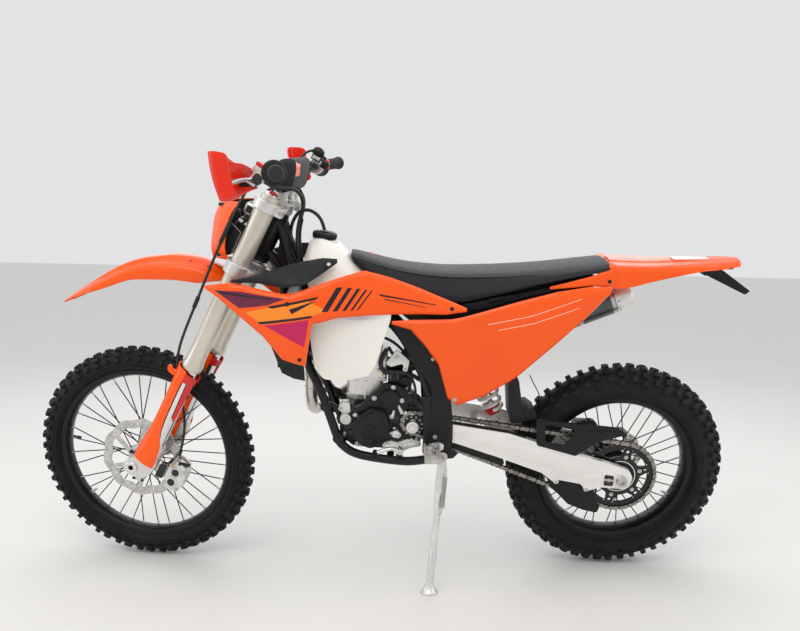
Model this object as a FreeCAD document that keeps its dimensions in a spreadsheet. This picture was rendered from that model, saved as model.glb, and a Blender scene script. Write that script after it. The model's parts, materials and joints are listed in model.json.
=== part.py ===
# Enduro dirt bike, parked on its side stand.  Lengths in millimetres.
# Bike frame while modelling: +X forward, +Y left, +Z up, origin on the ground
# half way between the two axles.  The steering group is modelled in its own
# frame: X square to the steering axis and forward, Y left, Z up the axis.
import FreeCAD, Part
import math
import os
import Sketcher
from FreeCAD import Vector as V, Placement, Rotation

doc = FreeCAD.newDocument("enduro_bike")

# ---------------------------------------------------------------- dimensions
SIZES = [
    ("wheelbase", 1487.0), ("rake_deg", 26.5), ("axis_offset", 57.0),
    ("leg_offset", 22.0), ("leg_half", 108.0),
    ("front_axle_height", 351.0), ("rear_axle_height", 343.0),
    ("lean_deg", 9.69), ("steer_deg", -7.68),
    ("front_crown", 45.0), ("rear_crown", 64.0),
    ("front_flange_r", 279.0), ("rear_flange_r", 241.0),
    ("front_axle_r", 13.0), ("rear_axle_r", 12.5), ("axle_bore_r", 8.0),
    ("running_gap", 0.05), ("body_gap", 0.2),
    ("fork_outer_r", 28.0), ("fork_inner_r", 24.0), ("fork_top", 940.0),
    ("fork_seal", 374.0), ("lower_clamp", 692.0), ("lower_clamp_thick", 38.0),
    ("upper_clamp", 893.0), ("upper_clamp_thick", 27.0), ("stem_r", 15.0),
    ("head_tube_r", 27.0), ("front_disc_r", 130.0), ("front_disc_y", 46.0),
    ("rear_disc_r", 110.0), ("rear_disc_y", -64.0), ("disc_thick", 3.5),
    ("sprocket_teeth", 44.0), ("small_sprocket_teeth", 13.0),
    ("chain_pitch", 15.875), ("chain_y", 78.0), ("chain_half", 8.0),
    ("spoke_r", 1.7), ("spokes", 36.0),
    ("pivot_x", -175.0), ("pivot_z", 482.0),
    ("small_sprocket_x", -98.0), ("small_sprocket_z", 510.0),
    ("tube_r", 14.0), ("bar_r", 11.1), ("bar_centre_r", 14.3),
    ("grip_r", 17.0), ("case_half", 66.0), ("header_r", 19.0),
    ("silencer_r", 48.0), ("stand_r", 10.0), ("stand_pin_r", 6.0),
    ("hose_r", 5.0), ("line_r", 3.5), ("shell_thick", 3.5),
    ("foot_x", -156.0), ("foot_y", 300.0), ("bar_z", 960.0),
]
sheet = doc.addObject("Spreadsheet::Sheet", "Sizes")
for i, (alias, value) in enumerate(SIZES):
    sheet.set("A%d" % (i + 1), alias)
    sheet.set("B%d" % (i + 1), "%g" % value)
    sheet.setAlias("B%d" % (i + 1), alias)
doc.recompute()
D = {alias: float(sheet.get(alias)) for alias, _ in SIZES}
rad = math.radians
SR, CR = math.sin(rad(D["rake_deg"])), math.cos(rad(D["rake_deg"]))
HALF = D["wheelbase"] / 2.0
ZF, ZR = D["front_axle_height"], D["rear_axle_height"]
A0 = V(HALF - D["axis_offset"] * CR, 0, ZF - D["axis_offset"] * SR)


def loc(x, y, z):
    """A point of the bike frame, straight ahead, in the steering frame."""
    dx, dz = x - A0.x, z - A0.z
    return V(dx * CR + dz * SR, y, -dx * SR + dz * CR)


# --------------------------------------------------------- parked attitude
X_AXIS, Y_AXIS, Z_AXIS = V(1, 0, 0), V(0, 1, 0), V(0, 0, 1)
RC_F, RC_R = D["front_crown"], D["rear_crown"]
COS_LEAN = math.cos(rad(D["lean_deg"]))
R_FRONT = ZF - RC_F / COS_LEAN + RC_F
R_REAR = ZR - RC_R / COS_LEAN + RC_R


def bike_at(dz, pitch):
    return (Placement(V(0, 0, dz), Rotation(Y_AXIS, pitch))
            * Placement(V(0, 0, 0), Rotation(X_AXIS, -D["lean_deg"])))


def steer_at(bike):
    return (bike * Placement(A0, Rotation(Y_AXIS, -D["rake_deg"]))
            * Placement(V(0, 0, 0), Rotation(Z_AXIS, D["steer_deg"])))


def low_point(place, radius, crown):
    axle = place.Rotation.multVec(Y_AXIS)
    return place.Base.z - (radius - crown) * math.sqrt(1 - axle.z ** 2) - crown


dz, pitch = 0.0, 0.0
for _ in range(20):
    bike = bike_at(dz, pitch)
    zf = low_point(steer_at(bike) * Placement(V(D["axis_offset"], 0, 0), Rotation()),
                   R_FRONT, RC_F)
    zr = low_point(bike * Placement(V(-HALF, 0, ZR), Rotation()), R_REAR, RC_R)
    dz -= (zf + zr) / 2
    pitch += math.degrees((zf - zr) / D["wheelbase"])
BIKE = bike_at(dz, pitch)
STEER = steer_at(BIKE)
FRONT_WHEEL = STEER * Placement(V(D["axis_offset"], 0, 0), Rotation())
REAR_WHEEL = BIKE * Placement(V(-HALF, 0, ZR), Rotation())

nodes = {}


def keep(obj, label, place):
    obj.Label = label
    nodes[label] = (obj, place)
    return obj


# ------------------------------------------------------------- small helpers
def feature(label, shape, place):
    obj = doc.addObject("Part::Feature", label + "_piece")
    if not shape.Placement.isIdentity():
        shape = Part.makeCompound([shape])
    obj.Shape = shape
    return keep(obj, label, place)


def expr(obj, **kw):
    for prop, text in kw.items():
        if isinstance(text, str):
            obj.setExpression(prop, text)
        else:
            setattr(obj, prop, text)


def cyl(name, r, height, at=V(0, 0, 0), axis=Z_AXIS):
    """Part cylinder whose sizes are numbers or sheet expressions."""
    c = doc.addObject("Part::Cylinder", name)
    expr(c, Radius=r, Height=height)
    c.Placement = Placement(at, Rotation(Z_AXIS, axis))
    return c


def block(name, a, b):
    """Box from the low corner a to the high corner b."""
    o = doc.addObject("Part::Box", name)
    o.Length, o.Width, o.Height = b[0] - a[0], b[1] - a[1], b[2] - a[2]
    o.Placement = Placement(V(*a), Rotation())
    return o


def fuse(name, parts):
    o = doc.addObject("Part::MultiFuse", name)
    o.Shapes = parts
    o.Refine = False
    return o


def cut(name, base, tool):
    o = doc.addObject("Part::Cut", name)
    o.Base, o.Tool = base, tool
    return o


def sketch(body, name, role, pts, closed=True):
    """Closed outline on an origin plane.  A coordinate is a number or an
    expression of the sheet; every corner carries its two distances."""
    sk = body.newObject("Sketcher::SketchObject", name)
    plane = [f for f in body.Origin.OriginFeatures if f.Role == role][0]
    sk.AttachmentSupport = [(plane, "")]
    sk.MapMode = "FlatFace"
    outline(sk, pts)
    return sk


def number(c):
    if not isinstance(c, str):
        return float(c)
    text = c
    for alias in sorted(D, key=len, reverse=True):
        text = text.replace("Sizes." + alias, "(%r)" % D[alias])
    return reckon(text)


def reckon(text):
    """Value of a plain sum, difference or product of numbers."""
    text = text.replace(" ", "").replace("(", "").replace(")", "")
    total, sign, i = 0.0, 1.0, 0
    terms, cur = [], ""
    for k, ch in enumerate(text):
        if ch in "+-" and k > 0 and text[k - 1] not in "*/+-e":
            terms.append(cur)
            cur = ch
        else:
            cur += ch
    terms.append(cur)
    for term in terms:
        sign = 1.0
        while term and term[0] in "+-":
            if term[0] == "-":
                sign = -sign
            term = term[1:]
        val = 1.0
        for j, factor in enumerate(term.split("*")):
            bits = factor.split("/")
            v = float(bits[0])
            for b in bits[1:]:
                v /= float(b)
            val *= v
        total += sign * val
    return total


def outline(sk, pts):
    base = sk.GeometryCount
    n = len(pts)
    val = [(number(p[0]), number(p[1])) for p in pts]
    for i in range(n):
        p, q = val[i], val[(i + 1) % n]
        sk.addGeometry(Part.LineSegment(V(p[0], p[1], 0), V(q[0], q[1], 0)))
    for i in range(n):
        sk.addConstraint(Sketcher.Constraint("Coincident", base + i, 2, base + (i + 1) % n, 1))
    for i in range(n):
        for kind, c, v in (("DistanceX", pts[i][0], val[i][0]), ("DistanceY", pts[i][1], val[i][1])):
            k = sk.addConstraint(Sketcher.Constraint(kind, -1, 1, base + i, 1, v))
            if isinstance(c, str):
                sk.setExpression("Constraints[%d]" % k, c)


def ring_body(label, outer, inner, place, arc=None):
    """Ring turned about the wheel's axle from an outline of (radius, y)."""
    body = doc.addObject("PartDesign::Body", label)
    sk = sketch(body, label + "_outline", "XY_Plane", outer)
    if inner:
        outline(sk, inner)
    rev = body.newObject("PartDesign::Revolution", label + "_turn")
    rev.Profile = sk
    rev.ReferenceAxis = (sk, ["V_Axis"])
    rev.Angle = 360
    sk.Visibility = False
    return keep(body, label, place)


def pad_body(label, pts, low, high, place, role="XZ_Plane"):
    """Side outline (x, z) padded between y = low and y = high."""
    body = doc.addObject("PartDesign::Body", label)
    sk = sketch(body, label + "_outline", role, pts)
    pad = body.newObject("PartDesign::Pad", label + "_pad")
    pad.Profile = sk
    pad.Length = high - low
    sk.AttachmentOffset = Placement(V(0, 0, -high), Rotation())
    return keep(body, label, place) if place is not None else body


def route(pts, share=0.45, label=None):
    """Straight runs joined by tangent arcs."""
    pts = [V(*p) for p in pts]
    edges, cur, radii = [], pts[0], []
    for i in range(1, len(pts) - 1):
        a, b = pts[i - 1] - pts[i], pts[i + 1] - pts[i]
        la, lb = a.Length, b.Length
        a.normalize()
        b.normalize()
        t = share * min(la, lb)
        turn = math.pi - a.getAngle(b)
        r = t / math.tan(turn / 2)
        radii.append(r)
        p1, p2 = pts[i] + a * t, pts[i] + b * t
        bis = a + b
        bis.normalize()
        mid = pts[i] + bis * (r / math.cos(turn / 2) - r)
        edges.append(Part.LineSegment(cur, p1).toShape())
        edges.append(Part.Arc(p1, mid, p2).toShape())
        cur = p2
    edges.append(Part.LineSegment(cur, pts[-1]).toShape())
    wire = Part.Wire(edges)
    if label:
        print("ROUTE %s length %.1f radii %s" % (label, wire.Length, " ".join("%.0f" % r for r in radii)))
    return wire


def pipe(pts, r, label=None, bore=0.0):
    wire = route(pts, label=label)
    start = V(*pts[0])
    direction = V(*pts[1]) - start

    def swept(radius):
        ring = Part.Wire(Part.makeCircle(radius, start, direction))
        return wire.makePipeShell([ring], True, False)
    solid = swept(r)
    want = math.pi * r * r * wire.Length
    if abs(solid.Volume / want - 1) > 0.01:
        print("WARNING pipe volume", label, solid.Volume, want)
    if bore:
        solid = solid.cut(swept(bore))
    return solid


def mirror(shape):
    return shape.mirror(V(0, 0, 0), Y_AXIS)


def closed_loft(sections, ruled=True):
    """Solid through closed sections of equal count; where the straight-ruled
    faces don't close cleanly it is made of flat triangles instead."""
    wires = []
    for s in sections:
        p = [V(*q) for q in s]
        wires.append(Part.makePolygon(p + [p[0]]))
    solid = Part.makeLoft(wires, True, ruled)
    if solid.isValid() and len(solid.Solids) == 1:
        return solid
    return facets(sections)


def facets(sections):
    faces = []

    def tri(a, b, c):
        if (b - a).cross(c - a).Length > 1e-6:
            faces.append(Part.Face(Part.makePolygon([a, b, c, a])))
    rows = [[V(*q) for q in s] for s in sections]
    n = len(rows[0])
    for r0, r1 in zip(rows[:-1], rows[1:]):
        for k in range(n):
            a, b, c, d = r0[k], r0[(k + 1) % n], r1[(k + 1) % n], r1[k]
            if (a - c).Length <= (b - d).Length:
                tri(a, b, c)
                tri(a, c, d)
            else:
                tri(a, b, d)
                tri(b, c, d)
    for row in (rows[0], rows[-1]):
        for k in range((n - 1) // 2):
            tri(row[k], row[k + 1], row[n - 1 - k])
            if k + 1 < n - 2 - k:
                tri(row[k + 1], row[n - 2 - k], row[n - 1 - k])
    skin = Part.makeCompound(faces)
    skin.sewShape()
    solid = Part.Solid(skin.Shells[0])
    if solid.Volume < 0:
        solid.reverse()
    print("FACETS", len(faces), len(skin.Shells), solid.isClosed(), solid.isValid())
    return solid


def shell(sections, thick, toward):
    """Thin shell: each section is an open row of outer points; the inner row
    lies 'thick' further toward the point given for that section."""
    rows = []
    n = len(sections)
    for i, s in enumerate(sections):
        here = [V(*q) for q in s]
        before = [V(*q) for q in sections[max(i - 1, 0)]]
        after = [V(*q) for q in sections[min(i + 1, n - 1)]]
        inner = []
        for k, p in enumerate(here):
            along = after[k] - before[k]
            across = here[min(k + 1, len(here) - 1)] - here[max(k - 1, 0)]
            nrm = along.cross(across)
            if nrm.Length < 1e-9:
                nrm = V(*toward) - p
            nrm.normalize()
            if nrm.dot(V(*toward) - p) < 0:
                nrm = nrm * -1
            nrm = nrm - nrm.dot(section_normal(before[0], after[0])) * section_normal(before[0], after[0])
            nrm.normalize()
            inner.append(p + nrm * thick)
        rows.append([tuple(q) for q in here + inner[::-1]])
    return closed_loft(rows)


def section_normal(a, b):
    d = b - a
    d.normalize()
    return d


def panel(stations, thick, rows=3, bulge=0.0):
    """Side panel from stations (x, z low, z high, y low, y high)."""
    secs = []
    for x, z0, z1, y0, y1 in stations:
        row = []
        for k in range(rows):
            f = k / (rows - 1.0)
            y = y0 + (y1 - y0) * f + bulge * 4 * f * (1 - f)
            row.append((x, y, z0 + (z1 - z0) * f))
        secs.append(row + [(p[0], p[1] - thick, p[2]) for p in row[::-1]])
    return closed_loft(secs)


def pair(shape):
    return Part.makeCompound([shape, mirror(shape)])


# =================================================================== wheels
def tyre(label, big, crown, half, bead_y, bead_r, flange_r, place):
    body = doc.addObject("PartDesign::Body", label)
    sk = body.newObject("Sketcher::SketchObject", label + "_outline")
    plane = [f for f in body.Origin.OriginFeatures if f.Role == "XY_Plane"][0]
    sk.AttachmentSupport = [(plane, "")]
    sk.MapMode = "FlatFace"
    wide = big - crown
    pts = [(bead_r + 0.6, -bead_y), (flange_r + 0.8, -bead_y), (flange_r + 2.5, -bead_y - 7),
           (flange_r + 10, -half * 0.93), (wide, -half)]
    mir = [(p[0], -p[1]) for p in pts[::-1]]
    wall = 7.0
    ins = [(bead_r + 0.6, bead_y - 7), (flange_r + 4, bead_y - 6), (flange_r + 12, half * 0.93 - wall),
           (wide, half - wall)]
    ins_m = [(p[0], -p[1]) for p in ins[::-1]]
    sag = crown - 13.0
    r_in = ((half - wall) ** 2 + sag ** 2) / (2 * sag)
    c_in = wide + sag - r_in
    chain = []
    geo = []

    def line(p, q):
        geo.append(("L", p, q))
    for p, q in zip(pts[:-1], pts[1:]):
        line(p, q)
    geo.append(("A", (wide, 0), crown, pts[-1], mir[0], 1))
    for p, q in zip(mir[:-1], mir[1:]):
        line(p, q)
    line(mir[-1], ins[0])
    for p, q in zip(ins[:-1], ins[1:]):
        line(p, q)
    geo.append(("A", (c_in, 0), r_in, ins[-1], ins_m[0], -1))
    for p, q in zip(ins_m[:-1], ins_m[1:]):
        line(p, q)
    line(ins_m[-1], pts[0])
    ends = []
    for g in geo:
        if g[0] == "L":
            sk.addGeometry(Part.LineSegment(V(g[1][0], g[1][1], 0), V(g[2][0], g[2][1], 0)))
            ends.append((1, 2))
        else:
            _, c, r, p, q, way = g
            a, b = (p, q) if way > 0 else (q, p)
            a1 = math.atan2(a[1] - c[1], a[0] - c[0])
            a2 = math.atan2(b[1] - c[1], b[0] - c[0])
            sk.addGeometry(Part.ArcOfCircle(Part.Circle(V(c[0], c[1], 0), Z_AXIS, r), a1, a2))
            ends.append((1, 2) if way > 0 else (2, 1))
    n = len(geo)
    for i in range(n):
        sk.addConstraint(Sketcher.Constraint("Coincident", i, ends[i][1], (i + 1) % n, ends[(i + 1) % n][0]))
    for i, g in enumerate(geo):
        p = g[1] if g[0] == "L" else g[3]
        sk.addConstraint(Sketcher.Constraint("DistanceX", -1, 1, i, ends[i][0], p[0]))
        sk.addConstraint(Sketcher.Constraint("DistanceY", -1, 1, i, ends[i][0], p[1]))
    rev = body.newObject("PartDesign::Revolution", label + "_turn")
    rev.Profile = sk
    rev.ReferenceAxis = (sk, ["V_Axis"])
    rev.Angle = 360
    return keep(body, label, place)


tyre("front_tyre", R_FRONT, RC_F, RC_F, 23.2, 267.4, D["front_flange_r"], FRONT_WHEEL)
tyre("rear_tyre", R_REAR, RC_R, RC_R, 31.7, 228.8, D["rear_flange_r"], REAR_WHEEL)


def both(half):
    return [(r, -y if not isinstance(y, str) else "-" + y) for r, y in half] + [(r, y) for r, y in half[::-1]]


ring_body("front_rim", both([(257.4, 8), (258.5, 15), (262, 21.5), (265, 25.5), ("Sizes.front_flange_r", 26.5),
                             ("Sizes.front_flange_r", 23.5), (267.4, 23.5), (267.4, 15), (262, 11)]), None, FRONT_WHEEL)
ring_body("rear_rim", both([(216.5, 9), (218, 18), (221.5, 27), (225.5, 33.5), ("Sizes.rear_flange_r", 35),
                            ("Sizes.rear_flange_r", 32), (228.8, 32), (228.8, 22), (222, 16)]),
          None, REAR_WHEEL)


def spoked_hub(label, core, bore, hub_r, hub_y, rim_r, rim_y, place):
    """Turned hub with its laced spokes; core is a list of (radius, y0, y1)."""
    solid = None
    for r, y0, y1 in core:
        c = Part.makeCylinder(r, y1 - y0, V(0, y0, 0), Y_AXIS)
        solid = c if solid is None else solid.fuse(c)
    n = int(D["spokes"])
    rods = []
    for i in range(n):
        side = 1 if i % 2 else -1
        lead = 1 if (i // 2) % 2 else -1
        a = 2 * math.pi * i / n
        hub_a = a - lead * rad(62.0)
        y_h = side * (hub_y + (1.9 if lead > 0 else -1.9))
        p = V(hub_r * math.cos(hub_a), y_h, hub_r * math.sin(hub_a))
        q = V(rim_r * math.cos(a), side * rim_y, rim_r * math.sin(a))
        d = q - p
        length = d.Length - 0.4
        p0 = p
        rods.append(Part.makeCylinder(D["spoke_r"], length, p0, d))
    solid = solid.multiFuse(rods)
    solid = solid.cut(Part.makeCylinder(bore, 400, V(0, -200, 0), Y_AXIS))
    return feature(label, solid, place)


spoked_hub("front_hub", [(20, -38, 38), (33, 28.5, 34.5), (33, -34.5, -28.5), (40, 35, 43.9), (31.8, 38, 50)],
           D["front_axle_r"] + D["running_gap"], 28.5, 31.5, 257.4, 6, FRONT_WHEEL)
spoked_hub("rear_hub", [(26, -66, 72), (40, 31, 38), (40, -38, -31), (52, 64, 74.2), (46, 60, 80), (36, -70, -40),
                        (46, -61.9, -54)],
           D["rear_axle_r"] + D["running_gap"], 35, 34.5, 216.4, 8, REAR_WHEEL)


def disc(label, r_out, r_in, web, y, count, place):
    """Brake disc: a padded ring with openings and vent holes round it."""
    body = doc.addObject("PartDesign::Body", label)
    sk = body.newObject("Sketcher::SketchObject", label + "_ring")
    plane = [f for f in body.Origin.OriginFeatures if f.Role == "XZ_Plane"][0]
    sk.AttachmentSupport = [(plane, "")]
    sk.MapMode = "FlatFace"
    sk.AttachmentOffset = Placement(V(0, 0, -(y + D["disc_thick"] / 2)), Rotation())
    k = 0
    for r in (r_out, r_in):
        sk.addGeometry(Part.Circle(V(0, 0, 0), Z_AXIS, number(r)))
        sk.addConstraint(Sketcher.Constraint("Coincident", k, 3, -1, 1))
        c = sk.addConstraint(Sketcher.Constraint("Radius", k, number(r)))
        if isinstance(r, str):
            sk.setExpression("Constraints[%d]" % c, r)
        k += 1
    pad = body.newObject("PartDesign::Pad", label + "_pad")
    pad.Profile = sk
    pad.setExpression("Length", "Sizes.disc_thick")
    doc.recompute()
    before = body.Shape.Volume
    lo, hi = web
    half = math.pi / count - 0.16
    pts = []
    for r, sgn in ((lo, 1), (hi, 1), (hi, -1), (lo, -1)):
        h2 = half * (0.75 if r == lo else 1.0) * sgn
        pts.append((r * math.cos(h2), r * math.sin(h2)))
    sk2 = body.newObject("Sketcher::SketchObject", label + "_window")
    sk2.AttachmentSupport = [(plane, "")]
    sk2.MapMode = "FlatFace"
    sk2.AttachmentOffset = Placement(V(0, 0, -(y + D["disc_thick"] / 2 + 1)), Rotation())
    outline(sk2, pts)
    poc = body.newObject("PartDesign::Pocket", label + "_pocket")
    poc.Profile = sk2
    poc.Reversed = True
    poc.Length = D["disc_thick"] + 2
    pat = body.newObject("PartDesign::PolarPattern", label + "_round")
    pat.Originals = [poc]
    pat.Axis = (sk2, ["N_Axis"])
    pat.Angle = 360
    pat.Occurrences = count
    body.Tip = pat
    doc.recompute()
    print("DISC", label, before, body.Shape.Volume, body.Shape.BoundBox)
    return keep(body, label, place)


disc("front_disc", "Sizes.front_disc_r", 32, (46, 96), D["front_disc_y"], 6, FRONT_WHEEL)
disc("rear_disc", "Sizes.rear_disc_r", 36.3, (50, 82), D["rear_disc_y"], 6, REAR_WHEEL)
TEETH, SMALL = D["sprocket_teeth"], D["small_sprocket_teeth"]
R_BIG = D["chain_pitch"] / 2 / math.sin(math.pi / TEETH)
R_SMALL = D["chain_pitch"] / 2 / math.sin(math.pi / SMALL)
disc("rear_sprocket", R_BIG - 9.5, 46.2, (62, 88), D["chain_y"], 6, REAR_WHEEL)

# ==================================================================== axles
ax = fuse("front_axle_turned", [
    cyl("fa_shaft", "Sizes.front_axle_r", 252, V(0, -126, 0), Y_AXIS),
    cyl("fa_sp_l", 18, 33, V(0, 51, 0), Y_AXIS), cyl("fa_sp_r", 18, 45, V(0, -84, 0), Y_AXIS),
    cyl("fa_head", 17, 6, V(0, 128.4, 0), Y_AXIS), cyl("fa_neck", "Sizes.front_axle_r", 6, V(0, 124, 0), Y_AXIS)])
keep(cut("front_axle_cut", ax, cyl("fa_bore", "Sizes.axle_bore_r", 300, V(0, -150, 0), Y_AXIS)),
     "front_axle", FRONT_WHEEL)
ax = fuse("rear_axle_turned", [
    cyl("ra_shaft", "Sizes.rear_axle_r", 254, V(0, -127, 0), Y_AXIS),
    cyl("ra_sp_l", 18, 9.5, V(0, 81, 0), Y_AXIS), cyl("ra_sp_r", 18, 19.5, V(0, -90.5, 0), Y_AXIS),
    cyl("ra_nut_l", 19, 14, V(0, 116, 0), Y_AXIS), cyl("ra_head_r", 19, 12, V(0, -128, 0), Y_AXIS)])
keep(cut("rear_axle_cut", ax, cyl("ra_bore", "Sizes.axle_bore_r", 300, V(0, -150, 0), Y_AXIS)),
     "rear_axle", REAR_WHEEL)

# ============================================================ steering group
LO, HI = D["leg_offset"], D["leg_half"]
parts = []
for s in (1, -1):
    parts += [cyl("tube_%d" % s, "Sizes.fork_outer_r", "Sizes.fork_top-Sizes.fork_seal", V(LO, s * HI, D["fork_seal"])),
              cyl("seal_%d" % s, "Sizes.fork_outer_r+2.5", 20, V(LO, s * HI, D["fork_seal"]))]
bores = [cyl("tbore_%d" % s, "Sizes.fork_inner_r+0.4", 60, V(LO, s * HI, D["fork_seal"] - 2)) for s in (1, -1)]
keep(cut("fork_tubes_cut", fuse("fork_tubes_all", parts), fuse("fork_tubes_bores", bores)), "fork_tubes", STEER)

parts, bores = [], []
for s in (1, -1):
    parts += [cyl("stanch_%d" % s, "Sizes.fork_inner_r", 350, V(LO, s * HI, 70)),
              cyl("foot_%d" % s, 30, 82, V(LO, s * HI, 24)),
              block("lug_%d" % s, (LO - 6, s * HI - 20, -18), (57, s * HI + 20, 60)),
              cyl("boss_%d" % s, 25, 40, V(57, s * HI - 20, 0), Y_AXIS)]
    bores.append(cyl("fbore_%d" % s, "Sizes.front_axle_r+Sizes.body_gap", 60, V(57, s * HI - 30, 0), Y_AXIS))
keep(cut("fork_lowers_cut", fuse("fork_lowers_all", parts), fuse("fork_lowers_bores", bores)), "fork_lowers", STEER)


def clamp(name, t, thick, stem_part):
    """Fork clamp: a padded bridge with a boss round each leg."""
    body = doc.addObject("PartDesign::Body", name)
    sk = sketch(body, name + "_outline", "XY_Plane",
                [(-20, -22), (4, -72), (LO - 20, -HI - 36), (LO + 24, -HI - 30), (LO + 34, -HI + 14), (36, -60), (30, -24),
                 (30, 24), (36, 60), (LO + 34, HI - 14), (LO + 24, HI + 30), (LO - 20, HI + 36), (4, 72), (-20, 22)])
    pad = body.newObject("PartDesign::Pad", name + "_pad")
    pad.Profile = sk
    pad.Length = thick
    body.Placement = Placement(V(0, 0, t), Rotation())
    return body


lc = clamp("lower_bridge", D["lower_clamp"], D["lower_clamp_thick"], True)
uc = clamp("upper_bridge", D["upper_clamp"], D["upper_clamp_thick"], False)
T1, T2 = D["lower_clamp"], D["upper_clamp"]
lower = fuse("lower_clamp_all", [lc] + [cyl("lboss_%d" % s, 41, "Sizes.lower_clamp_thick", V(LO, s * HI, T1)) for s in (1, -1)]
             + [cyl("lstem_boss", 30, "Sizes.lower_clamp_thick", V(0, 0, T1)),
                cyl("stem", "Sizes.stem_r", T2 + 40 - T1, V(0, 0, T1 + 1)),
                cyl("stem_nut", 19, 12, V(0, 0, T2 + D["upper_clamp_thick"] + 0.3))])
upper = fuse("upper_clamp_all", [uc] + [cyl("uboss_%d" % s, 39, "Sizes.upper_clamp_thick", V(LO, s * HI, T2)) for s in (1, -1)]
             + [cyl("ustem_boss", 30, "Sizes.upper_clamp_thick", V(0, 0, T2))]
             + [block("post_%d" % s, (-6, s * 38 - 13, T2 + 10), (36, s * 38 + 13, D["bar_z"] + 20)) for s in (1, -1)])
lower = cut("lower_clamp_cut", lower, fuse("lower_clamp_bores", [cyl("lbore_%d" % s, "Sizes.fork_outer_r+Sizes.body_gap", 60, V(LO, s * HI, T1 - 5)) for s in (1, -1)]
            + [cyl("lstem_bore", 10, 400, V(0, 0, T1 - 5))]))
upper = cut("upper_clamp_cut", upper, fuse("upper_clamp_bores", [cyl("ubore_%d" % s, "Sizes.fork_outer_r+Sizes.body_gap", 60, V(LO, s * HI, T2 - 5)) for s in (1, -1)]
            + [cyl("ustem_bore", "Sizes.stem_r+Sizes.body_gap", 60, V(0, 0, T2 - 5)),
               cyl("bar_bore", "Sizes.bar_centre_r+Sizes.body_gap", 200, V(15, -100, D["bar_z"]), Y_AXIS)]))
keep(fuse("triple_clamps_all", [lower, upper]), "triple_clamps", STEER)

# handlebar: thick centre, thinner swept ends
BZ = D["bar_z"]
BAR = [(15, 78, BZ), (18, 176, 1004), (17, 226, 1012), (-26, 400, 1043)]
half_bar = pipe([(15, 40, BZ)] + BAR, D["bar_r"], "half_bar")
bar = half_bar.fuse(mirror(half_bar)).fuse(Part.makeCylinder(D["bar_centre_r"], 116, V(15, -58, BZ), Y_AXIS))
feature("handlebar", bar, STEER)
BEND, END = V(*BAR[2]), V(*BAR[3])
BD = END - BEND
BD.normalize()


def on_bar(y):
    """Point of the left bar end at that distance from the middle."""
    return BEND + BD * ((y - BEND.y) / BD.y)


def flip_axis(v):
    return V(v.x, -v.y, v.z)


grips = []
for s in (1, -1):
    f = (lambda v: v) if s > 0 else flip_axis
    g = fuse("grip_body_%d" % s, [cyl("grip_tube_%d" % s, "Sizes.grip_r", 122, f(on_bar(282)), f(BD)),
                                  cyl("grip_flange_%d" % s, 29, 5, f(on_bar(278)), f(BD)),
                                  cyl("grip_end_%d" % s, 20, 9, f(on_bar(396)), f(BD))])
    grips.append(cut("grip_cut_%d" % s, g, cyl("grip_bore_%d" % s, "Sizes.bar_r+Sizes.body_gap", 136, f(on_bar(272)), f(BD))))
keep(fuse("grips_all", grips), "grips", STEER)

# lever perches with their levers
levers = []
for s in (1,):
    c0 = on_bar(256)
    perch = Part.makeCylinder(18, 18, on_bar(256), BD)
    body = Part.makeCylinder(13, 44, V(c0.x + 33, 236, c0.z - 36), V(-0.15, 0.97, 0.1))
    body = body.fuse(Part.makeCylinder(7, 18, V(c0.x + 33, 221, c0.z - 36), Y_AXIS))
    arm = Part.makeBox(34, 17, 28, V(c0.x + 2, 255, c0.z - 32))
    lev = pipe([(42, 262, 982), (60, 280, 973), (72, 318, 966), (73, 362, 959)], 6.0)
    ball = Part.makeSphere(9.0, V(73, 362, 959))
    one = perch.multiFuse([body, arm, lev, ball]).cut(Part.makeCylinder(D["bar_r"] + 0.2, 40, on_bar(250), BD))
    levers.append(one)
feature("hand_levers", pair(levers[0]), STEER)

# hand guards: curved shields in front of the grips, each on a bracket
HG = [(320, 195, 1194, 1246), (334, 250, 1190, 1262), (350, 300, 1178, 1280), (362, 350, 1174, 1291), (370, 388, 1178, 1293),
      (364, 406, 1182, 1293), (345, 413, 1184, 1293), (316, 413, 1198, 1290)]
secs = []
for x, y, z0, z1 in HG:
    secs.append([loc(x - 0.22 * (z1 - z0) * (1 - k / 2.0), y, z0 + (z1 - z0) * k / 2.0) for k in range(3)])
guard = shell([[tuple(p) for p in s] for s in secs], 4.0, tuple(loc(250, 290, 1235)))
bracket = pipe([(31.5, 208, 1009), (56, 211, 986), tuple(loc(315, 214, 1222))], 6.0)
feature("handguards", pair(guard.fuse(bracket)), STEER)

# bar pad: wraps the middle of the bar and its clamps from above
BP = [(36, 956), (52, 985), (50, 1012), (40, 1034), (14, 1046), (0, 1034), (-9, 1005), (-12, 978), (-4, 962), (20, 954)]
pad_shape = Part.Face(Part.makePolygon([V(x, -95, z) for x, z in BP] + [V(BP[0][0], -95, BP[0][1])])).extrude(V(0, 190, 0))
room = pipe([(15, 40, BZ)] + BAR[:2], D["bar_r"] + 0.4)
pad_shape = pad_shape.cut(Part.makeBox(43, 104, 40, V(-6.5, -52, BZ - 19.5))).cut(
    Part.makeCylinder(D["bar_centre_r"] + 0.4, 118, V(15, -59, BZ), Y_AXIS)).cut(room).cut(mirror(room))
feature("bar_pad", pad_shape, STEER)

# front mudguard
FF = [(445, 944, 46, 18), (490, 966, 64, 44), (541, 984, 72, 66), (610, 990, 76, 66), (684, 982, 78, 60),
      (737, 969, 78, 52), (783, 951, 76, 50), (830, 926, 70, 42), (880, 896, 60, 28), (925, 868, 48, 16), (962, 843, 30, 6)]


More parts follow.
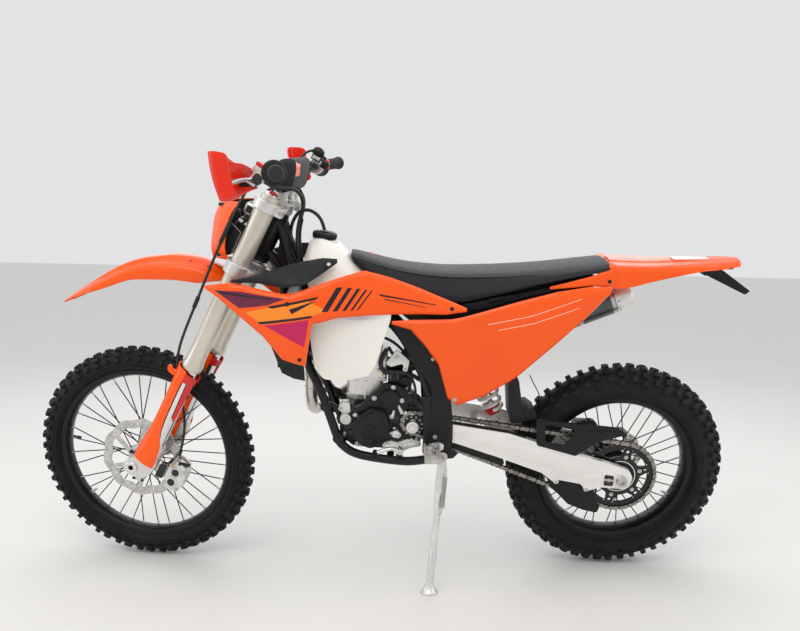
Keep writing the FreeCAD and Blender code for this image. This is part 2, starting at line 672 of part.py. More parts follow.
def arch(x, z, w, d, conv=None):
    row = [(x, -w, z - d), (x, -w * 0.96, z - d * 0.5), (x, -w * 0.8, z - 9), (x, -w * 0.4, z - 1), (x, 0, z),
           (x, w * 0.4, z - 1), (x, w * 0.8, z - 9), (x, w * 0.96, z - d * 0.5), (x, w, z - d)]
    return [tuple(conv(*p)) for p in row] if conv else row


def arch_shell(stations, thick, conv=None):
    rows = []
    for x, z, w, d in stations:
        d = max(d, 18)
        o = arch(x, z, w, d)
        i = [(p[0], p[1] * (1 - thick / w), p[2] - (thick if abs(p[1]) < w * 0.9 else 0.4 * thick)) for p in o]
        o[0], o[-1] = (x, -w, z - d - 2), (x, w, z - d - 2)
        i[0], i[-1] = (x, thick - w, z - d - 2), (x, w - thick, z - d - 2)
        rows.append([tuple(conv(*p)) if conv else p for p in o + i[::-1]])
    return closed_loft(rows)


feature("front_fender", arch_shell(FF, D["shell_thick"], loc), STEER)

# head lamp mask: a curved shield, and the lamp body behind it
MASK = [(990, 502, 88), (1018, 503, 112), (1055, 498, 122), (1100, 490, 120), (1132, 478, 104), (1152, 466, 78)]
secs = []
for z, x0, w in MASK:
    o = [(x0 - 70.0 * (k / 3.0) ** 2, w * k / 3.0, z) for k in range(-3, 4)]
    i = [(p[0] - 4.0, p[1] * 0.97, p[2]) for p in o]
    secs.append([tuple(loc(*p)) for p in o + i[::-1]])
feature("headlight_mask", closed_loft(secs), STEER)
lamp = [[tuple(loc(x, sy * w, z)) for sy, z in ((-1, z0), (1, z0), (1, z1), (-1, z1))]
        for x, w, z0, z1 in ((472, 38, 1036, 1076), (444, 56, 1014, 1108), (402, 48, 1022, 1106))]
feature("headlight", closed_loft(lamp), STEER)

# fork guards: a trough in front of each inner tube
FGT = [(372, 38, 42), (340, 38, 44), (290, 36, 38), (220, 36, 37), (150, 38, 38), (100, 43, 42), (60, 46, 43)]
secs = []
for t, r, back in FGT:
    o = []
    for k in range(-4, 5):
        a = rad(100.0 * k / 4)
        o.append((LO + (r if abs(k) < 4 else back) * math.cos(a) - (12 if abs(k) == 4 else 0), HI + r * math.sin(a), t))
    i = [(LO + (p[0] - LO) * 0.9, HI + (p[1] - HI) * 0.9, t) for p in o]
    secs.append(o + i[::-1])
guard = closed_loft(secs)
guard = guard.cut(Part.makeCylinder(32.0, 114, V(LO, HI, -2))).cut(Part.makeBox(80, 80, 46, V(LO - 40, HI - 40, -10)))
feature("fork_guards", pair(guard), STEER)

# front caliper on the left leg, straddling the disc
cal = Part.makeBox(62, 54, 100, V(-98, 30, -34))
cal = cal.fuse(Part.makeBox(50, 18, 56, V(-60, 66, -20)))
cal = cal.cut(Part.makeCylinder(D["front_disc_r"] + 6, 13.5, V(57, D["front_disc_y"] - 6.75, 0), Y_AXIS))
cal = cal.cut(Part.makeCylinder(30.3, 140, V(LO, HI, -10))).cut(Part.makeBox(90, 60, 140, V(LO - 6.5, HI - 20.3, -30)))
feature("front_caliper", cal, STEER)

# ================================================================ main frame
TR = D["tube_r"]


def sp(t, n=0.0):
    """Point in the bike frame, t along the steering axis and n ahead of it."""
    return (A0.x - SR * t + CR * n, A0.z + CR * t + SR * n)


hx0, hz0 = sp(735)
hx1, hz1 = sp(888)
head = Part.makeCylinder(D["head_tube_r"], 153, V(hx0, 0, hz0), V(-SR, 0, CR))
px, pz = D["pivot_x"], D["pivot_z"]
side = [
    pipe([(hx1 + 14, 12, hz1 - 34), (250, 34, 966), (140, 40, 905), (10, 42, 838), (-55, 60, 782), (-112, 90, 690), (-146, 109, 600)], TR, "spar"),
    pipe([(338, 6, 1012), (300, 8, 950), (290, 10, 880), (262, 18, 800), (226, 40, 690), (182, 66, 600), (148, 80, 508), (120, 86, 448), (62, 88, 402), (-70, 92, 385), (-150, 113, 403)], TR, "cradle"),
    Part.Face(Part.makePolygon([V(-122, 113, 604), V(-168, 113, 622), V(-205, 113, 555), V(-212, 113, 482), V(-200, 113, 418), V(-150, 113, 398), (V(-128, 113, 430)), V(-130, 113, 500), V(-122, 113, 604)])).extrude(V(0, 12, 0)),
]
frame = head.multiFuse(side + [mirror(s) for s in side]
                       + [Part.makeCylinder(10, 252, V(px, -126, pz), Y_AXIS),
                          Part.makeCylinder(11, 170, V(-60, -85, 386), Y_AXIS),
                          Part.makeCylinder(11, 80, V(140, -40, 905), Y_AXIS),
                          Part.makeBox(38, 44, 16, V(256, -22, 1028))])
frame = frame.cut(Part.makeCylinder(D["hose_r"] + 0.2, 20, V(270.5, 0, 1034), Z_AXIS))
frame = frame.cut(Part.makeCylinder(D["stem_r"] + D["running_gap"], 400, V(*[sp(600)[0], 0, sp(600)[1]]), V(-SR, 0, CR)))

# side stand: pivot, leg and foot, with its pin on the left frame plate
PIV = V(-190, 141, 424)
FOOT = BIKE.inverse().multVec(V(D["foot_x"], D["foot_y"], 0))
leg_dir = FOOT - PIV
leg_dir.normalize()
folded = V(-0.975, 0.16, 0.09)
folded.normalize()
HINGE = leg_dir.cross(folded)
HINGE.normalize()
SWING = math.degrees(leg_dir.getAngle(folded))
frame = frame.fuse(Part.makeCylinder(D["stand_pin_r"], 36, PIV - HINGE * 22, HINGE))
frame = frame.fuse(Part.makeCylinder(10.5, 3, PIV + HINGE * 9.5, HINGE))
feature("main_frame", frame, BIKE)

lug = Part.makeCylinder(14, 15, PIV - HINGE * 7.5, HINGE)
ankle = FOOT - leg_dir * 26
leg = Part.makeCylinder(D["stand_r"] + 1, 146, PIV + leg_dir * 12.2, leg_dir).fuse(
    Part.makeCylinder(D["stand_r"], (ankle - PIV).Length - 100, PIV + leg_dir * 110, leg_dir))
down = BIKE.inverse().Rotation.multVec(V(0, 0, -1))
pad = Part.makeCylinder(26, 7, FOOT - down * 7, down)
neck = Part.makeCylinder(D["stand_r"], 34, FOOT - leg_dir * 38, leg_dir).common(Part.makeCylinder(200, 100, FOOT - down * 103, down))
stand = lug.multiFuse([leg, neck, pad]).cut(Part.makeCylinder(D["stand_pin_r"] + D["running_gap"], 60, PIV - HINGE * 30, HINGE))
feature("side_stand", stand, BIKE)

# ==================================================================== engine
CH = D["case_half"]
pad_body("crankcase", [(-118, 418), (-40, 410), (70, 416), (118, 440), (128, 480), (118, 530), (88, 556), (-30, 566), (-92, 572), (-126, 540), (-130, 470)], -62, 66, BIKE)
covers = fuse("covers_all", [
    cyl("ignition", 56, 34, V(31, CH + 0.3, 487), Y_AXIS), cyl("ignition_face", 48, 6, V(31, CH + 34, 487), Y_AXIS),
    cyl("clutch", 66, 36, V(-14, -62.3, 496), V(0, -1, 0)), cyl("clutch_face", 56, 6, V(-14, -98, 496), V(0, -1, 0)),
    cyl("starter", 17.5, 20, V(106, CH + 0.3, 501), Y_AXIS)])
keep(covers, "engine_covers", BIKE)
barrel = Part.makeBox(112, 116, 66, V(-6, -58, 572.3)).fuse(Part.makeBox(126, 124, 96, V(-14, -62, 638)))
barrel = barrel.fuse(Part.makeBox(100, 104, 22, V(0, -52, 733)))
barrel.rotate(V(50, 0, 572.3), Y_AXIS, 3)
barrel = barrel.cut(Part.makeBox(300, 300, 40, V(-100, -150, 532.5)))
feature("cylinder", barrel, BIKE)
HEADER = [(127, 0, 684), (166, 0, 690), (204, -4, 672), (217, -14, 610), (220, -34, 535), (213, -70, 492), (184, -112, 492), (130, -134, 520),
          (50, -134, 575), (-60, -131, 650), (-190, -128, 690), (-330, -118, 712), (-414, -115, 734)]
feature("exhaust_header", pipe(HEADER, D["header_r"], "header"), BIKE)
SIL0, SIL1 = V(-416, -115, 736), V(-765, -117, 882)
feature("silencer", Part.makeCylinder(D["silencer_r"], (SIL1 - SIL0).Length - 24, SIL0 + (SIL1 - SIL0) * 0.0, SIL1 - SIL0).fuse(
    Part.makeCone(D["silencer_r"], 34, 26, SIL0 + (SIL1 - SIL0) * (1 - 25.0 / (SIL1 - SIL0).Length), SIL1 - SIL0)), BIKE)

# ================================================================== bodywork
feature("radiators", pair(Part.makeBox(34, 98, 226, V(232, 66, 704))), BIKE)
RG = [(218, 668, 722, 172, 196), (250, 674, 800, 172, 204), (284, 690, 812, 170, 204), (318, 790, 812, 176, 200)]
feature("radiator_guards", pair(panel(RG, 5.0)), BIKE)
SH = [(486, 938, 946, 183, 184), (446, 908, 952, 190, 196), (410, 878, 958, 198, 204), (370, 845, 952, 204, 210), (330, 812, 944, 210, 214),
      (276, 744, 932, 212, 212), (246, 734, 932, 212, 210), (212, 724, 942, 208, 204), (192, 846, 950, 206, 198),
      (120, 862, 970, 188, 168), (50, 864, 986, 170, 144), (-20, 866, 968, 158, 140), (-100, 867, 940, 150, 138),
      (-180, 866, 908, 146, 138), (-238, 876, 886, 142, 140)]
feature("shrouds", pair(panel(SH, 4.0)), BIKE)
US = [(410, 960, 966, 205, 205), (343, 960, 980, 205, 196), (270, 948, 1002, 204, 172), (212, 954, 1010, 194, 140), (168, 976, 1014, 150, 116),
      (128, 1000, 1010, 112, 104)]
feature("upper_spoilers", pair(panel(US, 4.0)), BIKE)

TANK = [  # x, top, top half, bulge half, bulge z, low z
    (226, 1022, 40, 92, 985, 966, 978), (206, 1052, 46, 112, 960, 760, 968), (160, 1046, 50, 148, 880, 672, 942), (112, 1030, 52, 152, 830, 668, 917),
    (100, 1000, 54, 152, 820, 674, 910), (40, 958, 60, 150, 800, 694, 880), (0, 930, 62, 148, 800, 780, 859), (-26, 912, 62, 140, 866, 852, 846)]
secs = []
for x, top, tw, bw, bz, low, ceil in TANK:
    half = [(x, 0, top), (x, tw * 0.7, top - 2), (x, tw, top - 8), (x, (tw + bw) / 2 + 4, (top + bz) / 2 + 8), (x, bw, bz),
            (x, bw - 4, (bz + low) / 2), (x, bw - 14, low), (x, 76, low + 6), (x, 72, ceil), (x, 0, ceil)]
    secs.append(half + [(p[0], -p[1], p[2]) for p in half[1:-1][::-1]])
tank = closed_loft(secs)
feature("fuel_tank", tank, BIKE)
capb = ring_body("tank_cap", [(0, 0), (34, 0), (36, 4), (36, 14), (32, 19), (0, 19)], None,
                 BIKE * Placement(V(172, 0, 1050.5), Rotation(Y_AXIS, -7)) * Placement(V(0, 0, 0), Rotation(X_AXIS, 90)))
SEAT = [(94, 1017, 40, 52, 1003), (50, 1006, 56, 76, 972), (-60, 981, 72, 106, 930), (-190, 970, 82, 126, 892), (-300, 973, 86, 130, 916),
        (-460, 985, 84, 122, 956), (-600, 1003, 76, 104, 983), (-650, 1012, 68, 94, 995)]
secs = []
for x, top, tw, bw, low in SEAT:
    deep = top - low
    half = [(x, tw * 0.62, top), (x, tw, top - min(8, deep * 0.4)), (x, bw, top * 0.35 + low * 0.65), (x, bw - 3, low), (x, bw * 0.5, low + min(5, deep * 0.2))]
    secs.append(half + [(p[0], -p[1], p[2]) for p in half[::-1]])
feature("seat", closed_loft(secs), BIKE)

SP = [(-28, 838, 848, 152, 152), (-82, 821, 851, 150, 152), (-125, 772, 852, 147, 152), (-165, 716, 853, 144, 152), (-196, 610, 854, 138, 150),
      (-226, 588, 860, 137, 150), (-300, 618, 882, 139, 148), (-391, 678, 910, 140, 144), (-490, 772, 936, 136, 136), (-583, 862, 950, 126, 124),
      (-645, 930, 948, 116, 114)]
left_panel = panel(SP, 4.0)
SPR = [(-28, 838, 848, 158, 158), (-82, 821, 851, 158, 158), (-125, 772, 852, 160, 158), (-165, 716, 853, 164, 158), (-196, 610, 854, 164, 158),
       (-226, 600, 860, 164, 156), (-300, 640, 882, 164, 152), (-391, 800, 910, 152, 146), (-490, 862, 936, 140, 136), (-583, 908, 950, 126, 124),
       (-645, 934, 948, 116, 114)]
right_panel = mirror(panel(SPR, 4.0))
feature("side_panels", Part.makeCompound([left_panel, right_panel]), BIKE)
AB = [(-40, 70, 852, 905), (-130, 92, 800, 878), (-250, 104, 790, 896), (-400, 104, 800, 930), (-520, 100, 850, 955), (-600, 88, 905, 974)]
secs = [[(x, -w, z0), (x, w, z0), (x, w, z1), (x, -w, z1)] for x, w, z0, z1 in AB]
feature("subframe", closed_loft(secs), BIKE)
RF = [(-655, 1010, 98, 68), (-700, 1008, 97, 62), (-760, 1008, 93, 46), (-830, 1010, 88, 32), (-900, 1012, 82, 20), (-960, 1014, 74, 12), (-1005, 1016, 60, 10), (-1030, 1017, 40, 10)]
back = arch_shell(RF, 4.0)
RFS = [(-470, 940, 948, 121, 121), (-520, 944, 960, 119, 117), (-583, 950, 976, 113, 108), (-657, 944, 996, 101, 99)]
flank = panel(RFS, 4.0)
back = back.multiFuse([flank, mirror(flank)])
feature("rear_fender", back, BIKE)
feature("tail_light", Part.makeBox(32, 56, 16, V(-1016, -28, 988)), BIKE)
plate = Part.Face(Part.makePolygon([V(-930, -30, 985), V(-985, -30, 985), V(-1075, -30, 925), V(-1066, -30, 915), V(-980, -30, 968), V(-930, -30, 968), V(-930, -30, 985)])).extrude(V(0, 60, 0))
d = V(-90, 0, -60)
d.normalize()
face = V(-1024, 0, 956)
nrm = V(-0.555, 0, 0.832)
for s in (1, -1):
    plate = plate.cut(Part.makeCylinder(3.0, 80, face + V(0, 20 * s, 0) - nrm * 40, nrm))
feature("plate_holder", plate, BIKE)
FGL = [(820, -26, -100), (750, -72, -146), (690, -110, -184), (625, -147, -203), (560, -148, -213), (520, -136, -217), (480, -131, -218)]


def guard_plate(rows, y0):
    secs = []
    for z, xa, xb in rows:
        y = y0 - max(0.0, (z - 620) * 0.10)
        secs.append([(xa, y, z), (xb, y, z), (xb, y + 4, z), (xa, y + 4, z)])
    return closed_loft(secs)


left_guard = guard_plate(FGL, 127.5)
right_guard = mirror(guard_plate([(600, -146, -204)] + FGL[4:], 127.5))
feature("frame_guards", Part.makeCompound([left_guard, right_guard]), BIKE)

# ================================================================ swing arm
ARM = [(-148, 500), (-190, 520), (-224, 517), (-389, 492), (-591, 428), (-687, 404), (-765, 378), (-780, 350), (-765, 312), (-685, 318), (-641, 304), (-620, 328),
       (-549, 341), (-535, 334), (-496, 364), (-357, 414), (-224, 458), (-170, 460), (-148, 475)]
arm = Part.Face(Part.makePolygon([V(x, 91, z) for x, z in ARM] + [V(ARM[0][0], 91, ARM[0][1])])).extrude(V(0, 20, 0))
arm = arm.cut(Part.makeCylinder(D["rear_axle_r"] + 0.3, 60, V(-HALF, 80, ZR), Y_AXIS)).cut(Part.makeCylinder(10.3, 60, V(px, 80, pz), Y_AXIS))
cross = Part.makeBox(82, 184, 56, V(-372, -92, 412))
swing = arm.fuse(cross).fuse(mirror(arm))
swing = swing.cut(Part.makeBox(400, 2 * (D["chain_half"] + 3), 200, V(-700, D["chain_y"] - D["chain_half"] - 3, 380)))
feature("swingarm", swing, BIKE)
S0, S1 = V(-360, 0, 494), V(-266, 0, 756)
sd = S1 - S0
shock = Part.makeCylinder(33, 150, S0 + sd * 0.16, sd).fuse(Part.makeCylinder(24, sd.Length * 0.9, S0 + sd * 0.05, sd)).fuse(
    Part.makeCylinder(17, 36, S0 + V(0, -18, 0), Y_AXIS))
feature("shock", shock, BIKE)


def loop(extra):
    """Outline of the chain run round both sprockets, 'extra' from its pitch line."""
    c1 = V(D["small_sprocket_x"], 0, D["small_sprocket_z"])
    c2 = V(-HALF, 0, ZR)
    r1, r2 = R_SMALL + extra, R_BIG + extra
    d = c2 - c1
    L = d.Length
    base = math.atan2(d.z, d.x)
    a = math.acos((r1 - r2) / L)

    def on(c, r, ang):
        return V(c.x + r * math.cos(ang), 0, c.z + r * math.sin(ang))
    u1, u2 = on(c1, r1, base - a), on(c2, r2, base - a)
    l1, l2 = on(c1, r1, base + a), on(c2, r2, base + a)
    return Part.Wire([Part.LineSegment(u1, u2).toShape(),
                      Part.Arc(u2, on(c2, r2, base), l2).toShape(),
                      Part.LineSegment(l2, l1).toShape(),
                      Part.Arc(l1, on(c1, r1, base + math.pi), u1).toShape()])


CY, CHF = D["chain_y"], D["chain_half"]
band = Part.Face(loop(7.5)).cut(Part.Face(loop(-7.0)))
chain = band.extrude(V(0, 2 * CHF, 0))
chain.translate(V(0, CY - CHF, 0))
feature("chain", chain, BIKE)
feature("front_sprocket", Part.makeCylinder(R_SMALL - 8, 12, V(D["small_sprocket_x"], CY - 6, D["small_sprocket_z"]), Y_AXIS).fuse(
    Part.makeCylinder(14, 20, V(D["small_sprocket_x"], CH - 8 + 0.5 + 8, D["small_sprocket_z"]), Y_AXIS)), BIKE)
GD = [(-505, 368), (-531, 306), (-556, 284), (-592, 247), (-642, 227), (-687, 217), (-694, 240), (-662, 290), (-645, 320), (-560, 350)]
gface = Part.Face(Part.makePolygon([V(x, 0, z) for x, z in GD] + [V(GD[0][0], 0, GD[0][1])]))
guide = gface.extrude(V(0, 3.6, 0))
guide.translate(V(0, 87, 0))
inner = gface.extrude(V(0, 4, 0))
inner.translate(V(0, 62, 0))
KEEL = [(-592, 248.5), (-642, 228.5), (-686, 219), (-688, 225), (-644, 235), (-597, 255)]
keel = Part.Face(Part.makePolygon([V(x, 64, z) for x, z in KEEL] + [V(KEEL[0][0], 64, KEEL[0][1])])).extrude(V(0, 25, 0))
guide = guide.fuse(inner).fuse(keel)
UG = [(-467, 542), (-714, 520), (-730, 508), (-745, 498), (-655, 471), (-595, 424), (-474, 457)]
UGH = [(-493, 527), (-584, 509), (-587, 501), (-559, 460), (-500, 469)]
top = Part.Face(Part.makePolygon([V(x, 111.3, z) for x, z in UG] + [V(UG[0][0], 111.3, UG[0][1])])).extrude(V(0, 4, 0))
top = top.cut(Part.Face(Part.makePolygon([V(x, 105, z) for x, z in UGH] + [V(UGH[0][0], 105, UGH[0][1])])).extrude(V(0, 20, 0)))
feature("chain_guide", Part.makeCompound([guide]), BIKE)
feature("chain_guard", top, BIKE)

# ================================================================= controls
pegs = []
peg = Part.makeBox(48, 112, 24, V(-179, 132, 444)).fuse(Part.makeCylinder(9, 40, V(-172, 126, 455), Y_AXIS).fuse(Part.makeBox(20, 12, 26, V(-176, 125.3, 442))))
feature("footpegs", pair(peg), BIKE)
shift = pipe([(-62, 122, 430), (-40, 126, 441), (-14, 131, 438), (10, 134, 429)], 6).fuse(Part.makeCylinder(8.5, 36, V(14, 122, 428), Y_AXIS)).fuse(
    Part.makeCylinder(10, 40, V(-62, 88, 430), Y_AXIS)).fuse(Part.makeCylinder(7, 24, V(-62, CH + 0.3, 430), Y_AXIS))
brake = mirror(pipe([(-190, 136, 428), (-120, 144, 420), (-20, 138, 430), (40, 132, 452)], 6).fuse(Part.makeBox(40, 30, 8, V(22, 118, 452))))
feature("foot_controls", Part.makeCompound([shift, brake]), BIKE)
RCAL = Part.makeBox(86, 34, 54, V(-HALF + 40, -91, ZR + 70)).cut(
    Part.makeCylinder(D["rear_disc_r"] + 6, 13.5, V(-HALF, D["rear_disc_y"] - 6.75, ZR), Y_AXIS))
feature("rear_caliper", RCAL, BIKE)

# ==================================================================== hoses
VENT = [(172, 0, 1073), (177, 0, 1095), (192, 1, 1117), (217, 2, 1131), (246, 2, 1123), (264, 1, 1094), (270.5, 0, 1064), (270.5, 0, 1036)]
feature("vent_hose", pipe(VENT, D["hose_r"], "vent_hose"), BIKE)
LOOM = [(239, 48, 984), (243, 50, 1014), (246, 47, 1046), (245, 42, 1080), (238, 37, 1112)]
feature("clutch_line", pipe(LOOM, D["hose_r"], "clutch_line"), BIKE)
BRK = [(42.6, -220.6, 981.3), (43, -198, 981), (52, -170, 964), (74, -128, 955), (98, -60, 960), (104, 20, 940), (98, 84, 890), (90, 130, 810), (84, 150, 700), (78, 152, 580), (76, 144, 470),
       (76, 112, 400)]
BRK2 = BRK + [(72, 74, 350), (54, 61, 300), (20, 60, 250), (-14, 64, 200), (-40, 80, 150), (-52, 92, 100)]
feature("brake_hose", pipe(BRK2, D["line_r"], "brake_hose"), STEER)

# ------------------------------------------------------------- finish
def tight(shape):
    return shape.optimalBoundingBox(False, False)


doc.recompute()
for name, (obj, place) in nodes.items():
    obj.Placement = place
doc.recompute()
box = FreeCAD.BoundBox()
for name, (obj, place) in nodes.items():
    box.add(tight(obj.Shape))
SHIFT = V(-(box.XMin + box.XMax) / 2, -(box.YMin + box.YMax) / 2, 0)
for name, (obj, place) in nodes.items():
    obj.Placement = Placement(SHIFT, Rotation()) * place
doc.recompute()

bad = []
for o in doc.Objects:
    if "Invalid" in o.State or "Error" in o.State:
        bad.append((o.Label, o.State))
for name, (obj, place) in nodes.items():
    s = obj.Shape
    if s.isNull() or not s.isValid() or len(s.Solids) == 0 or s.Volume <= 0:
        bad.append((name, "shape", s.isNull(), s.isNull() or s.isValid(), len(s.Solids)))
if bad:
    for b in bad:
        print("BAD", b)
    raise RuntimeError("pieces failed: %s" % [b[0] for b in bad])

os.makedirs("parts", exist_ok=True)
for name, (obj, place) in nodes.items():
    obj.Shape.exportStep("parts/%s.step" % name)


def say(tag, place, vec=None, axis=None):
    base = SHIFT + place.multVec(vec if vec is not None else V(0, 0, 0))
    direction = place.Rotation.multVec(axis) if axis is not None else V(0, 0, 1)
    print("KEY %s %.6f %.6f %.6f  %.8f %.8f %.8f" % (tag, base.x, base.y, base.z, direction.x, direction.y, direction.z))


say("shift", Placement())
say("steering", STEER, V(0, 0, 0), Z_AXIS)
say("front_axle", FRONT_WHEEL, V(0, 0, 0), Y_AXIS)
say("rear_axle", REAR_WHEEL, V(0, 0, 0), Y_AXIS)
say("stand", BIKE, PIV, HINGE)
say("plate", BIKE, face, nrm)
print("KEY stand_swing %.4f" % SWING)
print("KEY pitch %.5f dz %.4f" % (pitch, dz))
box = FreeCAD.BoundBox()
for name, (obj, place) in nodes.items():
    b = tight(obj.Shape)
    box.add(b)
    print("NODE %-18s solids %d  vol %.0f cm3  x %.0f..%.0f y %.0f..%.0f z %.1f..%.1f" % (name, len(obj.Shape.Solids), obj.Shape.Volume / 1000, b.XMin, b.XMax, b.YMin, b.YMax, b.ZMin, b.ZMax))
print("BOX", box, "nodes", len(nodes))
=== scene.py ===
import bpy, bmesh, math, json
import numpy as np
from mathutils import Vector, Matrix, noise
from mathutils.geometry import tessellate_polygon


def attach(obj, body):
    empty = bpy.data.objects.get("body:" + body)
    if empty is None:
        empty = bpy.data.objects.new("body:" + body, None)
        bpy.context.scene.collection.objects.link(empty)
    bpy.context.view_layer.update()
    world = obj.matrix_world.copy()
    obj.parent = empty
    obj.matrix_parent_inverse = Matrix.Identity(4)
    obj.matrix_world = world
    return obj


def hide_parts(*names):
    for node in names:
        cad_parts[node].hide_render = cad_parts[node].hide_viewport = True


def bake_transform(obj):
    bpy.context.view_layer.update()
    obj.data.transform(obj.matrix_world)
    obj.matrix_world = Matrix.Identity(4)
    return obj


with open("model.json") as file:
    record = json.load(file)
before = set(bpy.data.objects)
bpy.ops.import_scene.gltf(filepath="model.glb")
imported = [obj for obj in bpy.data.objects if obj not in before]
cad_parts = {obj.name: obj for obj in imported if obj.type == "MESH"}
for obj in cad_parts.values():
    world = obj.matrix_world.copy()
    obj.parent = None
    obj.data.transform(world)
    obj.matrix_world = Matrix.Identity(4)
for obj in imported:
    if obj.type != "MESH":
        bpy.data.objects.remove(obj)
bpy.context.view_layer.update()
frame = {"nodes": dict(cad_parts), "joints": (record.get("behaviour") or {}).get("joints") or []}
rad = math.radians
MM = 0.001

# ------------------------------------------------------------------ frames
# Everything is drawn in millimetres in the frame of the group it belongs to
# (bike, steering, wheel) and carried from there to the row frame in metres.
WHEELBASE, RAKE, OFFSET = 1487.0, 26.5, 57.0
HALF, ZF, ZR = WHEELBASE / 2, 351.0, 343.0
SR, CR = math.sin(rad(RAKE)), math.cos(rad(RAKE))
A0 = Vector((HALF - OFFSET * CR, 0, ZF - OFFSET * SR))
LEAN, STEERED, PITCH = 9.69, -7.68, -0.05844


def T(x, y, z):
    return Matrix.Translation((x, y, z))


def R(deg, axis):
    return Matrix.Rotation(rad(deg), 4, axis)


joint = {j["name"]: j for j in frame["joints"]}
turn = R(PITCH, 'Y') @ R(-LEAN, 'X')
rear_pin = Vector(joint["rear_wheel_spin"]["pos_m"]) * 1000.0
base = rear_pin - turn @ Vector((-HALF, 0, ZR))
BIKE_MM = Matrix.Translation(base) @ turn
STEER_MM = BIKE_MM @ Matrix.Translation(A0) @ R(-RAKE, 'Y') @ R(STEERED, 'Z')
FRONT_MM = STEER_MM @ T(OFFSET, 0, 0)
REAR_MM = BIKE_MM @ T(-HALF, 0, ZR)
SHRINK = Matrix.Scale(MM, 4)
BIKE, STEER, FRONT, REAR = (SHRINK @ m for m in (BIKE_MM, STEER_MM, FRONT_MM, REAR_MM))


def loc(x, y, z):
    """A point of the straight-ahead bike frame, in the steering frame."""
    dx, dz = x - A0.x, z - A0.z
    return Vector((dx * CR + dz * SR, y, -dx * SR + dz * CR))


# ------------------------------------------------------------ curve helpers
def pchip(xs, ys, q):
    """Smooth interpolation through the given values that never overshoots."""
    xs, ys, q = np.asarray(xs, float), np.asarray(ys, float), np.asarray(q, float)
    if xs[0] > xs[-1]:
        xs, ys = xs[::-1], ys[::-1]
    h = np.diff(xs)
    d = np.diff(ys, axis=0) / (h if ys.ndim == 1 else h[:, None])
    m = np.zeros_like(ys)
    if len(xs) > 2:
        a, b = d[:-1], d[1:]
        same = a * b > 0
        w1 = (2 * h[1:] + h[:-1]) if ys.ndim == 1 else (2 * h[1:] + h[:-1])[:, None]
        w2 = (h[1:] + 2 * h[:-1]) if ys.ndim == 1 else (h[1:] + 2 * h[:-1])[:, None]
        sa = np.where(same, a, 1.0)
        sb = np.where(same, b, 1.0)
        m[1:-1] = np.where(same, (w1 + w2) / (w1 / sa + w2 / sb), 0.0)
    m[0], m[-1] = d[0], d[-1]
    i = np.clip(np.searchsorted(xs, q) - 1, 0, len(xs) - 2)
    t = (q - xs[i]) / h[i]
    hh = h[i]
    if ys.ndim > 1:
        t, hh = t[:, None], hh[:, None]
    return ((2 * t ** 3 - 3 * t ** 2 + 1) * ys[i] + (t ** 3 - 2 * t ** 2 + t) * hh * m[i]
            + (-2 * t ** 3 + 3 * t ** 2) * ys[i + 1] + (t ** 3 - t ** 2) * hh * m[i + 1])


def catmull(pts, per, closed=False):
    """Points along a smooth curve through pts."""
    p = np.asarray([tuple(q) for q in pts], float)
    n = len(p)
    out = []
    spans = n if closed else n - 1
    for i in range(spans):
        if closed:
            a, b, c, d = p[(i - 1) % n], p[i], p[(i + 1) % n], p[(i + 2) % n]
        else:
            b, c = p[i], p[i + 1]
            a = p[i - 1] if i > 0 else 2 * b - c
            d = p[i + 2] if i + 2 < n else 2 * c - b
        for k in range(per):
            t = k / per
            out.append(0.5 * (2 * b + (c - a) * t + (2 * a - 5 * b + 4 * c - d) * t * t + (3 * b - a - 3 * c + d) * t ** 3))
    if not closed:
        out.append(p[-1])
    return np.array(out)


def bspline(pts, step=6.0, order=3):
    """Points of the NURBS curve that has pts as its control points."""
    cu = bpy.data.curves.new("probe", 'CURVE')
    cu.dimensions = '3D'
    sp = cu.splines.new('NURBS')
    sp.points.add(len(pts) - 1)
    for q, p in zip(sp.points, pts):
        q.co = (p[0], p[1], p[2], 1)
    sp.order_u = order
    sp.use_endpoint_u = True
    length = sum((Vector(a) - Vector(b)).length for a, b in zip(pts[:-1], pts[1:]))
    sp.resolution_u = max(2, int(length / (len(pts) - 1) / step))
    ob = bpy.data.objects.new("probe", cu)
    me = bpy.data.meshes.new_from_object(ob)
    out = [v.co.copy() for v in me.vertices]
    bpy.data.objects.remove(ob)
    bpy.data.curves.remove(cu)
    bpy.data.meshes.remove(me)
    return out


def rounded(pts, r, seg=5):
    """Closed 2-D outline with its corners rounded; r is one radius or a list."""
    out = []
    n = len(pts)
    for i in range(n):
        p0, p1, p2 = (np.array(pts[(i + k) % n], float) for k in (-1, 0, 1))
        ri = r[i] if isinstance(r, (list, tuple)) else r
        a, b = p0 - p1, p2 - p1
        la, lb = np.linalg.norm(a), np.linalg.norm(b)
        if la < 1e-6 or lb < 1e-6 or ri <= 0:
            out.append(tuple(p1))
            continue
        a, b = a / la, b / lb
        cosv = float(np.clip(a @ b, -1, 1))
        ang = math.acos(cosv)
        if ang > rad(176):
            out.append(tuple(p1))
            continue
        t = min(ri / math.tan(ang / 2), 0.45 * la, 0.45 * lb)
        rr = t * math.tan(ang / 2)
        c = p1 + (a + b) / np.linalg.norm(a + b) * (rr / math.sin(ang / 2))
        s, e = p1 + a * t - c, p1 + b * t - c
        a0, a1 = math.atan2(s[1], s[0]), math.atan2(e[1], e[0])
        da = (a1 - a0 + math.pi) % (2 * math.pi) - math.pi
        for k in range(seg + 1):
            w = a0 + da * k / seg
            out.append((c[0] + rr * math.cos(w), c[1] + rr * math.sin(w)))
    return out


def circle2(cx, cz, r, n=32, start=0.0):
    return [(cx + r * math.cos(start + 2 * math.pi * k / n), cz + r * math.sin(start + 2 * math.pi * k / n)) for k in range(n)]


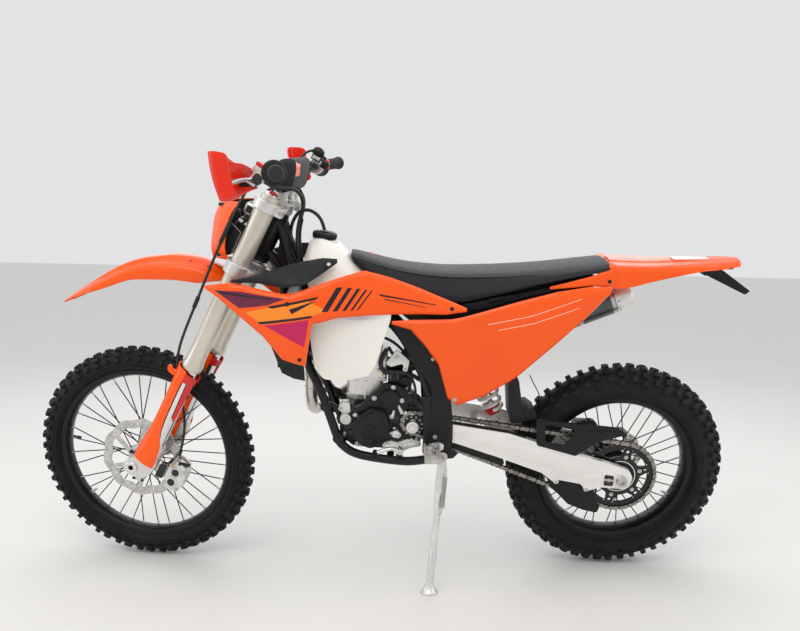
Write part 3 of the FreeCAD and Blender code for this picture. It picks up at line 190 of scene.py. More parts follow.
def frame_along(p, q, up=(0, 0, 1)):
    """Matrix whose Z runs from p to q, at p."""
    z = (Vector(q) - Vector(p)).normalized()
    u = Vector(up)
    if abs(z.dot(u)) > 0.97:
        u = Vector((0, 1, 0)) if abs(z.y) < 0.9 else Vector((1, 0, 0))
    x = u.cross(z).normalized()
    y = z.cross(x)
    m = Matrix((x, y, z)).transposed().to_4x4()
    m.translation = Vector(p)
    return m


MIRROR = Matrix.Diagonal((1, -1, 1, 1))


# ------------------------------------------------------------- the builder
class Piece:
    """One Blender piece put together from simple shapes, in millimetres."""

    def __init__(self, name, space, body, replaces=(), slot=None, sharp=32.0, uv_flat=None):
        self.name, self.space, self.body = name, space, body
        self.replaces = (replaces,) if isinstance(replaces, str) else tuple(replaces)
        self.slot, self.sharp = slot, sharp
        self.bm = bmesh.new()
        self.mats, self.mi = [], 0

    def use(self, m):
        if m not in self.mats:
            self.mats.append(m)
        self.mi = self.mats.index(m)
        return self

    # every shape goes through here: bevel, place, and copy into the piece
    def add(self, tmp, bevel=0.0, seg=2, limit=28.0, at=None, mirrored=False, keep_mi=False, both=False, profile=0.5):
        if not keep_mi:
            for f in tmp.faces:
                f.material_index = self.mi
        bmesh.ops.recalc_face_normals(tmp, faces=tmp.faces)
        if bevel > 0:
            edges = [e for e in tmp.edges if len(e.link_faces) == 2 and e.calc_face_angle(0.0) > rad(limit)]
            if edges:
                bmesh.ops.bevel(tmp, geom=edges, offset=bevel, segments=seg, profile=profile, affect='EDGES', clamp_overlap=True)
        if at is not None:
            bmesh.ops.transform(tmp, matrix=at, verts=tmp.verts)
        if mirrored:
            bmesh.ops.transform(tmp, matrix=MIRROR, verts=tmp.verts)
            bmesh.ops.reverse_faces(tmp, faces=tmp.faces)
        me = bpy.data.meshes.new("t")
        tmp.to_mesh(me)
        self.bm.from_mesh(me)
        if both:
            bmesh.ops.transform(tmp, matrix=MIRROR, verts=tmp.verts)
            bmesh.ops.reverse_faces(tmp, faces=tmp.faces)
            tmp.to_mesh(me)
            self.bm.from_mesh(me)
        bpy.data.meshes.remove(me)
        tmp.free()
        return self

    def box(self, a, b, bevel=1.0, **kw):
        tmp = bmesh.new()
        lo, hi = Vector(a), Vector(b)
        bmesh.ops.create_cube(tmp, size=1.0)
        for v in tmp.verts:
            v.co = Vector([(lo[i] + hi[i]) / 2 + v.co[i] * (hi[i] - lo[i]) for i in range(3)])
        return self.add(tmp, bevel, **kw)

    def rings(self, loops, closed=False, caps=True, bevel=0.0, **kw):
        """Skin through rings of equal count; closed joins the last to the first."""
        tmp = bmesh.new()
        rows = [[tmp.verts.new(tuple(p)) for p in loop] for loop in loops]
        n = len(rows[0])
        pairs = list(zip(rows[:-1], rows[1:]))
        if closed:
            pairs.append((rows[-1], rows[0]))
        for r0, r1 in pairs:
            for k in range(n):
                a, b, c, d = r0[k], r0[(k + 1) % n], r1[(k + 1) % n], r1[k]
                try:
                    tmp.faces.new((a, b, c, d))
                except ValueError:
                    pass
        if caps and not closed:
            for row in (rows[0], rows[-1]):
                try:
                    tmp.faces.new(row)
                except ValueError:
                    pass
        bmesh.ops.remove_doubles(tmp, verts=tmp.verts, dist=1e-4)
        return self.add(tmp, bevel, **kw)

    def lathe(self, profile, n=48, at=None, closed_profile=False, bevel=0.0, start=0.0, sweep=360.0, **kw):
        """Turned shape: profile of (radius, height) about Z of 'at'."""
        tmp = bmesh.new()
        rows = []
        full = abs(sweep - 360.0) < 1e-6
        count = n if full else n + 1
        for r, z in profile:
            if r < 1e-6:
                rows.append([tmp.verts.new((0, 0, z))])
            else:
                rows.append([tmp.verts.new((r * math.cos(rad(start) + rad(sweep) * k / n), r * math.sin(rad(start) + rad(sweep) * k / n), z)) for k in range(count)])
        pairs = list(zip(rows[:-1], rows[1:]))
        if closed_profile:
            pairs.append((rows[-1], rows[0]))
        for r0, r1 in pairs:
            for k in range(n):
                k2 = (k + 1) % count if full else k + 1
                a = [r0[k % len(r0)], r0[k2 % len(r0)], r1[k2 % len(r1)], r1[k % len(r1)]]
                u = []
                for v in a:
                    if v not in u:
                        u.append(v)
                if len(u) >= 3:
                    try:
                        tmp.faces.new(u)
                    except ValueError:
                        pass
        if full and not closed_profile:
            for row in (rows[0], rows[-1]):
                if len(row) > 2:
                    try:
                        tmp.faces.new(row)
                    except ValueError:
                        pass
        return self.add(tmp, bevel, at=at, **kw)

    def rod(self, p, q, r, r2=None, n=20, bevel=0.0, **kw):
        """Cylinder or cone from p to q."""
        p, q = Vector(p), Vector(q)
        h = (q - p).length
        r2 = r if r2 is None else r2
        m = frame_along(p, q)
        if bevel > 0:
            b = min(bevel, h * 0.45, r * 0.8, r2 * 0.8)
            prof = [(0, 0), (r - b, 0), (r - 0.3 * b, 0.3 * b), (r, b), (r2, h - b), (r2 - 0.3 * b, h - 0.3 * b), (r2 - b, h), (0, h)]
        else:
            prof = [(0, 0), (r, 0), (r2, h), (0, h)]
        return self.lathe(prof, n=n, at=m, **kw)

    def tube(self, pts, r, n=14, caps=True, radii=None, ring=None, **kw):
        """Round bar along points; ring may give a section of (a, b) instead."""
        P = [Vector(p) for p in pts]
        tang = []
        for i in range(len(P)):
            a = P[max(i - 1, 0)]
            b = P[min(i + 1, len(P) - 1)]
            tang.append((b - a).normalized())
        ref = Vector((0, 1, 0)) if abs(tang[0].y) < 0.9 else Vector((0, 0, 1))
        u = (ref - tang[0] * ref.dot(tang[0])).normalized()
        loops = []
        for i, p in enumerate(P):
            u = (u - tang[i] * u.dot(tang[i])).normalized()
            w = tang[i].cross(u)
            ri = radii[i] if radii is not None else r
            if ring is None:
                loops.append([p + (u * math.cos(2 * math.pi * k / n) + w * math.sin(2 * math.pi * k / n)) * ri for k in range(n)])
            else:
                loops.append([p + (u * a + w * b) * (ri if radii is not None else 1.0) for a, b in ring])
        return self.rings(loops, caps=caps, **kw)

    def bar(self, pts, r, step=6.0, n=14, **kw):
        """Bent tube with smooth bends, through NURBS control points."""
        return self.tube(bspline(pts, step), r, n=n, **kw)

    def prism(self, outline, y0, y1, holes=(), bevel=1.0, seg=2, at=None, plane='XZ', **kw):
        """Outline (a, b) with holes, between two levels of the third axis."""
        loops = [list(outline)] + [list(h) for h in holes]
        flat = [p for l in loops for p in l]
        tris = tessellate_polygon([[Vector((p[0], p[1], 0)) for p in l] for l in loops])

        def put(p, h):
            return (p[0], h, p[1]) if plane == 'XZ' else ((p[0], p[1], h) if plane == 'XY' else (h, p[0], p[1]))
        tmp = bmesh.new()
        lo = [tmp.verts.new(put(p, y0)) for p in flat]
        hi = [tmp.verts.new(put(p, y1)) for p in flat]
        for t in tris:
            for vs, order in ((lo, (0, 1, 2)), (hi, (2, 1, 0))):
                try:
                    tmp.faces.new([vs[t[i]] for i in order])
                except ValueError:
                    pass
        k = 0
        for l in loops:
            m = len(l)
            for i in range(m):
                a, b = k + i, k + (i + 1) % m
                try:
                    tmp.faces.new((lo[a], lo[b], hi[b], hi[a]))
                except ValueError:
                    pass
            k += m
        return self.add(tmp, bevel, seg, at=at, **kw)

    def bolt(self, p, axis, r=5.0, h=4.0, kind="hex", **kw):
        """Bolt head standing on p along axis."""
        p, axis = Vector(p), Vector(axis).normalized()
        m = frame_along(p, p + axis)
        if kind == "hex":
            self.lathe([(0, -1), (r * 1.25, -1), (r * 1.25, 0.9), (r * 1.02, 1.1), (0, 1.1)], n=20, at=m, **kw)
            self.lathe([(0, 0.9), (r, 0.9), (r, h - 0.6), (r * 0.86, h), (r * 0.45, h), (r * 0.4, h - 0.7), (0, h - 0.7)], n=6, at=m, **kw)
        elif kind == "torx":
            self.lathe([(0, -1), (r, -1), (r, h * 0.45), (r * 0.93, h * 0.8), (r * 0.7, h), (r * 0.46, h)], n=20, at=m, **kw)
            self.lathe([(r * 0.46, h), (r * 0.42, h - 1.6), (0, h - 1.6)], n=6, at=m, **kw)
        else:
            self.lathe([(0, -1), (r, -1), (r, h * 0.5), (r * 0.92, h * 0.82), (r * 0.7, h), (0, h)], n=20, at=m, **kw)
        return self

    def skin(self, grid, thick=0.0, inward=None, closed_v=False, bevel=0.0, rim_mat=None, **kw):
        """Sheet through a grid of points; with thick it gets a back, set off
        along the surface normal, on the side of 'inward'."""
        G = np.asarray(grid, float)
        nu, nv = G.shape[:2]
        tmp = bmesh.new()
        vs = [[tmp.verts.new(G[i, j]) for j in range(nv)] for i in range(nu)]
        span = nv if closed_v else nv - 1
        for i in range(nu - 1):
            for j in range(span):
                j2 = (j + 1) % nv
                q = []
                for v in (vs[i][j], vs[i][j2], vs[i + 1][j2], vs[i + 1][j]):
                    if all((v.co - w.co).length > 1e-5 for w in q):
                        q.append(v)
                if len(q) >= 3:
                    try:
                        tmp.faces.new(q)
                    except ValueError:
                        pass
        bmesh.ops.remove_doubles(tmp, verts=tmp.verts, dist=1e-4)
        bmesh.ops.recalc_face_normals(tmp, faces=tmp.faces)
        if thick:
            tmp.normal_update()
            if inward is not None:
                s = 0.0
                for f in tmp.faces:
                    target = inward(f.calc_center_median()) if callable(inward) else Vector(inward) - f.calc_center_median()
                    s += f.normal.dot(target) * f.calc_area()
                if s > 0:
                    bmesh.ops.reverse_faces(tmp, faces=tmp.faces)
                    tmp.normal_update()
            front = list(tmp.faces)
            rim = [e for e in tmp.edges if e.is_boundary]
            nrm = {v: v.normal.copy() for v in tmp.verts}
            twin = {v: tmp.verts.new(v.co - nrm[v] * thick) for v in list(tmp.verts)}
            for f in front:
                nf = tmp.faces.new([twin[v] for v in reversed(f.verts)])
                nf.material_index = f.material_index
            for e in rim:
                a, b = e.verts
                try:
                    tmp.faces.new((a, b, twin[b], twin[a]))
                except ValueError:
                    pass
        return self.add(tmp, bevel, **kw)

    def done(self, uv=None, sub=0, merge=0.0):
        me = bpy.data.meshes.new(self.name)
        if merge:
            bmesh.ops.remove_doubles(self.bm, verts=self.bm.verts, dist=merge)
        uvl = self.bm.loops.layers.uv.new("side")
        for f in self.bm.faces:
            for l in f.loops:
                c = l.vert.co
                l[uvl].uv = uv(c, f) if uv else (c.x * MM, c.z * MM)
        self.bm.to_mesh(me)
        self.bm.free()
        me.transform(self.space)
        for m in self.mats:
            me.materials.append(m)
        ob = bpy.data.objects.new(self.name, me)
        bpy.context.scene.collection.objects.link(ob)
        if sub:
            md = ob.modifiers.new("sub", 'SUBSURF')
            md.levels = md.render_levels = sub
            dg = bpy.context.evaluated_depsgraph_get()
            me2 = bpy.data.meshes.new_from_object(ob.evaluated_get(dg))
            me2.name = self.name
            ob.modifiers.clear()
            old = ob.data
            ob.data = me2
            bpy.data.meshes.remove(old)
            me = me2
        me.polygons.foreach_set("use_smooth", np.ones(len(me.polygons), bool))
        me.set_sharp_from_angle(angle=rad(self.sharp))
        me.update()
        if self.body:
            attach(ob, self.body)
        if self.replaces:
            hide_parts(*self.replaces)
        TALLY.append((self.name, sum(len(p.vertices) - 2 for p in me.polygons)))
        return ob


TALLY = []

# --------------------------------------------------------------- materials
def srgb(r, g, b):
    def f(c):
        c /= 255.0
        return c / 12.92 if c <= 0.04045 else ((c + 0.055) / 1.055) ** 2.4
    return (f(r), f(g), f(b), 1.0)


def shade(c, k):
    return (min(1, c[0] * k), min(1, c[1] * k), min(1, c[2] * k), 1.0)


class Mat:
    """Node material: principled shader fed by object-space noise."""

    def __init__(self, name, color, rough=0.5, metal=0.0, spec=0.5, coat=0.0, coat_rough=0.05, sheen=0.0):
        self.m = bpy.data.materials.new(name)
        self.m.use_nodes = True
        self.nt = self.m.node_tree
        self.b = self.nt.nodes["Principled BSDF"]
        i = self.b.inputs
        i["Base Color"].default_value = color
        i["Roughness"].default_value = rough
        i["Metallic"].default_value = metal
        i["Specular IOR Level"].default_value = spec
        i["Coat Weight"].default_value = coat
        i["Coat Roughness"].default_value = coat_rough
        i["Sheen Weight"].default_value = sheen
        self.tc = self.nt.nodes.new("ShaderNodeTexCoord")
        self.color, self.rough = color, rough
        self.normal = None

    def node(self, kind, **kw):
        n = self.nt.nodes.new(kind)
        for k, v in kw.items():
            if k in n.inputs:
                n.inputs[k].default_value = v
            else:
                setattr(n, k, v)
        return n

    def link(self, a, b):
        self.nt.links.new(a, b)
        return self

    def coords(self, stretch=(1, 1, 1), out="Object"):
        mp = self.node("ShaderNodeMapping")
        mp.inputs["Scale"].default_value = stretch
        self.link(self.tc.outputs[out], mp.inputs["Vector"])
        return mp.outputs["Vector"]

    def noise(self, scale, detail=4.0, rough=0.55, stretch=(1, 1, 1), dist=0.0):
        n = self.node("ShaderNodeTexNoise")
        n.inputs["Scale"].default_value = scale
        n.inputs["Detail"].default_value = detail
        n.inputs["Roughness"].default_value = rough
        n.inputs["Distortion"].default_value = dist
        self.link(self.coords(stretch), n.inputs["Vector"])
        return n.outputs["Fac"]

    def ramp(self, fac, stops):
        r = self.node("ShaderNodeValToRGB")
        e = r.color_ramp.elements
        while len(e) > 1:
            e.remove(e[-1])
        e[0].position, e[0].color = stops[0]
        for p, c in stops[1:]:
            x = e.new(p)
            x.color = c
        self.link(fac, r.inputs["Fac"])
        return r.outputs["Color"]

    def mix(self, fac, a, b, kind='MIX'):
        m = self.node("ShaderNodeMix", data_type='RGBA', blend_type=kind)
        for sock, v in (("Factor", fac), ("A", a), ("B", b)):
            target = [s for s in m.inputs if s.name == sock and s.enabled][0]
            if hasattr(v, "is_output"):
                self.link(v, target)
            else:
                target.default_value = v
        return [s for s in m.outputs if s.enabled][0]

    def math(self, op, a, b=None, c=None, clamp=False):
        m = self.node("ShaderNodeMath", operation=op, use_clamp=clamp)
        for k, v in enumerate((a, b, c)):
            if v is None:
                continue
            if hasattr(v, "is_output"):
                self.link(v, m.inputs[k])
            else:
                m.inputs[k].default_value = v
        return m.outputs[0]

    def span(self, fac, lo, hi, a=0.0, b=1.0):
        m = self.node("ShaderNodeMapRange")
        for k, v in (("From Min", lo), ("From Max", hi), ("To Min", a), ("To Max", b)):
            m.inputs[k].default_value = v
        self.link(fac, m.inputs["Value"])
        return m.outputs["Result"]

    # finishes
    def vary(self, scale=18, amount=0.12, color=None, stretch=(1, 1, 1), detail=5):
        """Slow change of colour over the surface."""
        c = color if color is not None else self.color
        n = self.noise(scale, detail, stretch=stretch)
        out = self.mix(self.span(n, 0.3, 0.7), shade(c, 1 - amount), shade(c, 1 + amount))
        self.base(out)
        return self

    def base(self, sock):
        self.basesock = sock
        self.link(sock, self.b.inputs["Base Color"])
        return self

    def roughen(self, scale=40, lo=None, hi=None, detail=6, stretch=(1, 1, 1)):
        lo = self.rough * 0.8 if lo is None else lo
        hi = self.rough * 1.25 if hi is None else hi
        self.link(self.span(self.noise(scale, detail, stretch=stretch), 0.25, 0.75, lo, hi), self.b.inputs["Roughness"])
        return self

    def bump(self, fac, strength=0.3, distance=0.0002):
        b = self.node("ShaderNodeBump")
        b.inputs["Strength"].default_value = strength
        b.inputs["Distance"].default_value = distance
        self.link(fac, b.inputs["Height"])
        if self.normal is not None:
            self.link(self.normal, b.inputs["Normal"])
        self.normal = b.outputs["Normal"]
        self.link(self.normal, self.b.inputs["Normal"])
        return self

    def grain(self, scale=900, strength=0.25, distance=0.0002, detail=2):
        return self.bump(self.noise(scale, detail), strength, distance)

    def voro(self, scale, feature='F1', stretch=(1, 1, 1), rnd=1.0):
        v = self.node("ShaderNodeTexVoronoi", feature=feature)
        v.inputs["Scale"].default_value = scale
        v.inputs["Randomness"].default_value = rnd
        self.link(self.coords(stretch), v.inputs["Vector"])
        return v.outputs["Distance"]

    def edgewear(self, color, amount=0.5, noise_scale=60, sharp=0.55):
        """Lighter or darker convex edges, from the surface's own pointiness."""
        g = self.node("ShaderNodeNewGeometry")
        p = self.span(g.outputs["Pointiness"], sharp, sharp + 0.06, 0, 1)
        n = self.span(self.noise(noise_scale, 6), 0.4, 0.62, 0, 1)
        f = self.math('MULTIPLY', self.math('MULTIPLY', p, n, clamp=True), amount)
        cur = getattr(self, "basesock", None)
        out = self.mix(f, cur if cur is not None else self.color, color)
        return self.base(out)


def M(name, color, rough=0.5, metal=0.0, **kw):
    return Mat(name, color, rough, metal, **kw)


ORANGE = srgb(253, 88, 4)
BLACK = srgb(24, 25, 28)

orange = M("orange_plastic", ORANGE, 0.26, spec=0.35, coat=0.12, coat_rough=0.06).vary(7, 0.045).roughen(28, 0.18, 0.3)
orange.grain(420, 0.05, 0.0002)
orange_in = M("orange_inside", shade(ORANGE, 0.86), 0.42).vary(14, 0.08).roughen(60, 0.36, 0.5).grain(700, 0.15)
blackp = M("black_plastic", srgb(15, 16, 19), 0.42, spec=0.32).vary(22, 0.16).roughen(50, 0.36, 0.52).grain(1500, 0.22, 0.00015)
black_gloss = M("black_gloss", srgb(10, 10, 12), 0.18, spec=0.4, coat=0.12).vary(30, 0.2).roughen(40, 0.12, 0.22)
black_paint = M("black_powdercoat", srgb(10, 10, 12), 0.34, spec=0.36, coat=0.05).vary(16, 0.25).roughen(45, 0.28, 0.42).grain(1100, 0.12, 0.0001)
cover_black = M("black_cast_cover", srgb(15, 15, 17), 0.4, 0.1, spec=0.4).vary(30, 0.25).roughen(70, 0.34, 0.5).grain(1400, 0.3, 0.00015)
dark_cast = M("dark_casting", srgb(62, 63, 66), 0.46, 0.75).vary(26, 0.3).roughen(60, 0.38, 0.56).grain(900, 0.35, 0.0002)
rubber = M("tyre_rubber", srgb(14, 15, 17), 0.64, spec=0.25, sheen=0.02).roughen(24, 0.52, 0.74)
rubber.base(rubber.mix(rubber.span(rubber.noise(9, 7, 0.65), 0.42, 0.7), srgb(11, 12, 14), srgb(22, 23, 26)))
rubber.bump(rubber.noise(600, 3), 0.3, 0.0003)
knob_tip = M("tyre_block", srgb(26, 27, 29), 0.72, spec=0.28, sheen=0.05).roughen(40, 0.6, 0.82)
knob_tip.base(knob_tip.mix(knob_tip.span(knob_tip.noise(30, 7, 0.7), 0.4, 0.68), srgb(14, 15, 17), srgb(34, 35, 38)))
knob_tip.bump(knob_tip.noise(500, 4), 0.4, 0.0004)
hose = M("black_hose", srgb(16, 16, 18), 0.48, sheen=0.05).vary(60, 0.2).roughen(120, 0.4, 0.56)
soft_black = M("soft_black", srgb(20, 20, 23), 0.66, sheen=0.08).vary(50, 0.2).roughen(80, 0.58, 0.78).grain(1300, 0.4, 0.0002)
silver = M("cast_aluminium", srgb(222, 221, 218), 0.38, 0.85).vary(24, 0.07).roughen(60, 0.34, 0.5).grain(1100, 0.25, 0.00015)
swing_al = M("peened_aluminium", srgb(238, 236, 232), 0.34, 0.7).vary(10, 0.06, stretch=(1, 1, 3)).roughen(40, 0.3, 0.44).grain(1600, 0.16, 0.0001)
machined = M("machined_aluminium", srgb(222, 222, 221), 0.26, 1.0).vary(40, 0.05).roughen(160, 0.2, 0.34)
polished = M("polished_tube", srgb(226, 227, 228), 0.12, 1.0).roughen(60, 0.08, 0.18)
champagne = M("anodised_tube", srgb(212, 206, 193), 0.36, 0.72).vary(9, 0.04, stretch=(1, 1, 0.2)).roughen(20, 0.33, 0.4)
steel = M("zinc_steel", srgb(190, 188, 184), 0.32, 1.0).vary(50, 0.1).roughen(90, 0.26, 0.42)
bolt_mat = M("bolt_steel", srgb(196, 194, 190), 0.28, 1.0).vary(80, 0.12).roughen(150, 0.22, 0.4)
dark_bolt = M("dark_bolt", srgb(58, 58, 60), 0.38, 0.9).vary(80, 0.12).roughen(150, 0.3, 0.46)
disc_mat = M("ground_disc", srgb(198, 197, 195), 0.3, 1.0).roughen(120, 0.24, 0.4)
disc_mat.base(disc_mat.mix(disc_mat.span(disc_mat.noise(70, 8), 0.35, 0.7), srgb(176, 174, 171), srgb(214, 213, 211)))
exhaust = M("stainless", srgb(208, 203, 194), 0.24, 1.0).roughen(30, 0.18, 0.34)
exhaust.base(exhaust.mix(exhaust.span(exhaust.noise(6, 4), 0.42, 0.66), srgb(212, 208, 201), srgb(186, 172, 150)))
sil_mat = M("silencer_skin", srgb(92, 92, 94), 0.34, 0.85).vary(20, 0.1).roughen(60, 0.28, 0.42)
rim_black = M("anodised_rim", srgb(24, 24, 26), 0.3, 0.55, coat=0.05).vary(20, 0.2).roughen(50, 0.25, 0.38)
spoke_mat = M("black_spoke", srgb(26, 26, 28), 0.34, 0.7).vary(90, 0.2).roughen(90, 0.28, 0.42)
nipple_mat = M("nipple", srgb(198, 197, 194), 0.3, 1.0).vary(90, 0.1).roughen(90, 0.24, 0.4)
chain_mat = M("chain_plate", srgb(150, 146, 139), 0.4, 0.95).roughen(120, 0.32, 0.52)
chain_mat.base(chain_mat.mix(chain_mat.span(chain_mat.noise(90, 6), 0.4, 0.7), srgb(160, 157, 150), srgb(104, 98, 90)))
chain_dark = M("chain_inner", srgb(92, 88, 82), 0.42, 0.9).vary(90, 0.2).roughen(120, 0.36, 0.52)
white_tank = M("translucent_tank", srgb(242, 239, 230), 0.33, spec=0.45)
white_tank.vary(5, 0.035).roughen(30, 0.28, 0.38).grain(500, 0.08, 0.0002)
white_tank.b.inputs["Subsurface Weight"].default_value = 0.45
white_tank.b.inputs["Subsurface Radius"].default_value = (0.02, 0.016, 0.010)
white_tank.b.inputs["Subsurface Scale"].default_value = 0.35
# red for the shock collar, fork caps, reservoir lid and buttons; also laid on the fork guards as painted shade on their
# orange plastic
red_trim_and_painted_shade = M("red_trim_and_painted_shade", srgb(214, 24, 26), 0.3, coat=0.15).vary(40, 0.08).roughen(60, 0.24, 0.38)
red_lens = M("red_lens", srgb(196, 20, 18), 0.1, spec=0.6, coat=0.4).vary(60, 0.1)
white_spring = M("white_spring", srgb(226, 224, 219), 0.28, coat=0.2).vary(60, 0.05).roughen(60, 0.22, 0.34)
white_mark = M("pale_patch", srgb(232, 232, 230), 0.35).vary(60, 0.04).roughen(60, 0.3, 0.42)
grip_rub = M("grip_rubber", srgb(24, 24, 26), 0.6, sheen=0.1).vary(60, 0.2).roughen(80, 0.52, 0.7)
gold = M("brass_fitting", srgb(196, 172, 112), 0.3, 1.0).vary(60, 0.08).roughen(60, 0.24, 0.38)
radiator_m = M("radiator_core", srgb(58, 58, 60), 0.45, 0.7).vary(40, 0.2)
rf = radiator_m.node("ShaderNodeTexWave", wave_type='BANDS', bands_direction='Z')
rf.inputs["Scale"].default_value = 120.0
radiator_m.link(radiator_m.coords(), rf.inputs["Vector"])
radiator_m.bump(rf.outputs["Fac"], 0.8, 0.0008)
glass = M("lamp_glass", srgb(210, 212, 214), 0.06, spec=0.6)
glass.b.inputs["Transmission Weight"].default_value = 0.85
glass.roughen(60, 0.04, 0.09)
# the seat top is coloured lighter than the side: partly its matte top cover, partly a painted highlight on the lit top
seat_top_painted_lighter = M("seat_cover_top_painted_lighter", srgb(34, 35, 38), 0.56, sheen=0.08)
seat_side = M("seat_cover_side", srgb(12, 13, 17), 0.5, spec=0.28)
for sm, sc in ((seat_top_painted_lighter, 620.0), (seat_side, 900.0)):
    sm.vary(12, 0.14)
    sm.roughen(70, sm.rough * 0.86, sm.rough * 1.18)
    sm.bump(sm.voro(sc), 0.5, 0.0003)
    sm.bump(sm.noise(26, 3), 0.12, 0.002)


def patch_mask(m, poly, soft=0.0006):
    """1 inside a convex outline drawn in the flat side view (metres), from
    the side coordinates of the piece; corners given anticlockwise."""
    uv = m.node("ShaderNodeUVMap", uv_map="side")
    sep = m.node("ShaderNodeSeparateXYZ")
    m.link(uv.outputs["UV"], sep.inputs["Vector"])
    area = sum(poly[i][0] * poly[(i + 1) % len(poly)][1] - poly[(i + 1) % len(poly)][0] * poly[i][1] for i in range(len(poly)))
    if area < 0:
        poly = poly[::-1]
    acc = None
    for i in range(len(poly)):
        (x0, z0), (x1, z1) = poly[i], poly[(i + 1) % len(poly)]
        x0, z0, x1, z1 = x0 * MM, z0 * MM, x1 * MM, z1 * MM
        ln = math.hypot(x1 - x0, z1 - z0)
        nx, nz = -(z1 - z0) / ln, (x1 - x0) / ln
        d = m.math('MULTIPLY_ADD', sep.outputs["X"], nx, -(nx * x0 + nz * z0))
        d = m.math('MULTIPLY_ADD', sep.outputs["Y"], nz, d)
        s = m.math('MULTIPLY_ADD', d, 1.0 / soft, 0.5, clamp=True)
        acc = s if acc is None else m.math('MULTIPLY', acc, s)
    return acc


def paint(m, cur, polys, color):
    """Lays a flat colour over the outlines."""
    acc = None
    for p in polys:
        k = patch_mask(m, p)
        acc = k if acc is None else m.math('MAXIMUM', acc, k)
    return m.mix(acc, cur, color)

# ------------------------------------------------------ camera, floor, light
cam_data = bpy.data.cameras.new("camera")
cam = bpy.data.objects.new("camera", cam_data)
bpy.context.scene.collection.objects.link(cam)
right = (-0.9997938, -0.0009781, 0.0202816)
down = (-0.0200864, 0.1938647, -0.9808226)
ahead = (-0.0029725, -0.9810278, -0.1938444)
rot = Matrix((right, [-c for c in down], [-c for c in ahead])).transposed()
q = rot.to_quaternion()
cam.rotation_mode = 'QUATERNION'
cam.rotation_quaternion = q
cam.location = Vector((-0.0286930, 2.6081494, 1.0605943)) + base * MM
cam_data.sensor_width = 36.0
cam_data.sensor_fit = 'HORIZONTAL'
cam_data.lens = 824.9747 / 800.0 * 36.0
cam_data.shift_x = (400.0 - 392.8145) / 800.0
cam_data.shift_y = -(315.5 - 393.1944) / 800.0
cam_data.clip_start, cam_data.clip_end = 0.05, 80.0
bpy.context.scene.camera = cam

floor_m = M("pale_floor", srgb(226, 225, 222), 0.6).vary(1.5, 0.012).roughen(8, 0.52, 0.66).grain(300, 0.04, 0.0003)
me = bpy.data.meshes.new("floor")
me.from_pydata([(-20, -20, 0), (20, -20, 0), (20, 20, 0), (-20, 20, 0)], [], [(0, 1, 2, 3)])
me.materials.append(floor_m.m)
floor = bpy.data.objects.new("floor", me)
bpy.context.scene.collection.objects.link(floor)

world = bpy.data.worlds.new("studio")
bpy.context.scene.world = world
world.use_nodes = True
bg = world.node_tree.nodes["Background"]
bg.inputs["Color"].default_value = (0.83, 0.835, 0.845, 1)
bg.inputs["Strength"].default_value = 0.92


def lamp(name, at, aim, size, power, color=(1, 1, 1)):
    d = bpy.data.lights.new(name, 'AREA')
    d.shape = 'RECTANGLE'
    d.size, d.size_y = size
    d.energy = power
    d.color = color
    o = bpy.data.objects.new(name, d)
    bpy.context.scene.collection.objects.link(o)
    o.location = at
    o.rotation_mode = 'QUATERNION'
    o.rotation_quaternion = (Vector(at) - Vector(aim)).to_track_quat('Z', 'Y')
    return o


lamp("key", (0.6, 2.4, 3.4), (0, 0, 0.5), (3.2, 1.6), 40, (1.0, 0.99, 0.97))
lamp("overhead", (0.0, 0.0, 3.6), (0, 0, 0), (4.5, 2.5), 26)
lamp("side_front", (3.4, 0.6, 1.6), (0, 0, 0.6), (1.6, 2.4), 16)
lamp("side_back", (-3.4, 0.4, 1.6), (0, 0, 0.6), (1.6, 2.4), 16)
lamp("behind", (0.0, -3.0, 2.2), (0, 0, 0.6), (4.0, 1.6), 20)
bpy.context.scene.view_settings.view_transform = 'Standard'
bpy.context.scene.view_settings.look = 'None'
bpy.context.scene.view_settings.exposure = 0.0

# ------------------------------------------------------------------- wheels
# A wheel's frame has its axle along Y; the lathe turns about Z, so LAY puts
# that Z on the axle.
LAY = R(-90, 'X')            # (x, y, z) -> z along +Y
COS_LEAN = math.cos(rad(LEAN))
RC_F, RC_R = 45.0, 64.0
R_FRONT = ZF - RC_F / COS_LEAN + RC_F
R_REAR = ZR - RC_R / COS_LEAN + RC_R


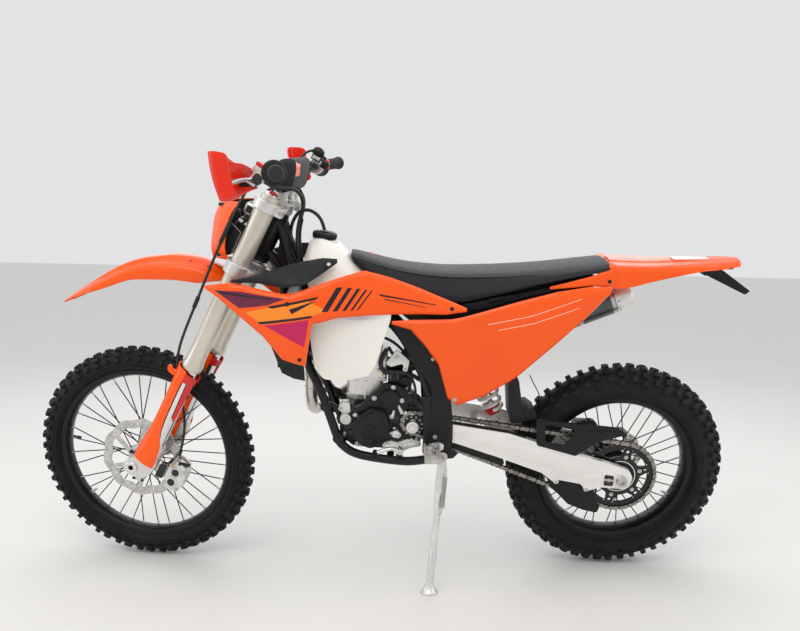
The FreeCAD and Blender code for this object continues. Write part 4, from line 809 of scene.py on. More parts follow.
def tyre(name, node, big, crown, half, bead_y, bead_r, flange_r, space, body, depth, pitches, rows, wall):
    wide = big - crown
    p = Piece(name, space, body, node, slot=None, sharp=38)
    p.use(rubber.m)
    # carcass: an arc under the blocks, then the side wall down to the bead
    prof = []
    deep = lambda a: depth * (1.0 - 0.35 * abs(math.sin(a)) ** 2)
    for k in range(-12, 13):
        a = rad(84.0 * k / 12)
        r = crown - deep(a)
        prof.append((wide + r * math.cos(a), r * math.sin(a)))
    side = [(wide - 5, half - 2.2), (flange_r + 26, half * 0.985 - 1.2), (flange_r + 16, half * 0.94), (flange_r + 12.5, half * 0.93 - 0.6),
            (flange_r + 11, half * 0.915), (flange_r + 5, bead_y + 7.5), (flange_r + 2.2, bead_y + 5.5), (flange_r + 0.9, bead_y + 2), (flange_r - 2, bead_y - 1), (bead_r + 1, bead_y - 3)]
    inner = [(bead_r + 1, bead_y - 8), (wide - 10, half - 12), (wide + crown * 0.55, 0)]
    prof = ([(r, -y) for r, y in inner[:2]] + [(r, -y) for r, y in side[::-1]] + prof + side + inner[:2][::-1] + [inner[2]])
    p.lathe(prof, n=144, at=LAY, closed_profile=True)
    # raised ribs on the side wall
    for s in (1, -1):
        for r0, y0 in ((flange_r + 19, half * 0.95), (wide - 9, half - 2.4)):
            ring = [(r0 - 1.3, s * (y0 - 0.8)), (r0 - 0.5, s * (y0 + 0.9)), (r0 + 0.5, s * (y0 + 0.9)), (r0 + 1.3, s * (y0 - 0.8))]
            p.lathe(ring, n=144, at=LAY, closed_profile=True)

    def point(theta, a, r):
        rr, y = wide + r * math.cos(a), r * math.sin(a)
        return Vector((rr * math.cos(theta), y, rr * math.sin(theta)))
    step = 2 * math.pi / pitches
    rng = np.random.RandomState(7)
    p.use(knob_tip.m)
    for i in range(pitches):
        t0 = step * i
        for (a_mid, a_w, long_, shift, lift, lean_) in rows[i % len(rows)]:
            for s in ((1, -1) if a_mid > 0.5 else (1,)):
                am, aw = rad(a_mid) * s, rad(a_w)
                rim = big if abs(a_mid) < 30 else wide + crown * math.cos(rad(a_mid))
                dt = long_ / big
                th = t0 + shift * step
                base_r = crown - deep(am) - 1.2
                tip_r = crown - 0.35 - lift
                grid = []
                taper = 0.88
                twist = lean_ * s
                loops = []
                for r, k in ((base_r, 1.12), (crown - deep(am) + 1.6, 1.0), (tip_r, taper)):
                    loop = []
                    for ca, ct in ((-1, -1), (0, -1.0), (1, -1), (1, 1), (0, 1.0), (-1, 1)):
                        loop.append(point(th + ct * dt / 2 * k + ca * twist * dt * 0.22, am + ca * aw / 2 * k, r))
                    loops.append(loop)
                tmp = bmesh.new()
                vs = [[tmp.verts.new(q) for q in l] for l in loops]
                for r0, r1 in zip(vs[:-1], vs[1:]):
                    for k in range(6):
                        tmp.faces.new((r0[k], r0[(k + 1) % 6], r1[(k + 1) % 6], r1[k]))
                top = vs[-1]
                tmp.faces.new((top[0], top[1], top[4], top[5]))
                tmp.faces.new((top[1], top[2], top[3], top[4]))
                p.knobs.append(tmp) if hasattr(p, "knobs") else None
                edges = [e for e in tmp.edges if len(e.link_faces) == 2 and all(v in top for v in e.verts) and e.calc_face_angle(0) > rad(40)]
                bmesh.ops.bevel(tmp, geom=edges, offset=1.1, segments=1, affect='EDGES', clamp_overlap=True)
                p.add(tmp)
    return p.done()


front_rows = [
    [(15, 21, 15, 0.0, 0, 0.0), (47, 20, 17, 0.12, 0, 0.2), (73, 18, 20, 0.0, 0, 0.1)],
    [(0, 20, 15, 0.0, 0, 0.0), (33, 19, 15, 0.0, 0, 0.25), (70, 15, 15, 0.0, 0.4, -0.1)],
]
rear_rows = [
    [(0, 17, 17, 0.0, 0, 0.0), (26, 17, 17, 0.0, 0, 0.1), (56, 15, 19, 0.1, 0, 0.1)],
    [(13, 17, 17, 0.0, 0, 0.0), (41, 16, 17, 0.0, 0, 0.15), (68, 14, 20, 0.05, 0, 0.05)],
]
tyre("front_tyre_treaded", "front_tyre", R_FRONT, RC_F, RC_F, 23.2, 267.4, 279.0, FRONT, "front_wheel", 12.0, 56, front_rows, 6)
tyre("rear_tyre_treaded", "rear_tyre", R_REAR, RC_R, RC_R, 31.7, 228.8, 241.0, REAR, "rear_wheel", 14.0, 54, rear_rows, 7)


def rim(name, node, pts, space, body, spoke_r, spoke_y, n=36, stem=None, lock=None):
    p = Piece(name, space, body, node, sharp=30)
    p.use(rim_black.m)
    full = [(r, -y) for r, y in pts] + [(r, y) for r, y in pts[::-1]]
    p.lathe(full, n=180, at=LAY, closed_profile=True)
    # nipples, and the raised seat round each
    for i in range(n):
        side = 1 if i % 2 else -1
        a = 2 * math.pi * i / n
        q = Vector((spoke_r * math.cos(a), side * spoke_y, spoke_r * math.sin(a)))
        lead = 1 if (i // 2) % 2 else -1
        hub_a = a - lead * rad(62.0)
        hub_r = 28.5 if space is FRONT else 35.0
        hub_y = 31.5 if space is FRONT else 34.5
        h = Vector((hub_r * math.cos(hub_a), side * hub_y, hub_r * math.sin(hub_a)))
        d = (h - q).normalized()
        p.use(rim_black.m)
        p.rod(q - d * 3.5, q + d * 1.2, 4.6, 3.8, n=12)
        p.use(nipple_mat.m)
        p.rod(q - d * 1, q + d * 12.0, 2.9, 2.5, n=8)
        p.rod(q + d * 12.0, q + d * 13.6, 2.5, 1.9, n=8)
    if stem is not None:
        c, s = math.cos(rad(stem)), math.sin(rad(stem))
        p.use(black_gloss.m)
        r0 = pts[0][0] + 2
        p.rod((r0 * c, 0, r0 * s), ((r0 - 32) * c, 0, (r0 - 32) * s), 3.4, n=14, bevel=1)
        p.rod(((r0 - 20) * c, 0, (r0 - 20) * s), ((r0 - 34) * c, 0, (r0 - 34) * s), 4.6, n=14, bevel=1.4)
        p.use(bolt_mat.m)
        p.rod(((r0 - 3) * c, 0, (r0 - 3) * s), ((r0 - 7) * c, 0, (r0 - 7) * s), 6.0, n=6)
    if lock is not None:
        c, s = math.cos(rad(lock)), math.sin(rad(lock))
        r0 = pts[0][0] + 2
        p.use(bolt_mat.m)
        p.rod((r0 * c, 0, r0 * s), ((r0 - 26) * c, 0, (r0 - 26) * s), 3.6, n=12, bevel=0.6)
        p.rod(((r0 - 2) * c, 0, (r0 - 2) * s), ((r0 - 8) * c, 0, (r0 - 8) * s), 7.2, n=6)
    return p.done()


rim("front_rim_drilled", "front_rim", [(257.4, 3), (257.8, 9), (259.6, 15), (262.4, 20), (265.6, 24), (270, 25.6), (276, 26.1), (278.2, 26.2), (279, 25.2), (278.4, 23.7),
    (272, 23.4), (268.4, 21), (266.4, 15), (262, 11), (261, 3)], FRONT, "front_wheel", 258.0, 6.0, stem=-18, lock=-64)
rim("rear_rim_drilled", "rear_rim", [(216.5, 3), (217.0, 10), (219.2, 19), (222.6, 27), (226, 32.5), (231, 34), (238, 34.6), (240.2, 34.7), (241, 33.4), (240.2, 32),
    (232, 31.8), (229.4, 28), (227.4, 21), (222, 15), (220.6, 3)], REAR, "rear_wheel", 217.0, 8.0, stem=-12, lock=-152)


def hub(name, node, space, body, hub_r, hub_y, rim_r, rim_y, turned, flange, n=36, core=None, carrier=None):
    p = Piece(name, space, body, node, sharp=32)
    p.use(core.m)
    p.lathe(turned, n=72, at=LAY, closed_profile=True)
    # flanges: a scalloped plate each side
    for s in (1, -1):
        fy, fr, fw = flange
        out = []
        for k in range(108):
            a = 2 * math.pi * k / 108
            out.append(((fr + 1.6 * math.cos(18 * a)) * math.cos(a), (fr + 1.6 * math.cos(18 * a)) * math.sin(a)))
        holes = [circle2(hub_r * math.cos(2 * math.pi * (j + 0.25) / 18), hub_r * math.sin(2 * math.pi * (j + 0.25) / 18), 2.0, 10) for j in range(18)]
        y0, y1 = sorted((s * (fy - fw / 2), s * (fy + fw / 2)))
        p.prism(out, y0, y1, holes=holes, bevel=0.6, seg=1)
    p.use(spoke_mat.m)
    for i in range(n):
        side = 1 if i % 2 else -1
        lead = 1 if (i // 2) % 2 else -1
        a = 2 * math.pi * i / n
        hub_a = a - lead * rad(62.0)
        y_h = side * (hub_y + (1.9 if lead > 0 else -1.9))
        s0 = Vector((hub_r * math.cos(hub_a), y_h, hub_r * math.sin(hub_a)))
        e = Vector((rim_r * math.cos(a), side * rim_y, rim_r * math.sin(a)))
        d = (e - s0).normalized()
        # bent head, then the straight run
        into = Vector((0, -side * (1 if lead > 0 else -1), 0))
        pts = [s0 + into * 3.4, s0 + into * 1.2, s0 + d * 2.4, s0 + d * 7, e - d * 8]
        p.tube(pts, 1.75, n=8)
        p.rod(s0 + into * 3.2, s0 + into * 4.8, 3.1, 2.4, n=10)
    return p.done()


hub("front_hub_laced", "front_hub", FRONT, "front_wheel", 28.5, 31.5, 257.4, 6,
    [(13.1, -38), (20, -38), (21.5, -36), (22, -33.5), (20.5, -26), (18.6, -16), (18.0, 0), (18.6, 16), (20.5, 26), (22, 33.5), (30, 36.0), (39.2, 36.4), (40, 37.2), (40, 42.6), (39.2, 43.6),
     (31.6, 44), (31.4, 49), (30.6, 50), (13.1, 50)],
    (31.5, 33.5, 6.2), core=rim_black)
hub("rear_hub_laced", "rear_hub", REAR, "rear_wheel", 35, 34.5, 216.4, 8,
    [(12.6, -66), (26, -66), (27, -64.5), (35, -62), (45.4, -61.4), (46, -60.6), (46, -55.4), (45, -54.4), (36, -53.6), (34, -44), (30, -38), (26.5, -26), (25.4, 0), (26.5, 26), (30, 38),
     (34, 46), (37, 58), (44, 63.4), (51.2, 64), (52, 64.8), (52, 73.4), (51.2, 74.2), (46, 74.4), (45.8, 79.4), (44.8, 80), (36, 80), (34, 77.6), (26, 76), (25, 72), (12.6, 72)],
    (34.5, 40.5, 6.6), core=rim_black)


def wave_disc(name, node, space, body, y, r_out, r_in, band, waves, arms, thick=3.5, bolt_r=None, bolt_side=1):
    """Wavy brake disc: outer ring with slots, swept arms, inner ring with bolts."""
    p = Piece(name, space, body, node, sharp=30)
    p.use(disc_mat.m)
    N = 240
    amp = 3.2
    out = []
    for k in range(N):
        a = 2 * math.pi * k / N
        r = r_out - amp + amp * math.cos(waves * a)
        out.append((r * math.cos(a), r * math.sin(a)))
    holes = [circle2(0, 0, r_in, 64)]
    # windows between the arms
    r1 = r_out - band - amp
    r0 = r_in + 14
    for j in range(arms):
        a0 = 2 * math.pi * j / arms
        w = 2 * math.pi / arms
        gap_o, gap_i = 7.5 / r1, 8.0 / r0
        pts = []
        m = 14
        for k in range(m + 1):
            a = a0 + gap_o + (w - 2 * gap_o) * k / m + 0.22
            r = r1 - 3.5 + 3.5 * math.cos(waves * a)
            pts.append((r * math.cos(a), r * math.sin(a)))
        for k in range(6, -1, -1):
            a = a0 + gap_i + (w - 2 * gap_i) * k / 6
            pts.append((r0 * math.cos(a), r0 * math.sin(a)))
        holes.append(rounded(pts, [7.0 if i in (0, m, m + 1, m + 7) else 0 for i in range(len(pts))], 4))
    # vents through the braking band
    for j in range(waves):
        a = 2 * math.pi * (j + 0.5) / waves
        rb = r_out - band / 2 - amp
        for dr, da, rr in ((-4.5, -0.085, 2.6), (3.0, 0.0, 2.9), (-4.5, 0.085, 2.6)):
            holes.append(circle2((rb + dr) * math.cos(a + da), (rb + dr) * math.sin(a + da), rr, 12))
    if bolt_r:
        for j in range(arms):
            a = 2 * math.pi * j / arms + math.pi / arms * 0.0
            holes.append(circle2(bolt_r * math.cos(a), bolt_r * math.sin(a), 3.0, 14))
    p.prism(out, y - thick / 2, y + thick / 2, holes=holes, bevel=0.35, seg=1)
    p.use(dark_bolt.m)
    for j in range(arms):
        a = 2 * math.pi * j / arms
        rr = bolt_r or r_in + 7
        p.bolt((rr * math.cos(a), y + bolt_side * thick / 2, rr * math.sin(a)), (0, bolt_side, 0), 6.2, 3.4, "torx")
    return p.done()


wave_disc("front_disc_wave", "front_disc", FRONT, "front_wheel", 46.0, 130.0, 32.0, 23, 10, 6, bolt_r=38.5)
wave_disc("rear_disc_wave", "rear_disc", REAR, "rear_wheel", -64.0, 110.0, 36.3, 22, 10, 6, bolt_r=42, bolt_side=-1)

# --------------------------------------------------- chain and the sprockets
TEETH, SMALL, LINK = 44, 13, 15.875
R_BIG = LINK / 2 / math.sin(math.pi / TEETH)
R_SMALL = LINK / 2 / math.sin(math.pi / SMALL)
CY = 78.0
SMALL_C = Vector((-98.0, 0, 510.0))
BIG_C = Vector((-HALF, 0, ZR))


def toothed(n, pitch_r, roller=5.1, start=0.0, depth=4.4):
    """Sprocket edge: a round seat for each roller, and a tapered tooth between."""
    pts = []
    for i in range(n):
        a = start + 2 * math.pi * i / n
        w = math.pi / n
        for f, r in ((0.0, pitch_r - roller), (0.22, pitch_r - roller * 0.90), (0.42, pitch_r - roller * 0.45), (0.62, pitch_r + 0.3),
                     (0.86, pitch_r + depth), (1.14, pitch_r + depth), (1.38, pitch_r + 0.3), (1.58, pitch_r - roller * 0.45), (1.78, pitch_r - roller * 0.90)):
            t = a + w * f
            pts.append((r * math.cos(t), r * math.sin(t)))
    return pts


# the run of the chain, as a function of distance
dvec = SMALL_C - BIG_C
span = dvec.length
lean_a = math.atan2(dvec.z, dvec.x)
alpha = math.acos((R_SMALL - R_BIG) / span)


def on_ring(c, r, ang):
    return Vector((c.x + r * math.cos(ang), 0, c.z + r * math.sin(ang)))


# offsets as seen from the big sprocket towards the small one
th = math.acos((R_BIG - R_SMALL) / span)
up_b, up_s = on_ring(BIG_C, R_BIG, lean_a + th), on_ring(SMALL_C, R_SMALL, lean_a + th)
lo_b, lo_s = on_ring(BIG_C, R_BIG, lean_a - th), on_ring(SMALL_C, R_SMALL, lean_a - th)
run = (up_b - up_s).length
wrap_b = 2 * math.pi - 2 * th
wrap_s = 2 * th
total = 2 * run + R_BIG * wrap_b + R_SMALL * wrap_s
links = int(round(total / LINK / 2.0)) * 2
PER = total / links


def chain_at(s):
    s = s % total
    if s < run:                                     # top run, forwards
        return up_b + (up_s - up_b) * (s / run)
    s -= run
    if s < R_SMALL * wrap_s:                        # round the front sprocket
        return on_ring(SMALL_C, R_SMALL, lean_a + th - s / R_SMALL)
    s -= R_SMALL * wrap_s
    if s < run:                                     # bottom run, back
        return lo_s + (lo_b - lo_s) * (s / run)
    s -= run
    return on_ring(BIG_C, R_BIG, lean_a - th - s / R_BIG)


start_a = lean_a + th
cp = Piece("chain_links", BIKE, "chassis", "chain", sharp=34)
for i in range(links):
    a, b = chain_at(i * PER), chain_at((i + 1) * PER)
    outer = i % 2 == 0
    d = b - a
    ang = math.atan2(d.z, d.x)
    L = d.length
    shape = []
    hw, waist = 6.6, 5.0
    for k in range(9):
        t = math.pi / 2 + math.pi * k / 8
        shape.append((hw * math.cos(t), hw * math.sin(t)))
    shape += [(L * 0.32, -waist), (L * 0.68, -waist)]
    for k in range(9):
        t = -math.pi / 2 + math.pi * k / 8
        shape.append((L + hw * math.cos(t), hw * math.sin(t)))
    shape += [(L * 0.68, waist), (L * 0.32, waist)]
    place = Matrix.Translation(a) @ Matrix.Rotation(-ang, 4, 'Y')
    levels = ((5.9, 7.4),) if outer else ((3.9, 5.4),)
    cp.use(chain_mat.m if outer else chain_dark.m)
    for l0, l1 in levels:
        for s in (1, -1):
            y0, y1 = sorted((CY + s * l0, CY + s * l1))
            cp.prism(shape, y0, y1, bevel=0.0, at=place)
    cp.use(chain_dark.m)
    cp.rod(a + Vector((0, CY - 3.9, 0)), a + Vector((0, CY + 3.9, 0)), 5.0, n=10)
    cp.use(chain_mat.m)
    cp.rod(a + Vector((0, CY - 8.0, 0)), a + Vector((0, CY + 8.0, 0)), 2.6, n=8)
cp.done()

sk = Piece("rear_sprocket_toothed", REAR, "rear_wheel", "rear_sprocket", sharp=30)
sk.use(black_gloss.m)
holes = [circle2(0, 0, 46.4, 72)]
for j in range(6):
    a = 2 * math.pi * j / 6 + 0.24
    w = math.pi / 6 - 0.13
    pts = [(88.5 * math.cos(a + w * t), 88.5 * math.sin(a + w * t)) for t in np.linspace(-1, 1, 9)]
    pts += [(66.0 * math.cos(a + w * 0.62 * t), 66.0 * math.sin(a + w * 0.62 * t)) for t in np.linspace(1, -1, 5)]
    holes.append(rounded(pts, [7 if i in (0, 8, 9, 13) else 0 for i in range(len(pts))], 4))
    b = a + math.pi / 6
    holes.append(circle2(84 * math.cos(b), 84 * math.sin(b), 5.0, 14))
    for sg in (-1, 1):
        holes.append(circle2(92.5 * math.cos(b + sg * 0.16), 92.5 * math.sin(b + sg * 0.16), 2.6, 12))
tooth_start = start_a
sk.prism(toothed(TEETH, R_BIG, start=tooth_start), CY - 2.6, CY + 2.6, holes=holes, bevel=0.5, seg=1, limit=40)
sk.use(machined.m)
sk.lathe([(49.2, CY + 2.5), (52.0, CY + 2.5), (52.0, CY + 3.1), (49.2, CY + 3.1)], n=72, at=LAY, closed_profile=True)
for j in range(6):
    a = 2 * math.pi * j / 6 + 0.24 + math.pi / 6
    sk.use(bolt_mat.m)
    sk.bolt((66 * math.cos(a), CY + 2.6, 66 * math.sin(a)), (0, 1, 0), 5.4, 4.6, "hex")
sk.done()

fs = Piece("front_sprocket_toothed", BIKE, "chassis", "front_sprocket", sharp=30)
fs.use(dark_cast.m)
fs.prism([(SMALL_C.x + x, SMALL_C.z + z) for x, z in toothed(SMALL, R_SMALL, start=lean_a + th - 0.0)], CY - 3, CY + 3, bevel=0.5, seg=1, limit=40)
fs.rod((SMALL_C.x, 66.4, SMALL_C.z), (SMALL_C.x, CY + 6, SMALL_C.z), 13, n=28, bevel=1.2)
fs.use(bolt_mat.m)
fs.bolt((SMALL_C.x, CY + 6, SMALL_C.z), (0, 1, 0), 9, 5, "hex")
fs.done()

# ----------------------------------------------------------------- bodywork
def column(stations, x, smooth=False):
    """Station values at x: straight between stations, or smoothed."""
    xs = [s[0] for s in stations][::-1]
    ys = np.array([s[1:] for s in stations][::-1], float)
    if smooth:
        return pchip(xs, ys, [x])[0]
    return np.array([np.interp(x, xs, ys[:, k]) for k in range(ys.shape[1])])


def xs_of(stations, step):
    """Every station, and even steps between them."""
    out = []
    for a, b in zip(stations[:-1], stations[1:]):
        n = max(1, int(round(abs(a[0] - b[0]) / step)))
        out += [a[0] + (b[0] - a[0]) * k / n for k in range(n)]
    return out + [stations[-1][0]]


def flank(stations, step=9.0, rows=12, top=(9, 7), bottom=(7, 5), bulge=0.0, fold=None, ysmooth=True):
    """Grid of a side panel: rolled edges at top and bottom, an optional fold
    line z(x) with a depth, and a bulge between."""
    grid = []
    for x in xs_of(stations, step):
        z0, z1 = column(stations, x)[:2]
        y0, y1 = column(stations, x, ysmooth)[2:]
        h = z1 - z0
        tb, tt = min(bottom[0], h * 0.3), min(top[0], h * 0.3)
        zs = [z0, z0 + tb * 0.3, z0 + tb * 0.65, z0 + tb]
        zs += [z0 + tb + (h - tb - tt) * k / (rows + 1.0) for k in range(1, rows + 1)]
        zs += [z1 - tt, z1 - tt * 0.65, z1 - tt * 0.3, z1]
        row = []
        for z in zs:
            f = (z - z0) / h if h > 1e-6 else 0.5
            y = y0 + (y1 - y0) * f + bulge * 4 * f * (1 - f) * min(1.0, h / 120.0)
            kt = max(0.0, 1 - (z1 - z) / max(tt, 0.01))
            kb = max(0.0, 1 - (z - z0) / max(tb, 0.01))
            y -= top[1] * kt ** 1.5 * min(1.0, h / 30.0) + bottom[1] * kb ** 1.5 * min(1.0, h / 30.0)
            if fold is not None:
                for fz, depth, reach in fold:
                    zc = np.interp(x, fz[0], fz[1])
                    y += depth * max(0.0, 1 - abs(z - zc) / reach)
            row.append((x, y, z))
        grid.append(row)
    return np.array(grid)


def both_sides(p, grid, thick, **kw):
    p.skin(grid, thick, inward=lambda c: Vector((0, -1, 0)), both=True, **kw)


# shroud graphics: slanted bars and long bands, in the bike's side view
shroud_m = M("shroud_orange", ORANGE, 0.25, spec=0.35, coat=0.12, coat_rough=0.05).vary(7, 0.04).roughen(28, 0.17, 0.28)
WINE, MAGENTA, AMBER, INK = srgb(106, 26, 62), srgb(196, 14, 84), srgb(255, 142, 30), srgb(28, 18, 24)
cur = shroud_m.basesock
cur = paint(shroud_m, cur, [[(458, 936), (385, 937), (262, 920), (312, 902), (390, 890)]], WINE)
cur = paint(shroud_m, cur, [[(374, 879), (334, 853), (196, 872), (150, 884), (200, 912), (312, 896)]], AMBER)
cur = paint(shroud_m, cur, [[(322, 844), (200, 861), (214, 782)]], MAGENTA)
cur = paint(shroud_m, cur, [[(340, 854), (192, 873), (192, 866), (334, 847)], [(314, 898), (172, 925), (180, 917), (300, 893)], [(178, 915), (253, 891), (246, 878)]], INK)
for k, (x0, w) in enumerate(((166, 17), (136, 13), (110, 10), (88, 7), (71, 5))):
    cur = paint(shroud_m, cur, [[(x0, 882), (x0 - w, 882), (x0 - w - 40, 946 - k * 3), (x0 - 40, 946 - k * 3)]], INK)
cur = paint(shroud_m, cur, [[(446, 934), (300, 921), (300, 917), (444, 928)], [(10, 925), (-150, 896), (-152, 893), (6, 919)],
                            [(-4, 913), (-120, 889), (-122, 887), (-8, 909)]], INK)
shroud_m.base(cur)

SH = [(486, 938, 946, 183, 184), (446, 908, 952, 190, 196), (410, 878, 958, 198, 204), (370, 845, 952, 204, 210), (330, 812, 944, 210, 214),
      (276, 744, 932, 212, 212), (246, 734, 932, 212, 210), (212, 724, 942, 208, 204), (192, 846, 950, 206, 198),
      (120, 862, 970, 188, 168), (50, 864, 986, 170, 144), (-20, 866, 968, 158, 140), (-100, 867, 940, 150, 138),
      (-180, 866, 908, 146, 138), (-238, 876, 886, 142, 140)]
p = Piece("shrouds_painted", BIKE, "chassis", "shrouds", sharp=24)
p.use(shroud_m.m)
fold = [(([-238, -100, 50, 192, 330, 486], [881, 896, 902, 892, 872, 942]), 3.0, 46)]
g = flank(SH, 8.0, 16, top=(11, 9), bottom=(9, 6), bulge=1.5, fold=fold)
both_sides(p, g, 3.2, bevel=0.5, seg=1, limit=50)
p.use(dark_bolt.m)
for x, z, y in ((258, 906, 213.5), (228, 746, 209), (-196, 884, 144)):
    p.bolt((x, y, z), (0, 1, 0), 6.2, 2.6, "torx", both=True)
p.done()

US = [(410, 960, 966, 205, 205), (343, 960, 980, 205, 196), (270, 948, 1002, 204, 172), (212, 954, 1010, 194, 140), (168, 976, 1014, 150, 116),
      (128, 1000, 1010, 112, 104)]
p = Piece("upper_spoilers_moulded", BIKE, "chassis", "upper_spoilers", sharp=26)
p.use(blackp.m)
g = flank(US, 7.0, 9, top=(7, 3), bottom=(6, 3), bulge=4.0)
both_sides(p, g, 3.4, bevel=0.5, seg=1, limit=50)
p.use(bolt_mat.m)
p.bolt((150, 138, 1001), (0, 0.55, 0.83), 6.0, 3.2, "torx", both=True)
p.done()

# fuel tank: two side lobes under a saddle with a raised neck
p = Piece("fuel_tank_moulded", BIKE, "chassis", "fuel_tank", sharp=60)
p.use(white_tank.m)
lobe = rounded([(209, 930), (204, 800), (191, 702), (166, 669), (112, 664), (38, 680), (15, 716), (-9, 800), (-25, 852), (-27, 908), (60, 930)],
               [20, 60, 34, 24, 60, 24, 40, 80, 40, 16, 30], 6)
p.prism(lobe, 78, 152, bevel=15, seg=5, limit=40, both=True)
TANK = [(224, 1018, 36, 84, 985, 968, 978), (206, 1050, 46, 112, 960, 900, 968), (180, 1056, 50, 134, 920, 850, 955), (140, 1040, 51, 150, 880, 840, 930),
        (100, 1004, 54, 152, 860, 830, 910), (40, 958, 60, 150, 850, 830, 880), (0, 930, 62, 148, 850, 836, 862), (-24, 914, 62, 140, 870, 856, 850)]
xs = [t[0] for t in TANK][::-1]
vals = np.array([t[1:] for t in TANK][::-1], float)
loops = []
X = np.linspace(224, -24, 42)
for i, (x, v) in enumerate(zip(X, pchip(xs, vals, X))):
    top, tw, bw, bz, low, ceil = v
    half = [(0, top), (tw * 0.55, top - 1.5), (tw * 0.95, top - 9), ((tw + bw) / 2 + 6, (top + bz) / 2 + 10), (bw - 2, bz + 14), (bw, bz - 4),
            (bw - 5, (bz + low) / 2), (bw - 16, low), (76, low + 6), (70, ceil), (30, ceil + 2), (0, ceil + 2)]
    ring = half + [(-y, z) for y, z in half[1:-1][::-1]]
    ring = catmull([(x, y, z) for y, z in ring], 3, closed=True)
    e = min(i, len(X) - 1 - i)
    c = ring.mean(0)
    k = 1 - 0.10 * max(0.0, (3 - e) / 3.0) ** 2
    loops.append(c + (ring - c) * np.array([1, k, k]))
p.rings(loops)
# neck below the cap
neck = T(172, 0, 1036) @ R(-7, 'Y')
p.lathe([(0, -8), (46, -8), (41, 2), (37, 8), (36, 13), (0, 13)], n=48, at=neck)
p.done()

p = Piece("fuel_cap_ribbed", BIKE, "chassis", "tank_cap", sharp=30)
p.use(blackp.m)
N = 96
loops = []
for r0, z, notch in ((30.0, 0.4, 0), (34.4, 0.6, 0), (35.6, 2.4, 1), (35.9, 5.0, 1), (35.9, 11.5, 1), (35.2, 13.6, 1), (32.6, 15.8, 0.6), (29.6, 16.6, 0)):
    loops.append([((r0 - notch * 1.7 * max(0, math.cos(12 * 2 * math.pi * k / N)) ** 2) * math.cos(2 * math.pi * k / N),
                   (r0 - notch * 1.7 * max(0, math.cos(12 * 2 * math.pi * k / N)) ** 2) * math.sin(2 * math.pi * k / N), z) for k in range(N)])
cap_at = T(172, 0, 1050.5) @ R(-7, 'Y')
p.rings(loops, at=cap_at)
p.lathe([(0, 16.5), (12, 16.5), (13, 18.6), (12, 18.9), (0, 18.9)], n=32, at=cap_at)
for k in range(3):
    a = 2 * math.pi * k / 3 + 0.5
    p.prism(rounded([(13, -4), (29, -2.6), (29, 2.6), (13, 4)], 1.2, 2), 16.2, 18.4, bevel=0.6, seg=1, plane='XY', at=cap_at @ Matrix.Rotation(a, 4, 'Z'))
p.done()

# seat: a taut cover over foam; the top is coloured lighter than the darker skirt, partly for its matte top cover and
# partly as a painted highlight where the top catches the light
SEAT = [(94, 1016, 40, 51, 1004), (80, 1014, 46, 58, 990), (50, 1006, 55, 75, 973), (0, 993, 64, 92, 950), (-60, 981, 72, 105, 930), (-125, 973.5, 78, 118, 908), (-190, 970, 82, 125, 893),
        (-300, 973, 86, 129, 916), (-460, 985, 84, 121, 956), (-560, 997, 79, 110, 976), (-610, 1003, 75, 103, 985), (-640, 1007, 66, 92, 992), (-650, 1004, 56, 80, 996)]
xs = [t[0] for t in SEAT][::-1]
vals = np.array([t[1:] for t in SEAT][::-1], float)
X = np.concatenate([np.linspace(94, 60, 8), np.linspace(52, -600, 84), np.linspace(-608, -650, 12)])
loops = []
for i, (x, v) in enumerate(zip(X, pchip(xs, vals, X))):
    top, tw, bw, low = v
    deep = top - low
    pts = [(0, top), (tw * 0.35, top - 0.3), (tw * 0.68, top - 1.6), (tw * 0.90, top - 4.2 * min(1, deep / 22)), (tw + 2.5, top - min(10.5, deep * 0.45)),
           (tw + (bw - tw) * 0.40, top - 0.33 * deep), (tw + (bw - tw) * 0.78, top - 0.60 * deep), (bw - 1.5, top - 0.82 * deep), (bw - 0.5, low + 1.5), (bw - 4, low), (bw * 0.55, low + min(4, deep * 0.2)), (0, low + min(5, deep * 0.2))]
    ring = pts + [(-y, z) for y, z in pts[1:-1][::-1]]
    loops.append([(x, y, z) for y, z in ring])
p = Piece("seat_padded", BIKE, "chassis", "seat", sharp=50)
tmp = bmesh.new()
rows = [[tmp.verts.new(q) for q in l] for l in loops]
n = len(rows[0])
p.use(seat_top_painted_lighter.m).use(seat_side.m)
for a, b in zip(rows[:-1], rows[1:]):
    for k in range(n):
        f = tmp.faces.new((a[k], a[(k + 1) % n], b[(k + 1) % n], b[k]))
        kk = min(k, n - 1 - k)
        f.material_index = 0 if kk < 4 else 1
for row in (rows[0], rows[-1]):
    f = tmp.faces.new(row)
    f.material_index = 1
p.add(tmp, keep_mi=True)
seat = p.done(sub=1)
# seam piping between the top and the skirt
p = Piece("seat_seams", BIKE, "chassis", sharp=60)
p.use(seat_side.m)
for s in (1, -1):
    line = []
    for x, v in zip(X[2:-1], pchip(xs, vals, X[2:-1])):
        top, tw, bw, low = v
        deep = top - low
        line.append((x, s * (tw + 2.2), top - min(10.5, deep * 0.45) + 0.5))
    p.tube(line, 1.25, n=8)
p.done()

